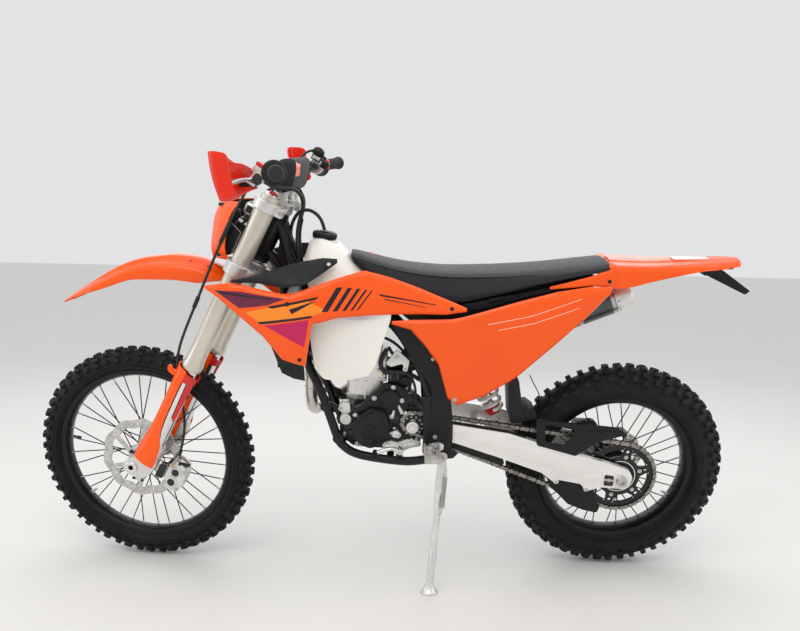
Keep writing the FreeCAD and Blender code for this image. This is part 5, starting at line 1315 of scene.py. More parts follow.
# side panels
SP = [(-28, 838, 848, 152, 152), (-82, 821, 851, 150, 152), (-125, 772, 852, 147, 152), (-165, 716, 853, 144, 152), (-196, 610, 854, 138, 150),
      (-226, 588, 860, 137, 150), (-300, 618, 882, 139, 148), (-391, 678, 910, 140, 144), (-490, 772, 936, 136, 136), (-583, 862, 950, 126, 124),
      (-645, 930, 948, 116, 114)]
SPR = [(-28, 838, 848, 158, 158), (-82, 821, 851, 158, 158), (-125, 772, 852, 160, 158), (-165, 716, 853, 164, 158), (-196, 610, 854, 164, 158),
       (-226, 600, 860, 164, 156), (-300, 640, 882, 164, 152), (-391, 800, 910, 152, 146), (-490, 862, 936, 140, 136), (-583, 908, 950, 126, 124),
       (-645, 934, 948, 116, 114)]
panel_m = M("panel_orange", ORANGE, 0.26, spec=0.35, coat=0.12, coat_rough=0.06).vary(6, 0.04).roughen(24, 0.18, 0.3)
cur = panel_m.basesock
# thin pale lines along the moulded ridge: painted highlights on its edges
for a, b in (((-300, 842), (-420, 868)), ((-420, 868), (-560, 918)), ((-330, 826), (-432, 848)), ((-432, 848), (-556, 892))):
    cur = paint(panel_m, cur, [[(a[0], a[1] - 0.8), (b[0], b[1] - 0.8), (b[0], b[1] + 0.8), (a[0], a[1] + 0.8)]], srgb(255, 214, 190))
panel_m.base(cur)
p = Piece("side_panels_moulded", BIKE, "chassis", "side_panels", sharp=24)
p.use(panel_m.m)
fold = [(([-645, -391, -226, -28], [938, 838, 700, 843]), 3.5, 90), (([-645, -420, -300, -226, -28], [941, 884, 860, 836, 846]), 1.6, 14)]
g = flank(SP, 9.0, 18, top=(9, 6), bottom=(10, 7), bulge=3.0, fold=fold)
p.skin(g, 3.2, inward=lambda c: Vector((0, -1, 0)), bevel=0.5, seg=1, limit=50)
g = flank(SPR, 9.0, 18, top=(9, 6), bottom=(10, 7), bulge=3.0, fold=fold)
p.skin(g, 3.2, inward=lambda c: Vector((0, -1, 0)), bevel=0.5, seg=1, limit=50, mirrored=True)
p.use(bolt_mat.m)
p.bolt((-216, 139.5, 610), (0, 1, 0), 7.2, 3.2, "torx")
p.bolt((-216, -166, 622), (0, -1, 0), 7.2, 3.2, "torx")
p.use(dark_bolt.m)
p.bolt((-70, 151.5, 838), (0, 1, 0), 5.5, 2.6, "torx")
p.bolt((-70, -158, 838), (0, -1, 0), 5.5, 2.6, "torx")
p.done()

# rear mudguard: arched top with two low ribs, and the flank under the seat
RF = [(-652, 1010, 98, 68), (-700, 1008.5, 97, 62), (-760, 1008, 93, 46), (-830, 1010, 88, 32), (-900, 1012.5, 82, 20), (-960, 1014.5, 74, 13), (-1005, 1016, 60, 10), (-1024, 1016.6, 46, 10), (-1030, 1017, 38, 10)]
p = Piece("rear_mudguard", BIKE, "chassis", "rear_fender", sharp=26)
p.use(orange.m)
xs = [t[0] for t in RF][::-1]
vals = np.array([t[1:] for t in RF][::-1], float)
X = np.concatenate([np.linspace(-652, -1000, 46), np.linspace(-1004, -1030, 9)])
grid = []
for x, v in zip(X, pchip(xs, vals, X)):
    z, w, d = v
    d = max(d, 10)
    fade = max(0.0, min(1.0, (x + 1030) / 300))
    half = [(0, 0), (0.22, -0.2), (0.30, -0.6), (0.34, -2.4 * fade - 0.8), (0.44, -3.0 * fade - 1.0), (0.60, -3.4 * fade - 1.6), (0.72, -2.6 * fade - 3.0), (0.80, -5.5), (0.90, -9), (0.965, -14 - 0.06 * d),
            (0.99, -10 - 0.45 * d), (1.0, -8 - 0.75 * d), (1.0, -d - 2)]
    half = [(a * w, max(b, -d - 2)) for a, b in half]
    grid.append([(x, -y, z + dz) for y, dz in half[::-1]] + [(x, y, z + dz) for y, dz in half[1:]])
p.skin(grid, 3.4, inward=lambda c: Vector((0, 0, -1)) if abs(c.y) < 60 else Vector((0, -c.y, 0)), bevel=0.5, seg=1, limit=50)
RFS = [(-470, 940, 948, 121, 121), (-520, 944, 960, 119, 117), (-583, 950, 976, 113, 108), (-657, 944, 1000, 101, 98)]
g = flank(RFS, 7.0, 6, top=(5, 3), bottom=(5, 2), bulge=1.0)
both_sides(p, g, 3.0, bevel=0.5, seg=1, limit=50)
# crossing under the seat's tail
p.prism([(-655, 996), (-655, 1006), (-640, 1000), (-640, 990)], -96, 96, bevel=0.6)
p.use(white_mark.m)
p.prism(rounded([(-880, -24), (-985, -18), (-985, 18), (-880, 24)], 6, 4), 1013.0, 1015.6, bevel=0.4, plane='XY', at=T(0, 0, 0) @ R(1.15, 'Y') @ T(20.4, 0, -18.7))
p.use(dark_bolt.m)
p.bolt((-640, 103, 962), (0, 1, 0), 5.5, 2.4, "torx", both=True)
p.done()

# front mudguard: raised spine, recessed channel, flared flank
FF = [(445, 944, 46, 18), (490, 966, 64, 44), (541, 984, 72, 66), (610, 990, 76, 66), (684, 982, 78, 60),
      (737, 969, 78, 52), (783, 951, 76, 50), (830, 926, 70, 42), (880, 896, 60, 28), (925, 868, 48, 16), (950, 851, 38, 9), (962, 843, 28, 6)]
p = Piece("front_mudguard", STEER, "steering", "front_fender", sharp=24)
p.use(orange.m)
xs = [t[0] for t in FF]
vals = np.array([t[1:] for t in FF], float)
X = np.concatenate([np.linspace(445, 940, 64), np.linspace(944, 962, 7)])
grid = []
for x, v in zip(X, pchip(xs, vals, X)):
    z, w, d = v
    d = max(d, 8)
    f = max(0.0, min(1.0, (962 - x) / 160)) * max(0.3, min(1.0, (x - 430) / 60))
    half = [(0, 0), (0.16, -0.4), (0.30, -1.6), (0.37, -3.2), (0.42, -6 * f - 2), (0.50, -11 * f - 3), (0.62, -13 * f - 3.5), (0.72, -13.5 * f - 4), (0.79, -13 * f - 5), (0.87, -15 * f - 6), (0.94, -20 * f - 7),
            (0.985, -12 - 0.34 * d), (1.0, -8 - 0.62 * d), (0.985, -4 - 0.86 * d), (0.96, -d - 1)]
    half = [(a * w, max(b, -d - 2)) for a, b in half]
    grid.append([loc(x, -y, z + dz) for y, dz in half[::-1]] + [loc(x, y, z + dz) for y, dz in half[1:]])
p.skin(grid, 3.2, inward=lambda c: Vector((-0.5, 0, -1)) if abs(c.y) < 50 else Vector((0, -c.y, 0)), bevel=0.5, seg=1, limit=50)
p.use(dark_bolt.m)
for x, y in ((505, 30), (560, 30)):
    zz = float(pchip(xs, vals[:, 0], [x])[0]) - 10
    p.bolt(loc(x, y, zz - 3), Vector((0.45, 0, 0.9)), 6, 3, "torx", both=True)
p.done()

# head lamp mask with an opening for the lamp
MASK = [(990, 502, 86), (1018, 503, 110), (1055, 498, 120), (1100, 490, 118), (1132, 478, 102), (1152, 466, 76)]
p = Piece("lamp_mask", STEER, "steering", "headlight_mask", sharp=26)
p.use(orange.m)
xs = [t[0] for t in MASK]
vals = np.array([t[1:] for t in MASK], float)
Z = np.linspace(990, 1152, 37)
NJ = 41
grid, open_ = [], []
for z, v in zip(Z, pchip(xs, vals, Z)):
    x0, w = v
    row = []
    for j in range(NJ):
        f = -1 + 2 * j / (NJ - 1)
        y = w * f
        x = x0 - 70 * f * f - 3 * (abs(f) > 0.93) * (abs(f) - 0.93) / 0.07 - 3.0 * max(0, 1 - abs(abs(f) - 0.62) / 0.05) * (z < 1120)
        row.append(loc(x, y, z))
    grid.append(row)
G = np.array(grid, float)
tmp = bmesh.new()
vs = [[tmp.verts.new(G[i, j]) for j in range(NJ)] for i in range(len(Z))]
for i in range(len(Z) - 1):
    for j in range(NJ - 1):
        zc, f = (Z[i] + Z[i + 1]) / 2, -1 + 2 * (j + 0.5) / (NJ - 1)
        half_w = 0.34 + 0.06 * (zc - 1030) / 40
        if 1022 < zc < 1080 and abs(f) < half_w:
            continue
        tmp.faces.new((vs[i][j], vs[i][j + 1], vs[i + 1][j + 1], vs[i + 1][j]))
bmesh.ops.delete(tmp, geom=[v for v in tmp.verts if not v.link_faces], context='VERTS')
bmesh.ops.recalc_face_normals(tmp, faces=tmp.faces)
tmp.normal_update()
if sum((f.normal.x * f.calc_area() for f in tmp.faces)) < 0:
    bmesh.ops.reverse_faces(tmp, faces=tmp.faces)
    tmp.normal_update()
faces, rim_e = list(tmp.faces), [e for e in tmp.edges if e.is_boundary]
nr = {v: v.normal.copy() for v in tmp.verts}
tw = {v: tmp.verts.new(v.co - nr[v] * 3.4) for v in list(tmp.verts)}
for f in faces:
    tmp.faces.new([tw[v] for v in reversed(f.verts)]).material_index = 1
for e in rim_e:
    a, b = e.verts
    tmp.faces.new((a, b, tw[b], tw[a]))
p.use(soft_black.m)
p.add(tmp, bevel=0.5, seg=1, limit=50, keep_mi=True)
p.use(black_gloss.m)
for s in (1, -1):
    p.rod(loc(462, s * 50, 1142), loc(436, s * 52, 1140), 5, n=14, bevel=1)
p.done()

# lamp body: housing, reflector and lens seen from the front, wiring behind
p = Piece("lamp_unit", STEER, "steering", "headlight", sharp=30)
p.use(soft_black.m)
lamp_rings = []
for x, w, z0, z1 in ((476, 42, 1024, 1079), (466, 44, 1022, 1082), (444, 54, 1016, 1100), (418, 52, 1018, 1104), (404, 44, 1026, 1100)):
    lamp_rings.append([loc(x, a, b) for a, b in rounded([(-w, z0), (w, z0), (w, z1), (-w, z1)], 8, 3)])
p.rings(lamp_rings, bevel=0)
p.use(black_gloss.m)
p.lathe([(15, 0), (30, 0), (32, 2), (31, 5), (28, 6), (26, 3), (16, 1)], n=40, at=Matrix.Translation(loc(474, 0, 1052)) @ frame_along(Vector(), loc(1, 0, 0) - loc(0, 0, 0)).to_3x3().to_4x4(), closed_profile=True)
p.use(machined.m)
p.lathe([(0, 0.5), (10, 1), (20, 3.2), (26, 6), (26, 6.6), (19, 3.8), (10, 1.6), (0, 1.2)], n=40, at=Matrix.Translation(loc(472.5, 0, 1052)) @ frame_along(Vector(), loc(1, 0, 0) - loc(0, 0, 0)).to_3x3().to_4x4())
p.use(glass.m)
p.lathe([(27, 6), (20, 8.6), (10, 10.2), (0, 10.8)], n=40, at=Matrix.Translation(loc(472.5, 0, 1052)) @ frame_along(Vector(), loc(1, 0, 0) - loc(0, 0, 0)).to_3x3().to_4x4())
p.use(blackp.m)
# bracket plates, relay blocks and connectors behind the mask
for a, b, bv in (((404, 30, 1100), (438, 62, 1128), 2), ((410, -62, 1096), (440, -30, 1124), 2), ((398, 20, 1042), (412, 58, 1072), 2), ((432, 54, 1030), (462, 60, 1086), 1.5), ((396, -50, 1040), (410, -24, 1076), 2)):
    c = [loc(x, y, z) for x in (a[0], b[0]) for y in (a[1], b[1]) for z in (a[2], b[2])]
    tmp = bmesh.new()
    v = [tmp.verts.new(q) for q in c]
    for f in ((0, 1, 3, 2), (4, 6, 7, 5), (0, 4, 5, 1), (2, 3, 7, 6), (0, 2, 6, 4), (1, 5, 7, 3)):
        tmp.faces.new([v[i] for i in f])
    p.add(tmp, bevel=bv, seg=2)
p.done()

# ------------------------------------------------- frame, engine, rear parts
def keep(name, mat):
    """A CAD node that stays gets its finish here."""
    ob = frame["nodes"][name]
    if ob.material_slots:
        for s in ob.material_slots:
            s.material = mat.m
    else:
        ob.data.materials.append(mat.m)


def sp(t, n=0.0, y=0.0):
    """Point on the steering line: t up it, n forward of it (bike frame)."""
    return Vector((A0.x - SR * t + CR * n, y, A0.z + CR * t + SR * n))


def smooth_tube(p, pts, r, per=7, n=16, **kw):
    p.tube(catmull(pts, per), r, n=n, **kw)


p = Piece("frame_tubes", BIKE, "chassis", "main_frame", sharp=40)
p.use(black_paint.m)
p.rod(sp(735), sp(888), 26.8, n=40, bevel=1.5)
p.rod(sp(742), sp(750), 28.2, n=40, bevel=2)
p.rod(sp(872), sp(882), 28.2, n=40, bevel=2)
top_of = sp(888)
SPAR = [(top_of.x + 6, 12, top_of.z - 34), (250, 34, 966), (140, 40, 905), (10, 42, 838), (-55, 60, 782), (-112, 90, 690), (-146, 109, 600)]
CRADLE = [(338, 6, 1012), (300, 8, 950), (290, 10, 880), (262, 18, 800), (226, 40, 690), (182, 66, 600), (148, 80, 508), (134, 84, 468), (116, 87, 434), (62, 88, 402), (-70, 92, 385), (-150, 113, 403)]
smooth_tube(p, SPAR, 13.6, both=True)
smooth_tube(p, CRADLE, 13.6, both=True)
# swingarm plates: hollow castings with a rib round the edge
plate = rounded([(-122, 604), (-168, 622), (-205, 555), (-212, 482), (-200, 418), (-150, 398), (-128, 430), (-130, 500)], [8, 8, 22, 20, 14, 12, 18, 24], 4)
p.prism(plate, 114, 124, bevel=3, seg=3, both=True)
p.prism(rounded([(-150, 578), (-180, 560), (-196, 520), (-194, 512), (-152, 520)], 6, 3), 123, 126, bevel=1, both=True)
# gussets at the head, braces and lugs
p.prism([(sp(880).x - 18, sp(880).z), (240, 962), (250, 940), (318, 968)], 9, 15, bevel=1.5, both=True)
p.prism(rounded([(330, 1000), (250, 965), (286, 902), (306, 955)], 8, 3), -7, 7, bevel=1.5)
# closed gusset behind the head, where the tank breather ends
p.prism(rounded([(257, 1029), (293, 1029), (293, 1043), (257, 1043)], 3, 3), -21, 21, bevel=1.5, holes=())
p.lathe([(5.6, 0), (9.4, 0), (9.4, 3.2), (8.6, 4.4), (5.6, 4.4)], n=28, at=T(270.5, 0, 1042.6), closed_profile=True)
smooth_tube(p, [(290, 10, 880), (240, 26, 872), (172, 38, 905)], 9.5, both=True)
p.rod((226, -40, 690), (226, 40, 690), 11, n=16)
p.rod((-60, -92, 386), (-60, 92, 386), 11, n=16)
p.rod((116, -87, 434), (116, 87, 434), 10.5, n=16)
p.rod((-146, -109, 600), (-146, 109, 600), 13, n=16)
p.rod((-175, -124, 482), (-175, -60, 482), 17, n=24, bevel=1.5)
p.rod((-175, 60, 482), (-175, 124, 482), 17, n=24, bevel=1.5)
for a, b in (((166, 72, 556), (166, 84, 556)), ((128, 78, 456), (128, 96, 456))):
    p.rod(a, b, 17, n=24, bevel=1.5, both=True)
# engine hangers
p.prism(rounded([(176, 562), (160, 570), (128, 556), (126, 534), (160, 532)], 8, 3), 66, 71, bevel=1, both=True)
p.prism(rounded([(146, 458), (122, 478), (100, 456), (112, 432), (138, 436)], 8, 3), 67, 72, bevel=1, both=True)
p.prism(rounded([(-45, 392), (-20, 392), (-26, 422), (-40, 422)], 4, 3), 62, 70, bevel=1, both=True)
# weld beads where the tubes meet the head and the plates
for c, r, ax in ((sp(756), 29.0, sp(888) - sp(735)), (sp(866), 29.0, sp(888) - sp(735))):
    m = frame_along(c, c + ax)
    beads = [(math.cos(2 * math.pi * k / 60) * 28.0, math.sin(2 * math.pi * k / 60) * 28.0, 0.0) for k in range(61)]
    p.tube(beads, 2.0, n=6, radii=[2.0 + 0.7 * (k % 2) for k in range(61)], caps=False, at=m)
p.use(dark_bolt.m)
for c in ((166, 84, 556), (128, 96, 456)):
    p.bolt(c, (0, 1, 0), 7.5, 6, "hex", both=True)
p.bolt((-175, 124, 482), (0, 1, 0), 13, 5, "hex", both=True)
p.done()

p = Piece("airbox_and_tail_frame", BIKE, "chassis", "subframe", sharp=30)
p.use(blackp.m)
AB = [(-40, 70, 852, 905), (-130, 92, 800, 878), (-250, 104, 790, 896), (-400, 104, 800, 930), (-520, 100, 850, 955), (-600, 88, 905, 974)]
xs = [a[0] for a in AB][::-1]
vals = np.array([a[1:] for a in AB][::-1], float)
X = np.linspace(-600, -40, 40)
loops = []
for x, v in zip(X, pchip(xs, vals, X)):
    w, z0, z1 = v
    w -= 1
    loops.append([(x, b, c) for b, c in rounded([(-w, z0 + 1), (w, z0 + 1), (w, z1 - 1), (-w, z1 - 1)], [14, 14, 8, 8], 3)])
p.rings(loops)
# louvres and ribs on the flanks, seen in the gap under the seat
for k, (x0, x1) in enumerate(((-300, -344), (-352, -396), (-404, -448), (-456, -500))):
    za, zb = 902 + (k * 9), 910 + (k * 9)
    p.prism(rounded([(x0, za - 10), (x1, zb - 10), (x1, zb + 4), (x0, za + 4)], 3, 3), 102, 106, bevel=1, both=True)
p.prism(rounded([(-120, 868), (-280, 884), (-460, 934), (-590, 962), (-592, 952), (-462, 922), (-280, 872), (-120, 858)], 3, 2), 96, 108, bevel=1.5, both=True)
p.use(dark_bolt.m)
for x, z in ((-200, 872), (-470, 930)):
    p.bolt((x, 108, z), (0, 1, 0), 5.5, 3, "torx", both=True)
p.done()

# inner rear flap, its strap, and the loose strap end under the seat
p = Piece("inner_flap", BIKE, "chassis", sharp=40)
p.use(soft_black.m)
p.prism(rounded([(-384, 640), (-414, 646), (-440, 512), (-428, 506), (-398, 506)], 5, 3), -58, 58, bevel=2)
p.prism(rounded([(-396, 508), (-440, 506), (-478, 516), (-478, 534), (-452, 552), (-404, 530)], 6, 3), -50, 50, bevel=2)
strap = [(-440, 92, 672), (-452, 94, 648), (-465, 95, 628), (-473, 95, 610)]
p.tube(bspline(strap, 3), 3.0, ring=[(-9, -1.4), (9, -1.4), (9, 1.4), (-9, 1.4)])
p.done()

# ---- engine
p = Piece("engine_case", BIKE, "chassis", "crankcase", sharp=30)
p.use(dark_cast.m)
CASE = [(-118, 420), (-40, 412), (70, 418), (116, 442), (126, 480), (116, 530), (86, 555), (-30, 565), (-92, 571), (-126, 540), (-129, 470)]
p.prism(rounded(CASE, 12, 4), -59, 61, bevel=4, seg=3)
grow = rounded([(x * 1.018, 490 + (z - 490) * 1.018) for x, z in CASE], 12, 4)
p.prism(grow, -3, 2, bevel=0.8)
p.prism(rounded([(-118, 430), (-60, 416), (92, 426), (118, 478), (108, 534), (60, 552), (-98, 560), (-124, 520)], 12, 4), 60, 65.5, bevel=1.5)
p.prism(rounded([(-118, 430), (-60, 416), (92, 426), (118, 478), (108, 534), (60, 552), (-98, 560), (-124, 520)], 12, 4), -61.5, -58, bevel=1.2)
# casting ribs along the case and the oil gallery
for x in (-96, -72, -48, 20, 52, 84):
    p.prism(rounded([(x - 2.5, 413), (x + 2.5, 413), (x + 2.5, 428), (x - 2.5, 428)], 1.5, 2), -46, 46, bevel=1)
p.rod((86, 62, 452), (40, 62, 424), 6, n=14, bevel=2)
p.use(bolt_mat.m)
for x, z in ((72, 429), (112, 462), (-112, 446), (-118, 520), (106, 520)):
    p.rod((x, 60, z), (x, 70, z), 7.5, n=18, bevel=1.5)
    p.bolt((x, 70, z), (0, 1, 0), 4.6, 4.5, "hex")
p.bolt((20, -20, 412), (0, 0, -1), 8, 6, "hex")
p.done()

p = Piece("engine_side_covers", BIKE, "chassis", "engine_covers", sharp=30)
p.use(cover_black.m)
IGN = [(89, 503), (63, 535), (31, 560), (-10, 553), (-18, 536), (-27, 502), (-22, 467), (0, 441), (29, 427), (63, 440), (82, 471)]
p.prism(rounded([(x * 1.06, 490 + (z - 490) * 1.06) for x, z in IGN], 10, 4), 65.8, 73, bevel=1.5)
p.prism(rounded(IGN, [12, 10, 14, 14, 14, 22, 22, 22, 22, 22, 22], 5), 72, 99, bevel=7, seg=4)
p.prism(rounded([(x * 0.80 + 6, 490 + (z - 490) * 0.80) for x, z in IGN], 14, 5), 98, 102.5, bevel=2, seg=3)
face = T(31, 0, 479) @ R(-90, 'X')
p.lathe([(24, 101.5), (24, 104.6), (22.4, 106), (20.6, 104.6), (20, 101.8), (8.6, 101.4), (8, 103.6), (6.8, 104.4), (5.6, 103.6), (5.2, 101.2), (0, 101.0)], n=48, at=face)
p.prism(rounded([(28, 556), (-6, 549), (-14, 537), (-13, 528), (-4, 536), (24, 546)], 3, 3), 97, 104, bevel=1.5)
p.use(dark_cast.m)
for x, z in ((79, 528), (-30, 548), (-34, 470), (6, 430), (60, 430), (90, 470)):
    p.rod((x, 64, z), (x, 76, z), 7.4, n=18, bevel=1.5)
p.use(bolt_mat.m)
for x, z in ((79, 528), (-34, 470), (60, 430)):
    p.bolt((x, 76, z), (0, 1, 0), 4.6, 4.5, "hex")
# right side: clutch cover and its cap, water pump housing
p.use(cover_black.m)
p.prism(circle2(-14, 496, 66, 64), -96, -62.5, bevel=6, seg=4)
p.prism(circle2(-14, 496, 54, 64), -102.5, -95, bevel=3, seg=3)
p.prism(rounded([(36, 560), (84, 540), (104, 492), (84, 448), (40, 436), (52, 496)], 12, 4), -86, -62.5, bevel=5, seg=3)
p.use(machined.m)
p.lathe([(30, 102.4), (30, 103.6), (26, 103.9), (26, 102.4)], n=48, at=T(-14, 0, 496) @ R(90, 'X'), closed_profile=True)
p.use(silver.m)
p.prism(circle2(72, 480, 26, 40), -96, -84, bevel=4, seg=3)
p.rod((72, -90, 480), (118, -90, 520), 11, n=20, bevel=2)
p.use(hose.m)
p.bar([(112, -90, 514), (136, -90, 536), (176, -92, 560), (214, -96, 622), (238, -96, 690), (246, -98, 718)], 10.5)
p.use(bolt_mat.m)
for k in range(8):
    a = 2 * math.pi * k / 8 + 0.2
    p.bolt((-14 + 60.5 * math.cos(a), -95.5, 496 + 60.5 * math.sin(a)), (0, -1, 0), 4.4, 3.8, "hex")
p.done()

# dark upper case with the round cap, plus the small hardware on the left
p = Piece("engine_left_dressing", BIKE, "chassis", sharp=30)
p.use(cover_black.m)
p.prism(rounded([(88, 549), (60, 560), (38, 586), (-2, 626), (-26, 633), (-52, 629), (-79, 609), (-83, 582), (-78, 548), (-48, 528), (-18, 527), (40, 540)], 9, 4), 60, 84, bevel=4, seg=3)
small = T(-27, 0, 588) @ R(-90, 'X')
p.lathe([(30, 83), (30, 94), (28.5, 96.5), (25, 97.6), (24, 96.2), (18, 95.6), (0, 95.2)], n=48, at=small)
p.prism(circle2(-112, 500, 33, 48), 60, 80, bevel=4, seg=3)
p.prism(rounded([(-76, 560), (-112, 556), (-142, 530), (-150, 470), (-120, 446), (-70, 450), (-50, 480), (-58, 530)], 12, 4), 60, 69.5, bevel=3)
p.use(bolt_mat.m)
for x, z in ((20, 587), (-36, 622), (-63, 581), (-75, 540)):
    p.bolt((x, 83.5, z), (0, 1, 0), 6.0, 5.0, "hex")
p.use(machined.m)
cap = T(-97, 0, 499) @ R(-90, 'X')
p.lathe([(0, 86), (19.6, 86), (20.2, 94), (18.6, 97), (12.5, 97.4), (11.6, 95.4), (9.2, 95.2), (8.4, 97), (0, 97)], n=44, at=cap)
p.use(steel.m)
for k in range(13):
    a = 2 * math.pi * k / 13
    p.prism([(-97 + 27 * math.cos(a - .07), 499 + 27 * math.sin(a - .07)), (-97 + 32.5 * math.cos(a - .04), 499 + 32.5 * math.sin(a - .04)),
             (-97 + 32.5 * math.cos(a + .04), 499 + 32.5 * math.sin(a + .04)), (-97 + 27 * math.cos(a + .07), 499 + 27 * math.sin(a + .07))], 80, 84, bevel=0)
# starter end, its ring and ears
p.use(silver.m)
st = T(106, 0, 514) @ R(-90, 'X')
p.lathe([(0, 58), (17.0, 58), (17.6, 76), (16.4, 79), (12.6, 79.4), (11.8, 76.6), (8.8, 76.4), (8.2, 79), (5.2, 79.3), (4.2, 77), (0, 77)], n=44, at=st)
p.prism(rounded([(128, 552), (116, 566), (94, 566), (92, 536), (104, 526), (124, 536)], 6, 3), 44, 70, bevel=3)
p.rod((122, 50, 546), (122, 74, 546), 7.6, n=20, bevel=2)
p.rod((76, 64, 529), (76, 82, 529), 7.0, n=20, bevel=1.5)
# bright lower casting round the shift shaft
p.prism(rounded([(-4, 424), (-12, 440), (-34, 446), (-52, 441), (-84, 452), (-124, 446), (-126, 430), (-96, 424), (-70, 412), (-40, 420)], 6, 3), 60, 78, bevel=2.5)
p.prism(rounded([(-78, 446), (-110, 444), (-112, 432), (-84, 430)], 5, 3), 77, 83, bevel=1.5)
p.rod((-22, 60, 432), (-22, 84, 432), 7.5, n=20, bevel=1.5)
# clutch hose banjo and small lines between the covers
p.rod((-52, 78, 566), (-66, 90, 540), 5.6, n=14, bevel=1.5)
p.rod((-40, 82, 548), (-36, 92, 532), 5.0, n=14, bevel=1.5)
p.prism(rounded([(-50, 486), (-36, 480), (-36, 462), (-56, 458), (-66, 470)], 5, 3), 66, 88, bevel=2.5)
p.use(bolt_mat.m)
p.bolt((122, 74, 546), (0, 1, 0), 5.0, 5, "hex")
p.bolt((-34, 92, 532), (0, 1, 0), 5.6, 5, "hex")
for x, z, r in ((-42, 493, 4), (-58, 470, 4), (-124, 505, 3.6), (-124, 478, 3.6), (-96, 540, 4.2), (-96, 457, 4.2)):
    p.rod((x, 66, z), (x, 90 if r > 3.8 else 74, z), r, n=12, bevel=1)
p.done()

# cylinder, head and cam cover
tilt_c = T(50, 0, 572.3) @ R(-3, 'Y') @ T(-50, 0, -572.3)
p = Piece("cylinder_and_head", BIKE, "chassis", "cylinder", sharp=30)
p.use(silver.m)


def tapered(z0, z1, a0, a1, r=12, **kw):
    """Block between two rectangles (x0, x1, y) at two heights."""
    loops_ = []
    for z, (xa, xb, y) in ((z0, a0), (z0 + (z1 - z0) * 0.5, tuple((u + v) / 2 for u, v in zip(a0, a1))), (z1, a1)):
        loops_.append([(a, b, z) for a, b in rounded([(xa, -y), (xb, -y), (xb, y), (xa, y)], r, 4)])
    p.rings(loops_, at=tilt_c, **kw)


tapered(569, 586, (8, 92, 50), (-2, 104, 57))
tapered(586, 640, (-2, 104, 56), (-4, 106, 56))
p.box((-5, -57, 586), (105, 57, 590), bevel=1, at=tilt_c)
p.box((-13, -61, 636), (111, 61, 644), bevel=1.5, at=tilt_c)
tapered(643, 700, (-12, 110, 59), (-12, 110, 60))
tapered(700, 733, (-12, 110, 60), (-6, 106, 57))
p.prism(rounded([(12, 656), (90, 656), (96, 700), (4, 706)], 10, 3), 59, 62, bevel=1.5, at=tilt_c, both=True)
p.prism(rounded([(46, 574), (52, 574), (54, 634), (44, 634)], 2, 2), 53, 58.5, bevel=1, at=tilt_c)
p.prism(rounded([(76, 590), (82, 590), (84, 634), (74, 634)], 2, 2), 53, 58.5, bevel=1, at=tilt_c)
# exhaust and inlet stubs
p.rod((104, 0, 684), (132, 0, 685), 25, n=32, bevel=3)
p.use(cover_black.m)
p.prism(rounded([(4, 731), (98, 731), (94, 753), (10, 753)], 8, 4), -50, 50, bevel=5, seg=3, at=tilt_c)
for x in (26, 50, 74):
    p.box((x - 2, -44, 752), (x + 2, 44, 755), bevel=1, at=tilt_c)
p.use(bolt_mat.m)
for x, y in ((8, 55), (96, 55), (8, -55), (96, -55)):
    p.bolt(tilt_c @ Vector((x, y, 644)), (0, 0, 1), 6, 6, "hex")
for x in (14, 90):
    p.bolt(tilt_c @ Vector((x, 61.5, 672)), (0, 1, 0), 4.6, 4, "torx", both=True)
# throttle body, inlet rubber, injector, spark lead and hoses
p.use(soft_black.m)
p.rod((-10, 4, 664), (-58, 4, 668), 27, n=32, bevel=3)
p.rod((-54, 4, 668), (-98, 4, 690), 31, r2=36, n=32, bevel=3)
p.rod((-96, 4, 690), (-118, 4, 782), 34, r2=44, n=32, bevel=3)
p.use(blackp.m)
p.prism(rounded([(-20, 664), (-84, 667), (-88, 622), (-62, 612), (-20, 620)], 8, 3), 18, 64, bevel=3)
p.prism(rounded([(-26, 660), (-50, 662), (-50, 640), (-28, 638)], 5, 3), 62, 72, bevel=2)
p.rod((-70, 30, 640), (-70, 72, 640), 13, n=24, bevel=2)
p.box((-84, 26, 612), (-50, 58, 628), bevel=3)
p.use(hose.m)
p.bar([(-16, 66, 738), (-2, 70, 716), (4, 72, 684), (-10, 72, 664), (-48, 70, 667), (-88, 66, 662), (-116, 60, 640)], 6.5)
p.bar([(-20, 60, 742), (-34, 66, 716), (-60, 68, 700), (-96, 66, 690), (-116, 60, 676)], 5)
p.bar([(40, 40, 752), (20, 54, 772), (-16, 58, 768), (-52, 52, 742), (-84, 50, 700), (-92, 54, 640), (-84, 60, 600)], 4.5)
p.bar([(-40, 66, 612), (-64, 74, 596), (-96, 76, 588), (-112, 74, 560), (-118, 70, 520)], 5.5)
p.bar([(-90, 66, 650), (-106, 72, 620), (-100, 78, 580), (-120, 76, 548)], 4)
p.use(silver.m)
stay = rounded([(-12, 694), (-45, 738), (-83, 704), (-77, 669), (-63, 673), (-67, 696), (-28, 684)], [6, 6, 8, 4, 4, 10, 6], 3)
p.prism(stay, 66, 74, bevel=1.5)
p.prism(rounded([(-22, 698), (-44, 726), (-66, 706)], 5, 3), 73, 77, bevel=1)
p.use(gold.m)
p.rod((-8, 64, 655), (-8, 74, 655), 5, n=14, bevel=1)
p.use(bolt_mat.m)
p.bolt((-72, 74, 676), (0, 1, 0), 4.5, 4, "hex")
p.bolt((-44, 77, 716), (0, 1, 0), 5, 4, "hex")
p.done()

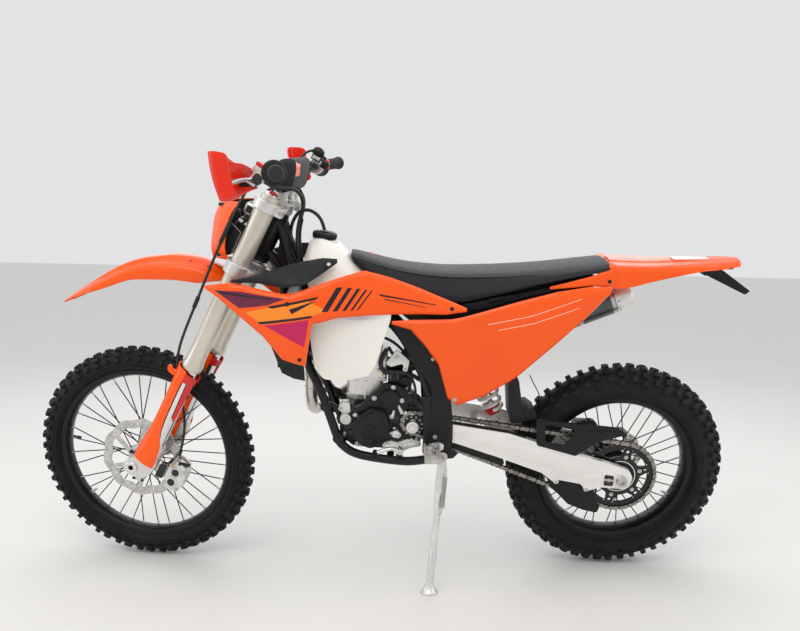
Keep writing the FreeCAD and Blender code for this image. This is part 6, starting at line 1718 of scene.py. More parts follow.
# exhaust
HEADER = [(127, 0, 684), (166, 0, 690), (204, -4, 672), (217, -14, 610), (220, -34, 535), (213, -70, 492), (184, -112, 492), (130, -134, 520), (50, -134, 575), (-60, -131, 650), (-190, -128, 690), (-330, -118, 712), (-414, -115, 734)]
p = Piece("header_pipe", BIKE, "chassis", "exhaust_header", sharp=40)
p.use(exhaust.m)
path = catmull(HEADER, 9)
rads = [19.2] * len(path)
for k in range(12):
    rads[k] = 19.2 + 2.6 * max(0, 1 - abs(k - 4) / 4)
p.tube(path, 19.2, n=28, radii=rads)
for k, w in ((10, 1.2), (30, 1.1), (46, 1.1), (58, 1.2), (72, 1.1), (86, 1.1)):
    k = min(k, len(path) - 2)
    c, d = Vector(path[k]), (Vector(path[k + 1]) - Vector(path[k - 1])).normalized()
    p.rod(c - d * 1.6, c + d * 1.6, 19.2 + w, n=28, bevel=0.8)
p.use(steel.m)
p.rod((124, 0, 684), (131, 0, 684.5), 33, n=36, bevel=2)
for s in (1, -1):
    p.rod((118, s * 28, 684), (140, s * 28, 685), 4.6, n=14)
    p.bolt((140, s * 28, 685), (1, 0, 0), 6, 6, "hex")
c, d = Vector(path[24]), (Vector(path[25]) - Vector(path[23])).normalized()
p.rod(c - d * 12, c + d * 12, 21.4, n=32, bevel=1.5)
p.done()

p = Piece("muffler", BIKE, "chassis", "silencer", sharp=35)
S0, S1 = Vector((-416, -115, 736)), Vector((-765, -117, 882))
sm = frame_along(S0, S1)
L = (S1 - S0).length
p.use(steel.m)
p.lathe([(0, 1), (20, 1), (24, 6), (34, 18), (45, 34), (47.4, 42), (47.4, 46), (0, 46)], n=56, at=sm)
p.use(sil_mat.m)
p.lathe([(0, 44), (46.6, 44), (47.2, 48), (47.2, L - 58), (46.6, L - 54), (0, L - 54)], n=56, at=sm)
p.use(silver.m)
p.lathe([(0, L - 56), (47.8, L - 56), (47.8, L - 42), (46, L - 36), (41, L - 12), (36.5, L - 3), (34.5, L - 0.4), (28, L - 0.2), (26.5, L - 3), (20, L - 6), (19, L - 3), (15.5, L - 3), (14.5, L - 34), (0, L - 34)], n=56, at=sm)
p.use(steel.m)
for d in (62, 200, L - 70):
    p.lathe([(47.2, d), (48.0, d + 0.4), (48.0, d + 11.6), (47.2, d + 12)], n=56, at=sm, closed_profile=False)
p.use(dark_bolt.m)
for d in (L - 48,):
    for k in range(8):
        a = 2 * math.pi * k / 8
        q = sm @ Vector((47.2 * math.cos(a), 47.2 * math.sin(a), d))
        o = sm @ Vector((0, 0, d))
        p.rod(q - (q - o).normalized() * 1, q + (q - o).normalized() * 0.8, 2.6, n=10, bevel=0.3)
p.done()

# ---- radiators and their guards
p = Piece("radiator_pair", BIKE, "chassis", "radiators", sharp=30)
p.use(radiator_m.m)
p.box((234, 70, 728), (264, 160, 906), bevel=1, both=True)
p.use(silver.m)
p.prism(rounded([(233, 904), (265, 904), (265, 929), (233, 929)], 6, 3), 67, 163, bevel=2.5, both=True)
p.prism(rounded([(233, 705), (265, 705), (265, 730), (233, 730)], 6, 3), 67, 163, bevel=2.5, both=True)
p.box((232.5, 66.5, 726), (265.5, 70.5, 908), bevel=0.8, both=True)
p.box((232.5, 159.5, 726), (265.5, 163.5, 908), bevel=0.8, both=True)
p.use(hose.m)
p.bar([(250, 66, 716), (250, 40, 708), (250, 0, 704), (250, -40, 708), (250, -66, 716)], 11)
p.bar([(240, 66, 918), (222, 48, 922), (190, 34, 900), (150, 30, 820), (120, 26, 752)], 11)
p.use(steel.m)
for y in (60, -60):
    p.rod((250, y - 2.5, 715.5), (250, y + 2.5, 716.5), 12.6, n=24, bevel=1)
p.done()

RG = [(318, 790, 812, 176, 200), (284, 690, 812, 170, 204), (250, 674, 800, 172, 204), (218, 668, 722, 172, 196)]
p = Piece("radiator_guard_pair", BIKE, "chassis", "radiator_guards", sharp=26)
p.use(blackp.m)
g = flank(RG, 7.0, 8, top=(5, 3), bottom=(8, 5), bulge=2.0, ysmooth=False)
both_sides(p, g, 3.4, bevel=0.5, seg=1, limit=50)
# louvres in front of the cores
for k in range(7):
    z = 724 + k * 20
    p.prism([(270, z + 4), (292, z - 4), (293, z - 1.5), (271, z + 6.5)], 72, 160, bevel=0.6, seg=1, both=True)
p.prism(rounded([(268, 706), (296, 706), (296, 862), (268, 862)], 4, 3), 66, 71.5, bevel=1, both=True)
p.prism(rounded([(268, 706), (296, 706), (296, 862), (268, 862)], 4, 3), 160, 164, bevel=1, both=True)
p.done()

# ---- frame guards: moulded shields over the swingarm plates
FGL = [(820, -26, -100), (785, -49, -122), (750, -72, -146), (690, -110, -184), (625, -147, -203), (560, -148, -213), (520, -136, -217), (480, -131, -218), (440, -131, -216)]
p = Piece("frame_guard_pair", BIKE, "chassis", "frame_guards", sharp=26)
p.use(blackp.m)


def guard(rows, y_at, mirrored):
    zs = [r[0] for r in rows][::-1]
    vs_ = np.array([r[1:] for r in rows][::-1], float)
    Z = np.linspace(zs[0], zs[-1], 46)
    grid_ = []
    for z, v in zip(Z, pchip(zs, vs_, Z)):
        xa, xb = v
        w = xa - xb
        row = []
        for j in range(13):
            f = j / 12.0
            e = min(f, 1 - f) * w
            y = y_at(z) - 7 * max(0, 1 - e / 7.0) ** 1.6 - 1.4 * (0.32 < f < 0.68) + 0.8 * math.exp(-((f - 0.5) / 0.07) ** 2)
            row.append((xa - w * f, y, z))
        grid_.append(row)
    p.skin(grid_, 3.4, inward=lambda c: Vector((0, -1, 0)), bevel=0.5, seg=1, limit=50, mirrored=mirrored)


guard(FGL, lambda z: 131.5 - 0.10 * max(0.0, z - 620), False)
guard([(600, -146, -204)] + FGL[5:], lambda z: 131.5, True)
p.use(bolt_mat.m)
p.bolt((-149, 121.5, 727), (0, 1, 0), 5.2, 2.8, "torx")
p.bolt((-164, 131.2, 485), (0, 1, 0), 6.6, 3.2, "torx", both=True)
p.use(dark_bolt.m)
p.bolt((-176, 131.0, 560), (0, 1, 0), 5.2, 2.4, "torx", both=True)
p.done()

# ---- swingarm
p = Piece("swing_arm", BIKE, "chassis", "swingarm", sharp=30)
p.use(swing_al.m)
ARM = [(-148, 500), (-190, 520), (-224, 517), (-389, 492), (-591, 428), (-687, 404), (-765, 378), (-780, 350), (-765, 312), (-685, 318), (-641, 304), (-620, 328),
       (-549, 341), (-535, 334), (-496, 364), (-357, 414), (-224, 458), (-170, 460), (-148, 475)]
arm = rounded(ARM, [14, 14, 20, 60, 60, 30, 26, 26, 20, 14, 6, 8, 10, 6, 22, 60, 40, 16, 12], 6)
p.prism(arm, 91.2, 110.8, holes=(circle2(-HALF, ZR, 13, 28),), bevel=4.5, seg=4, both=True)
# shallow pressed field along the outside
p.prism(rounded([(-240, 503), (-389, 478), (-590, 414), (-676, 392), (-672, 336), (-600, 348), (-500, 384), (-357, 432), (-240, 470)], [18, 40, 40, 12, 12, 30, 30, 40, 18], 5), 110.2, 112.0, bevel=1.2, seg=2, both=True)
for x, z, y in ((-545, 334, 91), (-640, 310, 91)):
    p.rod((x, 88, z), (x, 111, z), 8.2, n=20, bevel=1.5)
# cross member, pivot boss and shock fork
p.prism(rounded([(-372, 430), (-356, 470), (-310, 482), (-288, 470), (-290, 430), (-330, 414)], 10, 4), -92, 92, bevel=3, seg=3)
p.rod((-175, -90, 482), (-175, 90, 482), 22, n=32, bevel=2)
for s in (1, -1):
    p.prism(rounded([(-380, 490), (-352, 515), (-334, 500), (-330, 450), (-372, 452)], 7, 3), 20 * s - 4, 20 * s + 4, bevel=1.5)
# axle plates, chain adjusters and the slot marks
p.prism(rounded([(-684, 372), (-758, 366), (-773, 346), (-760, 318), (-688, 322)], [8, 10, 14, 12, 8], 4), 110, 114.4, bevel=1.6, seg=2, both=True)
p.use(machined.m)
p.prism(rounded([(-722, 360), (-766, 352), (-766, 322), (-722, 318)], 9, 4), 113.5, 117.5, bevel=1.4, seg=2, both=True)
p.use(dark_cast.m)
p.prism(rounded([(-690, 364), (-720, 360), (-720, 324), (-690, 326)], 5, 3), 113.6, 114.9, bevel=0.4, seg=1, both=True)
p.use(bolt_mat.m)
p.rod((-690, 110, 345), (-722, 110, 342), 4.5, n=14, both=True)
p.rod((-690, 116, 347), (-722, 116, 344), 3.8, n=12, both=True)
p.rod((-700, 116, 346.4), (-708, 116, 345.6), 6.6, n=6, both=True)
for x, z in ((-545, 334), (-640, 310)):
    p.bolt((x, 111, z), (0, 1, 0), 5.4, 3, "torx")
p.rod((-360, -26, 494), (-360, 26, 494), 7, n=20, bevel=1)
# the chain's rubbing strips over and under the front of the leg
p.use(blackp.m)
up = rounded([(-192, 520), (-219, 521), (-389, 494), (-440, 480), (-442, 470), (-380, 486), (-224, 512), (-196, 514)], [6, 10, 40, 4, 4, 40, 10, 6], 4)
p.prism(up, 88, 107, bevel=1.2)
lo = rounded([(-176, 470), (-206, 454), (-237, 449), (-308, 422), (-381, 394), (-384, 382), (-372, 380), (-300, 402), (-234, 426), (-206, 440), (-180, 452)], [6, 10, 10, 30, 6, 4, 4, 30, 10, 10, 6], 4)
p.prism(lo, 68, 92.5, bevel=1.5)
p.done()

p = Piece("rear_spindle", BIKE, "chassis", "rear_axle", sharp=35)
p.use(steel.m)
ax = T(-HALF, 0, ZR) @ R(-90, 'X')
p.lathe([(8.2, -128), (12, -128), (12, 112), (18.5, 112), (18.5, 114.5), (17, 119), (16.5, 128), (8.2, 128)], n=36, at=ax, closed_profile=True)
p.lathe([(8.2, -128.6), (16, -128.6), (18, -127), (18, -117), (8.2, -117)], n=6, at=ax, closed_profile=True)
p.done()

# ---- shock: body, white spring, piggyback
p = Piece("shock_unit", BIKE, "chassis", "shock", sharp=38)
Q0, Q1 = Vector((-360, 0, 494)), Vector((-266, 0, 756))
sk = frame_along(Q0, Q1)
LS = (Q1 - Q0).length
p.use(polished.m)
p.lathe([(0, 20), (8, 20), (8, 120), (0, 120)], n=24, at=sk)
p.use(silver.m)
p.prism(rounded([(-376, 500), (-366, 520), (-348, 524), (-338, 508), (-344, 490), (-368, 486)], 7, 3), -17, 17, bevel=2)
p.lathe([(0, LS - 26), (14, LS - 26), (16, LS - 10), (14, LS + 6), (0, LS + 8)], n=28, at=sk)
p.use(red_trim_and_painted_shade.m)
p.lathe([(0, 24), (21, 24), (26, 30), (26, 38), (21, 44), (16, 50), (0, 50)], n=36, at=sk)
p.use(champagne.m)
p.lathe([(0, 128), (23, 128), (23, LS - 22), (19, LS - 18), (0, LS - 18)], n=36, at=sk)
p.lathe([(24, 200), (36, 200), (36.5, 203), (36.5, 211), (24, 214)], n=40, at=sk, closed_profile=True)
p.use(white_spring.m)
coil = []
turns, z0, z1 = 6.4, 42, 198
for k in range(int(turns * 26) + 1):
    a = 2 * math.pi * k / 26
    f = k / (turns * 26)
    ff = min(1, max(0, (f - 0.06) / 0.88))
    coil.append(sk @ Vector((31 * math.cos(a), 31 * math.sin(a), z0 + (z1 - z0) * ff)))
p.tube(coil, 5.8, n=12)
p.use(machined.m)
p.rod((-300, -50, 742), (-372, -50, 716), 19, n=28, bevel=3)
p.done()

# ------------------------------------------------ fork, bars and small parts
LO, HI, BZ = 22.0, 108.0, 960.0
S = "steering"
BEND, END = Vector((17, 226, 1012)), Vector((-26, 400, 1043))
BD = (END - BEND).normalized()
MS = Matrix.Translation((LO, HI, 0))


def on_bar(y):
    return BEND + BD * ((y - BEND.y) / BD.y)


# outer tubes
p = Piece("fork_outer_tubes", STEER, S, "fork_tubes", sharp=35)
p.use(champagne.m)
p.lathe([(24.6, 378), (24.6, 374), (29.2, 374), (30.4, 377), (30.6, 391), (29.6, 397), (27.6, 402), (27.4, 470), (27.6, 640), (28, 700), (28, 932), (26.6, 937), (22, 938), (0, 938)],
        n=56, at=MS, both=True)
p.use(rubber.m)
p.lathe([(24.2, 372.5), (26.6, 372.5), (26.6, 378), (24.2, 378)], n=40, at=MS, closed_profile=True, both=True)
p.use(machined.m)
p.lathe([(21, 937), (21, 941), (19, 942.5), (0, 942.5)], n=40, at=MS, both=True)
p.use(red_trim_and_painted_shade.m)
p.lathe([(10, 941), (10, 947), (8.6, 948), (0, 948)], n=6, at=MS, both=True)
p.done()

# inner tubes and axle feet
p = Piece("fork_inner_tubes_and_feet", STEER, S, "fork_lowers", sharp=32)
p.use(polished.m)
p.lathe([(23.8, 60), (23.8, 420), (20, 420)], n=48, at=MS, both=True)
p.use(silver.m)
foot = rounded([(50, 84), (-4, 84), (-8, 40), (-2, 4), (14, -18), (38, -26), (58, -27), (76, -20), (84, 0), (78, 19), (62, 36), (54, 60)],
               [6, 6, 10, 14, 12, 12, 10, 12, 14, 12, 12, 8], 4)
p.prism(foot, HI - 20, HI + 20, holes=[circle2(57, 0, 13.4, 32)], bevel=4, seg=3, both=True)
p.lathe([(0, 62), (30, 62), (31.5, 66), (31.5, 92), (30, 98), (26, 106), (24.2, 108), (0, 108)], n=48, at=MS, both=True)
p.prism(rounded([(4, -26), (30, -38), (48, -36), (44, -22), (20, -14)], 5, 3), HI - 13, HI + 13, bevel=2, both=True)
p.use(dark_bolt.m)
for dx, dz in ((12, -27), (38, -33)):
    p.bolt((dx, HI + 13, dz), (0, 1, 0), 4.6, 4, "torx", both=True)
p.use(machined.m)
p.lathe([(13.3, -20.6), (21, -20.6), (21, -19.4), (13.3, -19.4)], n=40, at=Matrix.Translation((57, HI, 0)) @ R(-90, 'X'), closed_profile=True, both=True)
p.done()

p = Piece("front_spindle", FRONT, S, "front_axle", sharp=35)
p.use(machined.m)
LAYF = R(-90, 'X')
p.lathe([(8.05, -126), (12.9, -126), (12.9, 126), (12.9, 128.6), (17.4, 128.6), (17.4, 133.2), (16.2, 134.2), (8.05, 134.2)], n=48, at=LAYF, closed_profile=True)
p.use(dark_cast.m)
p.lathe([(13, 51), (18, 51), (18, 84), (13, 84)], n=40, at=LAYF, closed_profile=True, bevel=0.8)
p.lathe([(13, -84), (18, -84), (18, -39), (13, -39)], n=40, at=LAYF, closed_profile=True, bevel=0.8)
p.done()

# guards over the inner tubes
gt, gr = [46, 60, 100, 150, 220, 290, 340, 372], [48, 47.5, 44, 38, 36, 36, 38, 38.5]
gb, ga = [46, 104, 126, 150, 180, 220, 280, 330, 372], [128, 126, 118, 100, 90, 84, 82, 84, 88]
gf = [46, 110, 140, 372]
ff = [-96, -98, -100, -100]
p = Piece("fork_guard_pair", STEER, S, "fork_guards", sharp=40)


def guard_grid(t0, t1, a_lo, a_hi, nt=34, na=22, cut=0.0):
    grid = []
    for i in range(nt):
        t = t0 + (t1 - t0) * i / (nt - 1.0)
        row = []
        lo, hi = a_lo(t), a_hi(t)
        for k in range(na):
            a = lo + (hi - lo) * k / (na - 1.0)
            r = float(pchip(gt, gr, t)) * (1.0 - 0.05 * max(0.0, math.cos(rad(a * 2)) * -1))
            tt = t - cut * max(0.0, (t - t0) / max(t1 - t0, 1e-6)) * (1 - math.cos(rad(a))) / 2
            tt -= 8.0 * max(0.0, 1 - (t - 60) / 60.0) * (1 - math.cos(rad(a))) / 2
            flat = 3.0 if abs(a) > 60 else 0.0
            row.append((LO + (r - flat) * math.cos(rad(a)), HI + (r - flat * 0.5) * math.sin(rad(a)), tt))
        grid.append(row)
    return grid


inward = lambda c: Vector((LO, HI, c.z)) - c
p.use(orange.m)
p.skin(guard_grid(46, 377, lambda t: float(pchip(gf, ff, t)), lambda t: float(pchip(gb, ga, t)), cut=14), thick=2.8, inward=inward, both=True)
# the back of the collar and the rear flange are the same orange plastic as the guard; they are painted red as shade and
# reflected colour
p.use(red_trim_and_painted_shade.m)
p.skin(guard_grid(336, 376, lambda t: 86, lambda t: 158, nt=6, na=14, cut=20), thick=2.6, inward=inward, both=True)
p.skin(guard_grid(336, 376, lambda t: -158, lambda t: -98, nt=6, na=10, cut=20), thick=2.6, inward=inward, both=True)
p.skin(guard_grid(206, 336, lambda t: 116 + (336 - t) * 0.06, lambda t: 152 - (336 - t) * 0.10, nt=14, na=8), thick=2.6, inward=inward, both=True)
p.use(orange.m)
p.prism(rounded([(56, 336), (70, 338), (80, 344), (84, 356), (78, 358), (68, 350), (54, 350)], 3, 3), HI + 4, HI + 20, bevel=1.5)
p.use(bolt_mat.m)
p.bolt((LO - 8, HI + 36.5, 62), (-0.5, 1, 0), 4.6, 3.6, "torx", both=True)
p.bolt((LO + 36, HI + 20.0, 82), (0.8, 0.5, 0), 4.2, 3.0, "torx", both=True)
p.done()

# triple clamps: bridges, split bosses, pinch bolts, bar posts
p = Piece("triple_clamp_set", STEER, S, "triple_clamps", sharp=30)


def bridge(t0, t1, boss, waist, mat_):
    p.use(mat_)
    h = t1 - t0
    out = [(-18, -20), (2, -70), (LO - 16, -HI + 10), (LO + 22, -HI + 10), (40, -62), (32, -24), (32, 24), (40, 62), (LO + 22, HI - 10), (LO - 16, HI - 10), (2, 70), (-18, 20)]
    out = rounded(out, [10, 16, 8, 8, 18, 16, 16, 18, 8, 8, 16, 10], 4)
    holes = [circle2(LO - 1, s * 58, 9.0, 18) for s in (1, -1)]
    p.prism(out, t0 + waist, t1 - waist, holes=holes, bevel=2.5, seg=3, plane='XY')
    p.lathe([(15.4, t0), (29, t0), (30, t0 + 1.5), (30, t1 - 1.5), (29, t1), (15.4, t1)], n=48, closed_profile=True)
    ring = [(28.2, t0), (boss - 2, t0), (boss, t0 + 2), (boss, t1 - 2), (boss - 2, t1), (28.2, t1)]
    p.lathe(ring, n=64, at=MS, closed_profile=True, start=-160, sweep=352, both=True)
    # split ears behind each tube
    for k in (-1, 1):
        p.prism(rounded([(LO - boss + 4, HI + k * 2.0), (LO - boss - 15, HI + k * 2.0), (LO - boss - 13, HI + k * 15), (LO - boss + 12, HI + k * 22)], 2.5, 3),
                t0 + 1.5, t1 - 1.5, bevel=1.5, plane='XY', both=True)
    p.use(bolt_mat.m)
    for f in ((0.3, 0.72) if h > 30 else (0.5,)):
        zz = t0 + h * f
        p.bolt((LO - boss - 7, HI + 15.5, zz), (0, 1, 0), 6.0, 6, "hex", both=True)
        p.rod((LO - boss - 7, HI - 18, zz), (LO - boss - 7, HI + 15, zz), 3.4, n=12, both=True)


bridge(692, 728, 38, 4, silver.m)
bridge(893, 922, 38, 3, silver.m)
p.use(silver.m)
for s in (1, -1):
    post = rounded([(-8, 914), (38, 914), (40, 930), (33, 940), (33, BZ - 2), (-3, BZ - 2), (-3, 940), (-10, 930)], [2, 2, 6, 6, 2, 2, 6, 6], 3)
    p.prism(post, s * 38 - 13, s * 38 + 13, bevel=2, seg=2)
    cap = [(33, BZ + 1), (33, BZ + 6), (24, BZ + 17.5), (6, BZ + 17.5), (-3, BZ + 6), (-3, BZ + 1)]
    p.prism(rounded(cap, [2, 6, 8, 8, 6, 2], 3), s * 38 - 13, s * 38 + 13, bevel=1.5)
p.use(machined.m)
p.lathe([(10, 918), (18.6, 918), (18.6, 930), (17, 932.4), (10, 932.4)], n=6, closed_profile=True)
p.lathe([(10.2, 694), (14.9, 694), (14.9, 934), (10.2, 934)], n=40, closed_profile=True)
p.use(dark_bolt.m)
for s in (1, -1):
    for yy in (-7, 7):
        p.bolt((34, s * 38 + yy, 935), (1, 0, 0.2), 4.0, 4, "torx")
# number tabs, cable guide and loom behind the mask
p.use(hose.m)
for pts, r in (([(60, 60, 830), (72, 40, 870), (66, 10, 915), (40, -10, 940)], 4.5), ([(70, -30, 822), (86, -44, 868), (70, -60, 930), (36, -70, 950)], 4.0),
               ([(64, 20, 800), (40, 44, 780), (34, 60, 740), (52, 70, 700)], 4.5), ([(76, 70, 800), (64, 84, 836), (52, 70, 870), (44, 40, 900)], 3.5)):
    p.bar(pts, r)
p.use(soft_black.m)
p.box((44, -62, 748), (96, 60, 826), bevel=8, seg=3)
p.box((50, -40, 826), (88, 30, 862), bevel=8, seg=3)
p.box((52, 26, 850), (84, 78, 884), bevel=7, seg=3)
p.prism(rounded([(96, 700), (60, 730), (60, 800), (98, 812), (112, 740)], 8, 3), 48, 84, bevel=3)
p.done()

# handlebar
p = Piece("handlebar_tube", STEER, S, "handlebar", sharp=40)
p.use(black_paint.m)
line = bspline([(15, 56, BZ), (15, 78, BZ), (16, 96, BZ + 1.6), (17.6, 160, 998), (18, 180, 1005), (17, 226, 1012), (8, 262, 1018.5), (-26, 400, 1043)], 8)
p.tube(line, 11.05, n=24, both=True)
p.rod((15, -58, BZ), (15, 58, BZ), 14.25, n=36, bevel=1)
p.rod((15, 57, BZ), (15, 68, BZ), 14.2, 11.2, n=36, both=True)
p.done()

# grips
p = Piece("grip_pair", STEER, S, "grips", sharp=40)
m = frame_along(on_bar(282), END)
p.use(grip_rub.m)
prof = [(11.4, -4), (15.5, -4), (15.5, 0)]
zz = 2.0
while zz < 112:
    prof += [(17.0, zz), (17.0, zz + 2.2), (15.9, zz + 2.8), (15.9, zz + 4.4)]
    zz += 5.0
prof += [(18.2, 113), (19.8, 115), (20.0, 121), (18.6, 124.5), (13.5, 126.2), (12.6, 125), (9, 125), (8.4, 126), (0, 126.4)]
p.lathe(prof, n=36, at=m, both=True)
mf = frame_along(on_bar(278), END)
p.lathe([(12, 0), (26, 0), (31.4, 1.2), (32.6, 2.6), (31.6, 4.2), (26, 5.2), (20, 5.4), (17, 8), (12, 8)], n=56, at=mf, both=True)
p.use(soft_black.m)
p.lathe([(20.5, 5.3), (22, 6.1), (28, 5.6), (29.5, 4.9)], n=56, at=mf, both=True)
p.done()

# lever sets: clutch on the left, front brake and throttle on the right
p = Piece("hand_lever_sets", STEER, S, "hand_levers", sharp=32)
c0 = on_bar(256)
BODY0 = Vector((c0.x + 33, 236, c0.z - 36))
BDIR = Vector((-0.15, 0.97, 0.1)).normalized()
mp = frame_along(c0, c0 + BD)
p.use(black_paint.m)
p.lathe([(11.2, 0), (17.4, 0), (18, 1.2), (18, 16.8), (17.4, 18), (11.2, 18)], n=36, at=mp, closed_profile=True, both=True)
p.use(silver.m)
p.prism(rounded([(c0.x - 2, c0.z - 12), (c0.x + 24, c0.z - 50), (c0.x + 50, c0.z - 42), (c0.x + 44, c0.z - 20), (c0.x + 14, c0.z + 8)], 6, 3), 255, 272, bevel=2, both=True)
p.use(black_gloss.m)
p.rod((c0.x + 30, 271, c0.z - 26), (c0.x + 30, 275, c0.z - 26), 9, n=24, bevel=1, both=True)
p.use(dark_cast.m)
p.lathe([(0, 0), (11, 0), (12.6, 2), (13, 6), (13, 38), (12, 43), (9, 44), (0, 44)], n=32, at=frame_along(BODY0, BODY0 + BDIR), both=True)
p.use(gold.m)
p.rod((BODY0.x, 221.3, BODY0.z), (BODY0.x, 237, BODY0.z), 6.4, n=6, bevel=0.8, both=True)
p.use(steel.m)
p.rod((BODY0.x, 229, BODY0.z), (BODY0.x, 234, BODY0.z), 9, n=24, bevel=0.8, both=True)
# reservoir
p.use(silver.m)
p.prism(rounded([(34, c0.z - 28), (66, c0.z - 22), (60, c0.z - 2), (28, c0.z - 6)], 4, 3), 228, 258, bevel=2, both=True)
p.box((c0.x + 20, 258, c0.z - 52), (c0.x + 52, 286, c0.z - 40), bevel=3, both=True)
p.use(red_trim_and_painted_shade.m)
p.prism(rounded([(27, c0.z - 5.6), (60.5, c0.z - 1.4), (59, c0.z + 7), (27, c0.z + 3)], 2.5, 3), 226, 260, bevel=1.4)
p.bolt((c0.x + 47, 272, c0.z - 54), (0, 0, -1), 6.5, 7, "hex")
p.use(black_gloss.m)
p.prism(rounded([(27, c0.z - 5.6), (60.5, c0.z - 1.4), (59, c0.z + 7), (27, c0.z + 3)], 2.5, 3), -262, -226, bevel=1.4)
# blade, seen nearly end on
p.use(machined.m)
lev = [(34, 256, 984), (48, 264, 979), (62, 284, 972), (71, 318, 966), (73, 345, 961), (73, 362, 959)]
ring = [(8.0 * math.cos(2 * math.pi * k / 14), 5.6 * math.sin(2 * math.pi * k / 14)) for k in range(14)]
p.tube(bspline(lev, 5), 6, n=14, ring=ring, both=True)
sphere = [(8.6 * math.sin(rad(a)), -8.6 * math.cos(rad(a))) for a in range(0, 181, 15)]
sphere[0], sphere[-1] = (0, -8.6), (0, 8.6)
p.lathe(sphere, n=24, at=Matrix.Translation((73, 362, 959)), both=True)
p.prism(rounded([(30, 990), (52, 984), (60, 970), (48, 962), (30, 972)], 6, 3), 252, 266, bevel=1.5, both=True)
p.use(bolt_mat.m)
p.bolt((44, 266, 976), (0, 1, 0), 6, 5, "torx", both=True)
p.use(rubber.m)
p.rod((50, 272, 966), (70, 286, 958), 7.5, n=20, bevel=2, both=True)
p.rod((c0.x + 2, 272, c0.z + 8), (c0.x + 2, 290, c0.z + 11), 4, n=12, both=True)
# switch blocks inboard
p.use(black_paint.m)
c1 = on_bar(232)
p.lathe([(11.3, 0), (19, 0), (20.5, 2), (20.5, 16), (19, 18), (11.3, 18)], n=30, at=frame_along(c1, c1 + BD), closed_profile=True)
p.box((c1.x - 30, 224, c1.z - 8), (c1.x - 8, 250, c1.z + 16), bevel=4, seg=3)
p.use(white_mark.m)
p.rod((c1.x - 30.5, 237, c1.z + 5), (c1.x - 33, 237, c1.z + 5), 4.5, n=16, bevel=0.8)
# throttle housing, cable elbow, start button
cr = on_bar(262)
mr = frame_along(cr, cr + BD)
p.use(black_gloss.m)
p.lathe([(11.3, 0), (24, 0), (27.5, 3), (28.5, 8), (27, 13), (20, 15.6), (11.3, 15.6)], n=44, at=mr, closed_profile=True, mirrored=True)
p.use(silver.m)
p.lathe([(11.3, -16), (21, -16), (24, -12), (24, -1), (11.3, -1)], n=44, at=mr, closed_profile=True, mirrored=True)
p.box((cr.x - 6, -262, cr.z + 14), (cr.x + 26, -236, cr.z + 34), bevel=4, seg=3)
p.use(blackp.m)
dome = [(0, -14), (13, -12), (18, -6), (19.5, 2), (17, 10), (11, 15), (0, 17)]
p.lathe(dome, n=32, at=Matrix.Translation((cr.x + 12, -246, cr.z + 38)) @ R(25, 'X'))
p.bar([(cr.x + 12, -246, cr.z + 44), (cr.x + 34, -230, cr.z + 40), (cr.x + 46, -200, cr.z + 10), (cr.x + 44, -150, cr.z - 26), (30, -90, 972), (-34, -40, 955), (-58, 10, 930), (-66, 34, 905)], 3.6)
p.box((cr.x - 34, -262, cr.z + 4), (cr.x - 10, -236, cr.z + 28), bevel=5, seg=3)
p.use(red_trim_and_painted_shade.m)
p.rod((cr.x - 22, -248, cr.z + 26), (cr.x - 24, -247, cr.z + 33), 6.5, n=20, bevel=1.5)
p.rod((cr.x - 33, -249, cr.z + 14), (cr.x - 37, -249, cr.z + 15), 5.5, n=20, bevel=1)
p.done()

# bar pad: foam block in a cover, wrapped round the middle of the bar
p = Piece("bar_pad_foam", STEER, S, "bar_pad", sharp=60)
p.use(soft_black.m)
BP = [(36, 955), (52.5, 985), (50.5, 1012), (40, 1034.5), (14, 1047), (-0.5, 1035), (-10, 1005), (-13, 978), (-5, 961), (20, 952.5)]
sec = [(float(a), float(b)) for a, b in catmull([(x, z, 0) for x, z in BP], 4, closed=True)[:, :2]]
cx, cz = 22.0, 1000.0
loops = []
for y, f in ((-95, 0.0), (-95, 0.55), (-94.6, 0.80), (-92.5, 0.91), (-88, 0.97), (-80, 1.0), (-40, 1.01), (0, 1.015), (40, 1.01), (80, 1.0), (88, 0.97), (92.5, 0.91), (94.6, 0.80), (95, 0.55), (95, 0.0)):
    f = max(f, 0.02)
    loops.append([(cx + (x - cx) * f, y, cz + (z - cz) * f) for x, z in sec])
p.rings(loops)
p.use(grip_rub.m)
for y in (-87, 87):
    p.tube([(cx + (x - cx) * 0.985, y, cz + (z - cz) * 0.985) for x, z in sec + sec[:1]], 1.5, n=6, caps=False)
p.use(orange.m)
p.skin([[(a[0], y, a[1]) for y in np.linspace(34, 82, 5)] for a in ((6.0, 1044.0), (1.0, 1038.6), (-2.6, 1031.6), (-6.2, 1021.8), (-9.6, 1009.0))], thick=0.8, inward=(22, 58, 1000))
pad_piece = p.done()

# hand guards
p = Piece("handguard_pair", STEER, S, "handguards", sharp=38)
HG = [(320, 195, 1196, 1244), (327, 222, 1194, 1254), (334, 250, 1190, 1261), (343, 278, 1184, 1264), (352, 305, 1177, 1276), (362, 345, 1174, 1291), (368, 375, 1176, 1293), (370, 392, 1178, 1293),
      (364, 406, 1182, 1293), (345, 413, 1184, 1293), (324, 413, 1192, 1290), (316, 413, 1202, 1282)]
keys = list(range(len(HG)))
grid = []
for u in np.linspace(0, len(HG) - 1, 46):
    x, y, z0, z1 = (float(pchip(keys, [h[i] for h in HG], u)) for i in range(4))
    row = []
    for k in range(13):
        f = k / 12.0
        bow = 5.0 * math.sin(math.pi * f)
        q = loc(x - 0.22 * (z1 - z0) * (1 - f) + bow, y, z0 + (z1 - z0) * f)
        row.append(tuple(q))
    grid.append(row)
red_o = M("handguard_plastic", srgb(228, 40, 12), 0.28, spec=0.35, coat=0.1).vary(9, 0.05).roughen(30, 0.2, 0.32)
p.use(red_o.m)
p.skin(grid, thick=3.4, inward=tuple(loc(250, 290, 1235)), bevel=0.8, both=True)
p.use(blackp.m)
p.bar([(30, 208, 1009), (54, 211, 990), tuple(loc(315, 214, 1224))], 6.2, both=True)
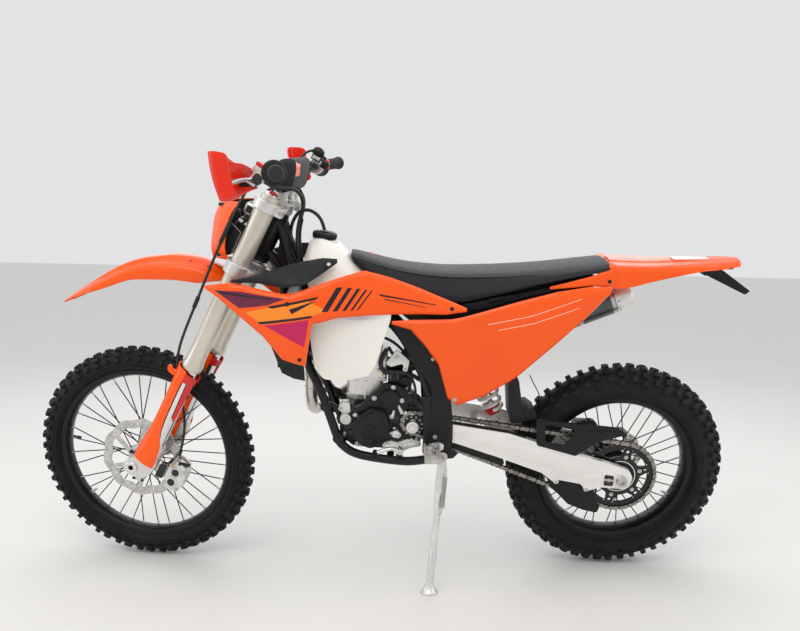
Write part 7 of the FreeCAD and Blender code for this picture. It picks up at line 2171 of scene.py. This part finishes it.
p.lathe([(11.3, 0), (17.5, 0), (18.2, 1), (18.2, 15), (17.5, 16), (11.3, 16)], n=30, at=frame_along(on_bar(200) + Vector((1.4, 0, -1.5)), on_bar(200) + Vector((1.4, 0, -1.5)) + Vector((-0.01, 0.98, 0.17))), closed_profile=True, both=True)
p.use(dark_bolt.m)
q = loc(322, 214, 1223)
p.bolt(tuple(q), tuple(loc(330, 214, 1224) - loc(322, 214, 1223)), 5, 4, "torx", both=True)
p.done()

# front brake caliper
p = Piece("front_brake_caliper", STEER, S, "front_caliper", sharp=30)
p.use(silver.m)
body = rounded([(-36, 60), (-62, 66), (-88, 56), (-98, 26), (-98, -14), (-84, -36), (-56, -34), (-38, -16)], [8, 10, 14, 14, 14, 12, 12, 10], 4)
p.prism(body, 54.5, 84, bevel=4, seg=3)
p.prism(body, 30, 39, bevel=2.5, seg=2)
p.prism(rounded([(-84, 58), (-98, 28), (-98, -14), (-86, -34), (-80, -14), (-80, 30)], 6, 3), 36, 60, bevel=2)
for zc in (-6, 30):
    p.rod((-64, 83, zc), (-64, 88.5, zc), 17.5, n=36, bevel=2.5)
p.use(dark_cast.m)
for zc in (-6, 30):
    p.rod((-64, 88.4, zc), (-64, 89.6, zc), 12, n=32, bevel=0.6)
p.prism(rounded([(-34, 42), (-10, 34), (-8, -18), (-34, -12)], 5, 3), 66, 84, bevel=2)
p.box((-60, 39.5, -20), (-40, 43.5, 50), bevel=1)
p.box((-60, 49.5, -20), (-40, 54.3, 50), bevel=1)
p.use(black_gloss.m)
p.rod((-40, 70, 52), (-40, 92, 52), 9.5, n=28, bevel=2)
p.rod((-90, 62, 62), (-60, 84, 62), 6, n=20, bevel=2)
p.use(bolt_mat.m)
for c in ((-88, 84, 44), (-88, 84, -22), (-46, 84, 52), (-44, 84, -18)):
    p.bolt(c, (0, 1, 0), 5, 5, "hex")
p.use(gold.m)
p.rod((-44, 92, 52), (-44, 97, 52), 7, n=6, bevel=0.8)
p.use(steel.m)
p.bar([(-52, 92, 102), (-52, 92, 84), (-48, 93, 70), (-44, 94, 54)], 3.2)
p.use(black_gloss.m)
p.rod((-52, 92, 112), (-52, 92, 92), 5.2, n=20, bevel=1)
p.done()

# hydraulic line to the front caliper
p = Piece("front_brake_line", STEER, S, "brake_hose", sharp=60)
p.use(hose.m)
BRK = [(42.6, -220.6, 981.3), (43, -198, 981), (52, -170, 964), (74, -128, 955), (98, -60, 960), (104, 20, 940), (98, 84, 890), (90, 130, 810), (84, 150, 700), (78, 152, 580), (76, 144, 470),
       (76, 112, 400), (72, 74, 350), (54, 61, 300), (20, 60, 250), (-14, 64, 200), (-40, 80, 150), (-52, 92, 100)]
p.bar(BRK, 4.0, n=16)
p.done()
p = Piece("line_clips", STEER, S, sharp=40)
p.use(soft_black.m)
for a, b in (((91, 127, 822), (87, 143, 760)), ((79, 151.8, 596), (78, 151.4, 560))):
    p.rod(a, b, 6.0, n=18, bevel=1.5)
p.done()

# breather hose from the tank cap into the frame
p = Piece("tank_breather", BIKE, "chassis", "vent_hose", sharp=60)
p.use(hose.m)
VENT = [(172, 0, 1073), (177, 0, 1095), (192, 1, 1117), (217, 2, 1131), (246, 2, 1123), (264, 1, 1094), (270.5, 0, 1064), (270.5, 0, 1036)]
p.bar(VENT, 5.0, n=16)
p.done()

# cables from the frame to the bar, the end near the bar drawn where the parked bar holds it
p = Piece("bar_cables", BIKE, None, "clutch_line", sharp=60)
p.use(hose.m)


def from_steer(x, y, z):
    """Bike-frame point of a steering-frame point, with the bar as parked."""
    v = BIKE.inverted() @ (STEER @ Vector((x, y, z)))
    return (v.x, v.y, v.z)


LOOM = [(239, 48, 984), (243, 50, 1014), (246, 47, 1046), (245, 42, 1080), (238, 37, 1112)]
up_l = [from_steer(*c) for c in ((-58, 44, 940), (-50, 62, 965), (-26, 104, 985), (10, 150, 968), (36, 190, 974), (42.6, 206, 981.3), (42.6, 221.5, 981.3))]
p.bar([(238, 46, 955)] + LOOM + up_l, 5.0, n=16)
up_r = [from_steer(*c) for c in ((-66, 34, 905), (-60, 30, 925), (-44, 18, 950), (-20, 0, 966), (12, -12, 982))]
p.bar([(232, 40, 955), (232, 40, 984), (236, 42, 1014), (239, 40, 1046), (238, 34, 1080), (231, 30, 1108)] + up_r, 3.8, n=14)
cables = p.done()
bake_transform(cables)

# -------------------------------------------- rear small parts and the stand
p = Piece("tail_lamp", BIKE, "chassis", "tail_light", sharp=30)
p.use(red_lens.m)
p.prism(rounded([(-1015.5, 993), (-1012, 988.4), (-985, 988.4), (-985, 999), (-1014.5, 999)], [2, 3, 3, 2, 2], 4), -27.5, 27.5, bevel=2.0, seg=3)
p.use(black_gloss.m)
p.prism(rounded([(-1015.8, 998.5), (-984.5, 998.5), (-984.5, 1003.8), (-1014.5, 1003.8)], 1.5, 3), -27.8, 27.8, bevel=1)
for y in (-18, -9, 0, 9, 18):
    p.rod((-1015.9, y, 994), (-1013, y, 994), 2.6, n=14)
p.done()

p = Piece("licence_bracket", BIKE, "chassis", "plate_holder", sharp=30)
p.use(blackp.m)
slope = Matrix(((-0.832, 0, 0.555, -985), (0, 1, 0, 0), (-0.555, 0, -0.832, 985), (0, 0, 0, 1)))
p.prism(rounded([(0, -30), (104, -30), (107, -24), (107, 24), (104, 30), (0, 30)], [2, 6, 4, 4, 6, 2], 3), 0.2, 6.5, holes=[circle2(48.5, s * 20, 3.0, 18) for s in (1, -1)], bevel=1.0, plane='XY', at=slope)
for s in (1, -1):
    p.prism(rounded([(0, s * 30), (104, s * 30), (102, s * 26), (0, s * 26)], 1.5, 2), 5.5, 13, bevel=1, plane='XY', at=slope)
    p.prism(rounded([(10, s * 14), (96, s * 10), (96, s * 7), (10, s * 11)], 1.2, 2), 6, 11.5, bevel=0.8, plane='XY', at=slope)
p.prism(rounded([(-930, 985), (-985, 985), (-989, 981), (-980, 969), (-930, 969)], 3, 3), -29.5, 29.5, bevel=1.5)
for s in (1, -1):
    p.prism(rounded([(-936, 971), (-984, 972), (-1064, 921), (-1059, 915)], 2, 2), s * 27 - 2, s * 27 + 2, bevel=0.8)
p.done()

# chain block on the arm, with its slider inside
p = Piece("chain_block", BIKE, "chassis", "chain_guide", sharp=30)
p.use(blackp.m)
GD = [(-505, 368), (-531, 306), (-556, 284), (-592, 247), (-642, 227), (-687, 217), (-694, 240), (-662, 290), (-645, 320), (-560, 350)]
p.prism(rounded(GD, [4, 10, 10, 14, 14, 8, 8, 12, 8, 12], 4), 87, 90.6, bevel=1.2)
p.prism(rounded(GD, [4, 10, 10, 14, 14, 8, 8, 12, 8, 12], 4), 62, 66, bevel=1.2)
p.prism(rounded([(-588, 292), (-620, 280), (-650, 262), (-640, 300), (-600, 322), (-565, 330), (-556, 312)], 8, 3), 89.8, 92.2, bevel=1)
p.prism(rounded([(-592, 248.5), (-642, 228.5), (-686, 219), (-688, 225), (-644, 235), (-597, 255)], 3, 3), 64, 89, bevel=1)
p.use(dark_bolt.m)
for x, z in ((-560, 318), (-645, 296), (-630, 246)):
    p.bolt((x, 90.6, z), (0, 1, 0), 5.4, 3, "torx")
p.done()

p = Piece("chain_cover", BIKE, "chassis", "chain_guard", sharp=30)
p.use(blackp.m)
UG = [(-467, 542), (-714, 520), (-730, 508), (-745, 498), (-655, 471), (-595, 424), (-474, 457)]
UGH = [(-493, 527), (-584, 509), (-587, 501), (-559, 460), (-500, 469)]
p.prism(rounded(UG, [6, 8, 6, 4, 24, 8, 10], 4), 111.3, 115.3, holes=(rounded(UGH, [6, 4, 4, 8, 6], 4),), bevel=1.0)
p.prism(rounded([(-467, 541), (-714, 519.5), (-716, 512), (-470, 533)], 2, 2), 108, 118, bevel=1)
p.prism(rounded([(-610, 505), (-690, 510), (-720, 503), (-655, 482), (-612, 470)], 8, 3), 115, 116.6, bevel=0.8)
p.use(dark_bolt.m)
for x, z in ((-478, 470), (-600, 438)):
    p.bolt((x, 115.3, z), (0, 1, 0), 5, 2.6, "torx")
p.done()

# toothed footpegs on their brackets
p = Piece("footpeg_pair", BIKE, "chassis", "footpegs", sharp=26)
p.use(steel.m)


def comb(y0, y1, z0, z1, n, depth):
    """Flat rail with pointed teeth along its top edge."""
    pts = [(y0, z0), (y1, z0 + 4)]
    step = (y1 - y0) / n
    for k in range(n):
        a = y1 - step * k
        pts += [(a, z1 - depth), (a - step * 0.22, z1), (a - step * 0.62, z1), (a - step * 0.84, z1 - depth)]
    pts.append((y0, z1 - depth))
    return pts


for x in (-179, -135.5):
    p.prism(comb(134, 243.5, 447, 468, 9, 6), x, x + 4.5, bevel=0.5, seg=1, plane='YZ', both=True)
for y in (238, 205, 172):
    p.prism([(-176, 448), (-134, 448), (-134, 462), (-140, 467), (-145, 462), (-152, 462), (-157, 467), (-162, 462), (-170, 467), (-176, 462)], y, y + 4.5, bevel=0.5, seg=1, both=True)
p.prism(rounded([(-178, 445), (-132, 445), (-132, 462), (-178, 462)], 4, 3), 132, 142, bevel=1.5, both=True)
p.rod((-166, 142, 452), (-158, 205, 455), 6, n=16, both=True)
p.use(silver.m)
p.rod((-172, 126.2, 455), (-172, 146, 455), 9, n=28, bevel=1.5, both=True)
p.prism(rounded([(-190, 444), (-150, 442), (-146, 462), (-176, 470), (-192, 462)], 5, 3), 125.8, 137, bevel=2, both=True)
p.use(bolt_mat.m)
p.rod((-172, 138, 440), (-172, 138, 471), 4.8, n=16, bevel=1, both=True)
p.use(dark_bolt.m)
spring = [(-172 + 7.6 * math.cos(2 * math.pi * k / 16), 138 + 7.6 * math.sin(2 * math.pi * k / 16), 446 + 16 * k / 64) for k in range(65)]
p.tube(spring, 1.3, n=7, both=True)
p.use(black_paint.m)
p.prism(rounded([(-196, 452), (-214, 448), (-238, 430), (-222, 412), (-200, 410)], [4, 8, 3, 8, 4], 3), 116, 124.5, bevel=1.5)
p.done()

p = Piece("foot_lever_pair", BIKE, "chassis", "foot_controls", sharp=32)
p.use(machined.m)
p.bar([(-62, 118, 430), (-52, 124, 437), (-38, 127, 443), (-14, 131, 439), (6, 134, 431), (14, 134, 428)], 5.8, n=16)
p.rod((-62, 100, 430), (-62, 128, 430), 9.8, n=28, bevel=1.5)
p.rod((-62, 66.5, 430), (-62, 104, 430), 6.6, n=20)
p.prism(rounded([(-52, 424), (-40, 434), (-38, 446), (-54, 440), (-70, 432), (-70, 426)], 4, 3), 117, 127, bevel=2)
p.rod((6, 134, 431), (16, 134, 427.5), 7.2, n=20, bevel=1)
p.use(bolt_mat.m)
p.bolt((-62, 128, 430), (0, 1, 0), 5.4, 4, "hex")
p.use(rubber.m)
tip = [(0, 122), (7.6, 122), (8.5, 123.2)]
for k in range(6):
    tip += [(8.5, 126 + 5 * k), (7.2, 126.8 + 5 * k), (7.2, 128 + 5 * k), (8.5, 128.8 + 5 * k)]
tip += [(8.5, 156.6), (7.4, 158), (0, 158)]
p.lathe(tip, n=24, at=T(14, 0, 428) @ R(-90, 'X') @ T(0, 0, 0))
p.use(machined.m)
p.bar([(-190, -136, 428), (-160, -140, 424), (-120, -144, 420), (-70, -143, 422), (-20, -138, 430), (20, -134, 444), (40, -132, 452)], 5.8, n=16)
p.rod((-190, -126, 428), (-190, -142, 428), 10.5, n=28, bevel=1.5)
for k in range(4):
    a = 24 + k * 9.6
    p.prism([(a, 453), (a + 5.2, 453), (a + 4.2, 460), (a + 1, 460)], -147.5, -118.5, bevel=0.5, seg=1)
p.prism(rounded([(22, 452), (62, 452), (62, 456.5), (22, 456.5)], 1.5, 2), -148, -118, bevel=1)
p.use(bolt_mat.m)
p.bolt((-190, -142, 428), (0, -1, 0), 6, 4, "hex")
p.done()

p = Piece("rear_brake_caliper", BIKE, "chassis", "rear_caliper", sharp=30)
p.use(dark_cast.m)
X0, Z0 = -HALF + 40, ZR + 70
blk = rounded([(X0 + 2, Z0 + 4), (X0 + 74, Z0 + 1), (X0 + 85, Z0 + 14), (X0 + 85, Z0 + 46), (X0 + 72, Z0 + 53), (X0 + 16, Z0 + 53), (X0 + 1, Z0 + 36)], [10, 12, 10, 12, 12, 14, 12], 4)
p.prism(blk, -91, -71.4, bevel=3, seg=3)
cut = [(X0 + 52, Z0 + 53), (X0 + 70, Z0 + 53), (X0 + 85, Z0 + 46), (X0 + 85, Z0 + 14), (X0 + 82, Z0 + 5), (X0 + 76, Z0 + 22), (X0 + 66, Z0 + 40)]
p.prism(rounded(cut, 4, 2), -74, -57.2, bevel=1)
p.use(bolt_mat.m)
for x, z in ((X0 + 18, Z0 + 42), (X0 + 72, Z0 + 12)):
    p.bolt((x, -91, z), (0, -1, 0), 5.5, 5, "hex")
p.use(soft_black.m)
p.rod((X0 + 30, -81, Z0 + 52), (X0 + 30, -81, Z0 + 56), 6, n=18, bevel=1)
p.done()

# side stand: flat casting at the pivot, round leg, sleeve and foot
PIV = Vector((-190, 141, 424))
FOOT = BIKE_MM.inverted() @ Vector((-158.46, 99.23, 0))
ALONG = (FOOT - PIV).normalized()
BACK = Vector((-0.975, 0.16, 0.09)).normalized()
HINGE = ALONG.cross(BACK).normalized()
OUTX = HINGE.cross(ALONG).normalized()
SM = Matrix((OUTX, HINGE, ALONG)).transposed().to_4x4()
SM.translation = PIV
LS_ = (FOOT - PIV).length
p = Piece("stand_leg", BIKE, "side_stand", "side_stand", sharp=32)
p.use(silver.m)
hin = PIV - HINGE * 7.5
p.lathe([(6.4, 0), (13.4, 0), (14, 0.6), (14, 14.4), (13.4, 15), (6.4, 15)], n=40, at=frame_along(hin, hin + HINGE), closed_profile=True)
plate_ = rounded([(-14, 12), (-15, 96), (-13, 150), (-8, 176), (8, 176), (10, 158), (12, 120), (16, 86), (17, 40), (13, 12)], [5, 20, 30, 6, 6, 30, 30, 30, 20, 5], 4)
p.prism(plate_, -6.5, 6.5, bevel=2.5, seg=3, at=SM)
p.prism(rounded([(-8, 34), (-9, 92), (8, 84), (10, 44)], 7, 3), 6, 8.6, bevel=1.2, at=SM)
p.lathe([(0, 108), (8.5, 110), (10.6, 122), (10.6, 158), (10, 164), (10, LS_ - 120), (0, LS_ - 120)], n=36, at=SM)
p.use(machined.m)
p.lathe([(0, LS_ - 124), (10.9, LS_ - 124), (11.6, LS_ - 121), (11.6, LS_ - 34), (10, LS_ - 28), (0, LS_ - 28)], n=36, at=SM)
down = (BIKE_MM.inverted().to_3x3() @ Vector((0, 0, -1))).normalized()
padm = frame_along(FOOT - down * 0.0, FOOT - down)
p.use(silver.m)
p.lathe([(0, 0), (24.5, 0), (26, 1.5), (26, 5.5), (24.5, 7.5), (20, 12), (14.5, 22), (12.6, 32), (0, 34)], n=44, at=padm)
# return spring and its hooks
p.use(steel.m)
coil = [SM @ Vector((15 + 5.6 * math.cos(2 * math.pi * k / 14), 13.5 + 5.6 * math.sin(2 * math.pi * k / 14), 58 + 92 * k / (14 * 26))) for k in range(14 * 26 + 1)]
p.tube(coil, 1.5, n=7)
p.bar([SM @ Vector(v) for v in ((15, 19, 150), (15, 16, 154), (15, 13, 160), (13, 10, 170), (6, 8, 172))], 1.6, n=8)
p.bar([SM @ Vector(v) for v in ((15, 19, 58), (15, 15, 50), (13, 11, 36), (8, 6, 26))], 1.6, n=8)
p.use(bolt_mat.m)
p.rod(SM @ Vector((5, -7, 172)), SM @ Vector((5, 10, 172)), 3.4, n=14, bevel=0.8)
p.done()
p = Piece("stand_pivot_bolt", BIKE, "chassis", sharp=30)
p.use(bolt_mat.m)
p.bolt(PIV + HINGE * 12.5, HINGE, 8.5, 5, "hex")
p.done()

# ------------------------------------------------------------------- finish
for _n, _c in sorted(TALLY, key=lambda t: -t[1])[:12]:
    print("TRIS", _n, _c)
print("TRIS total", sum(c for _, c in TALLY), "pieces", len(TALLY))
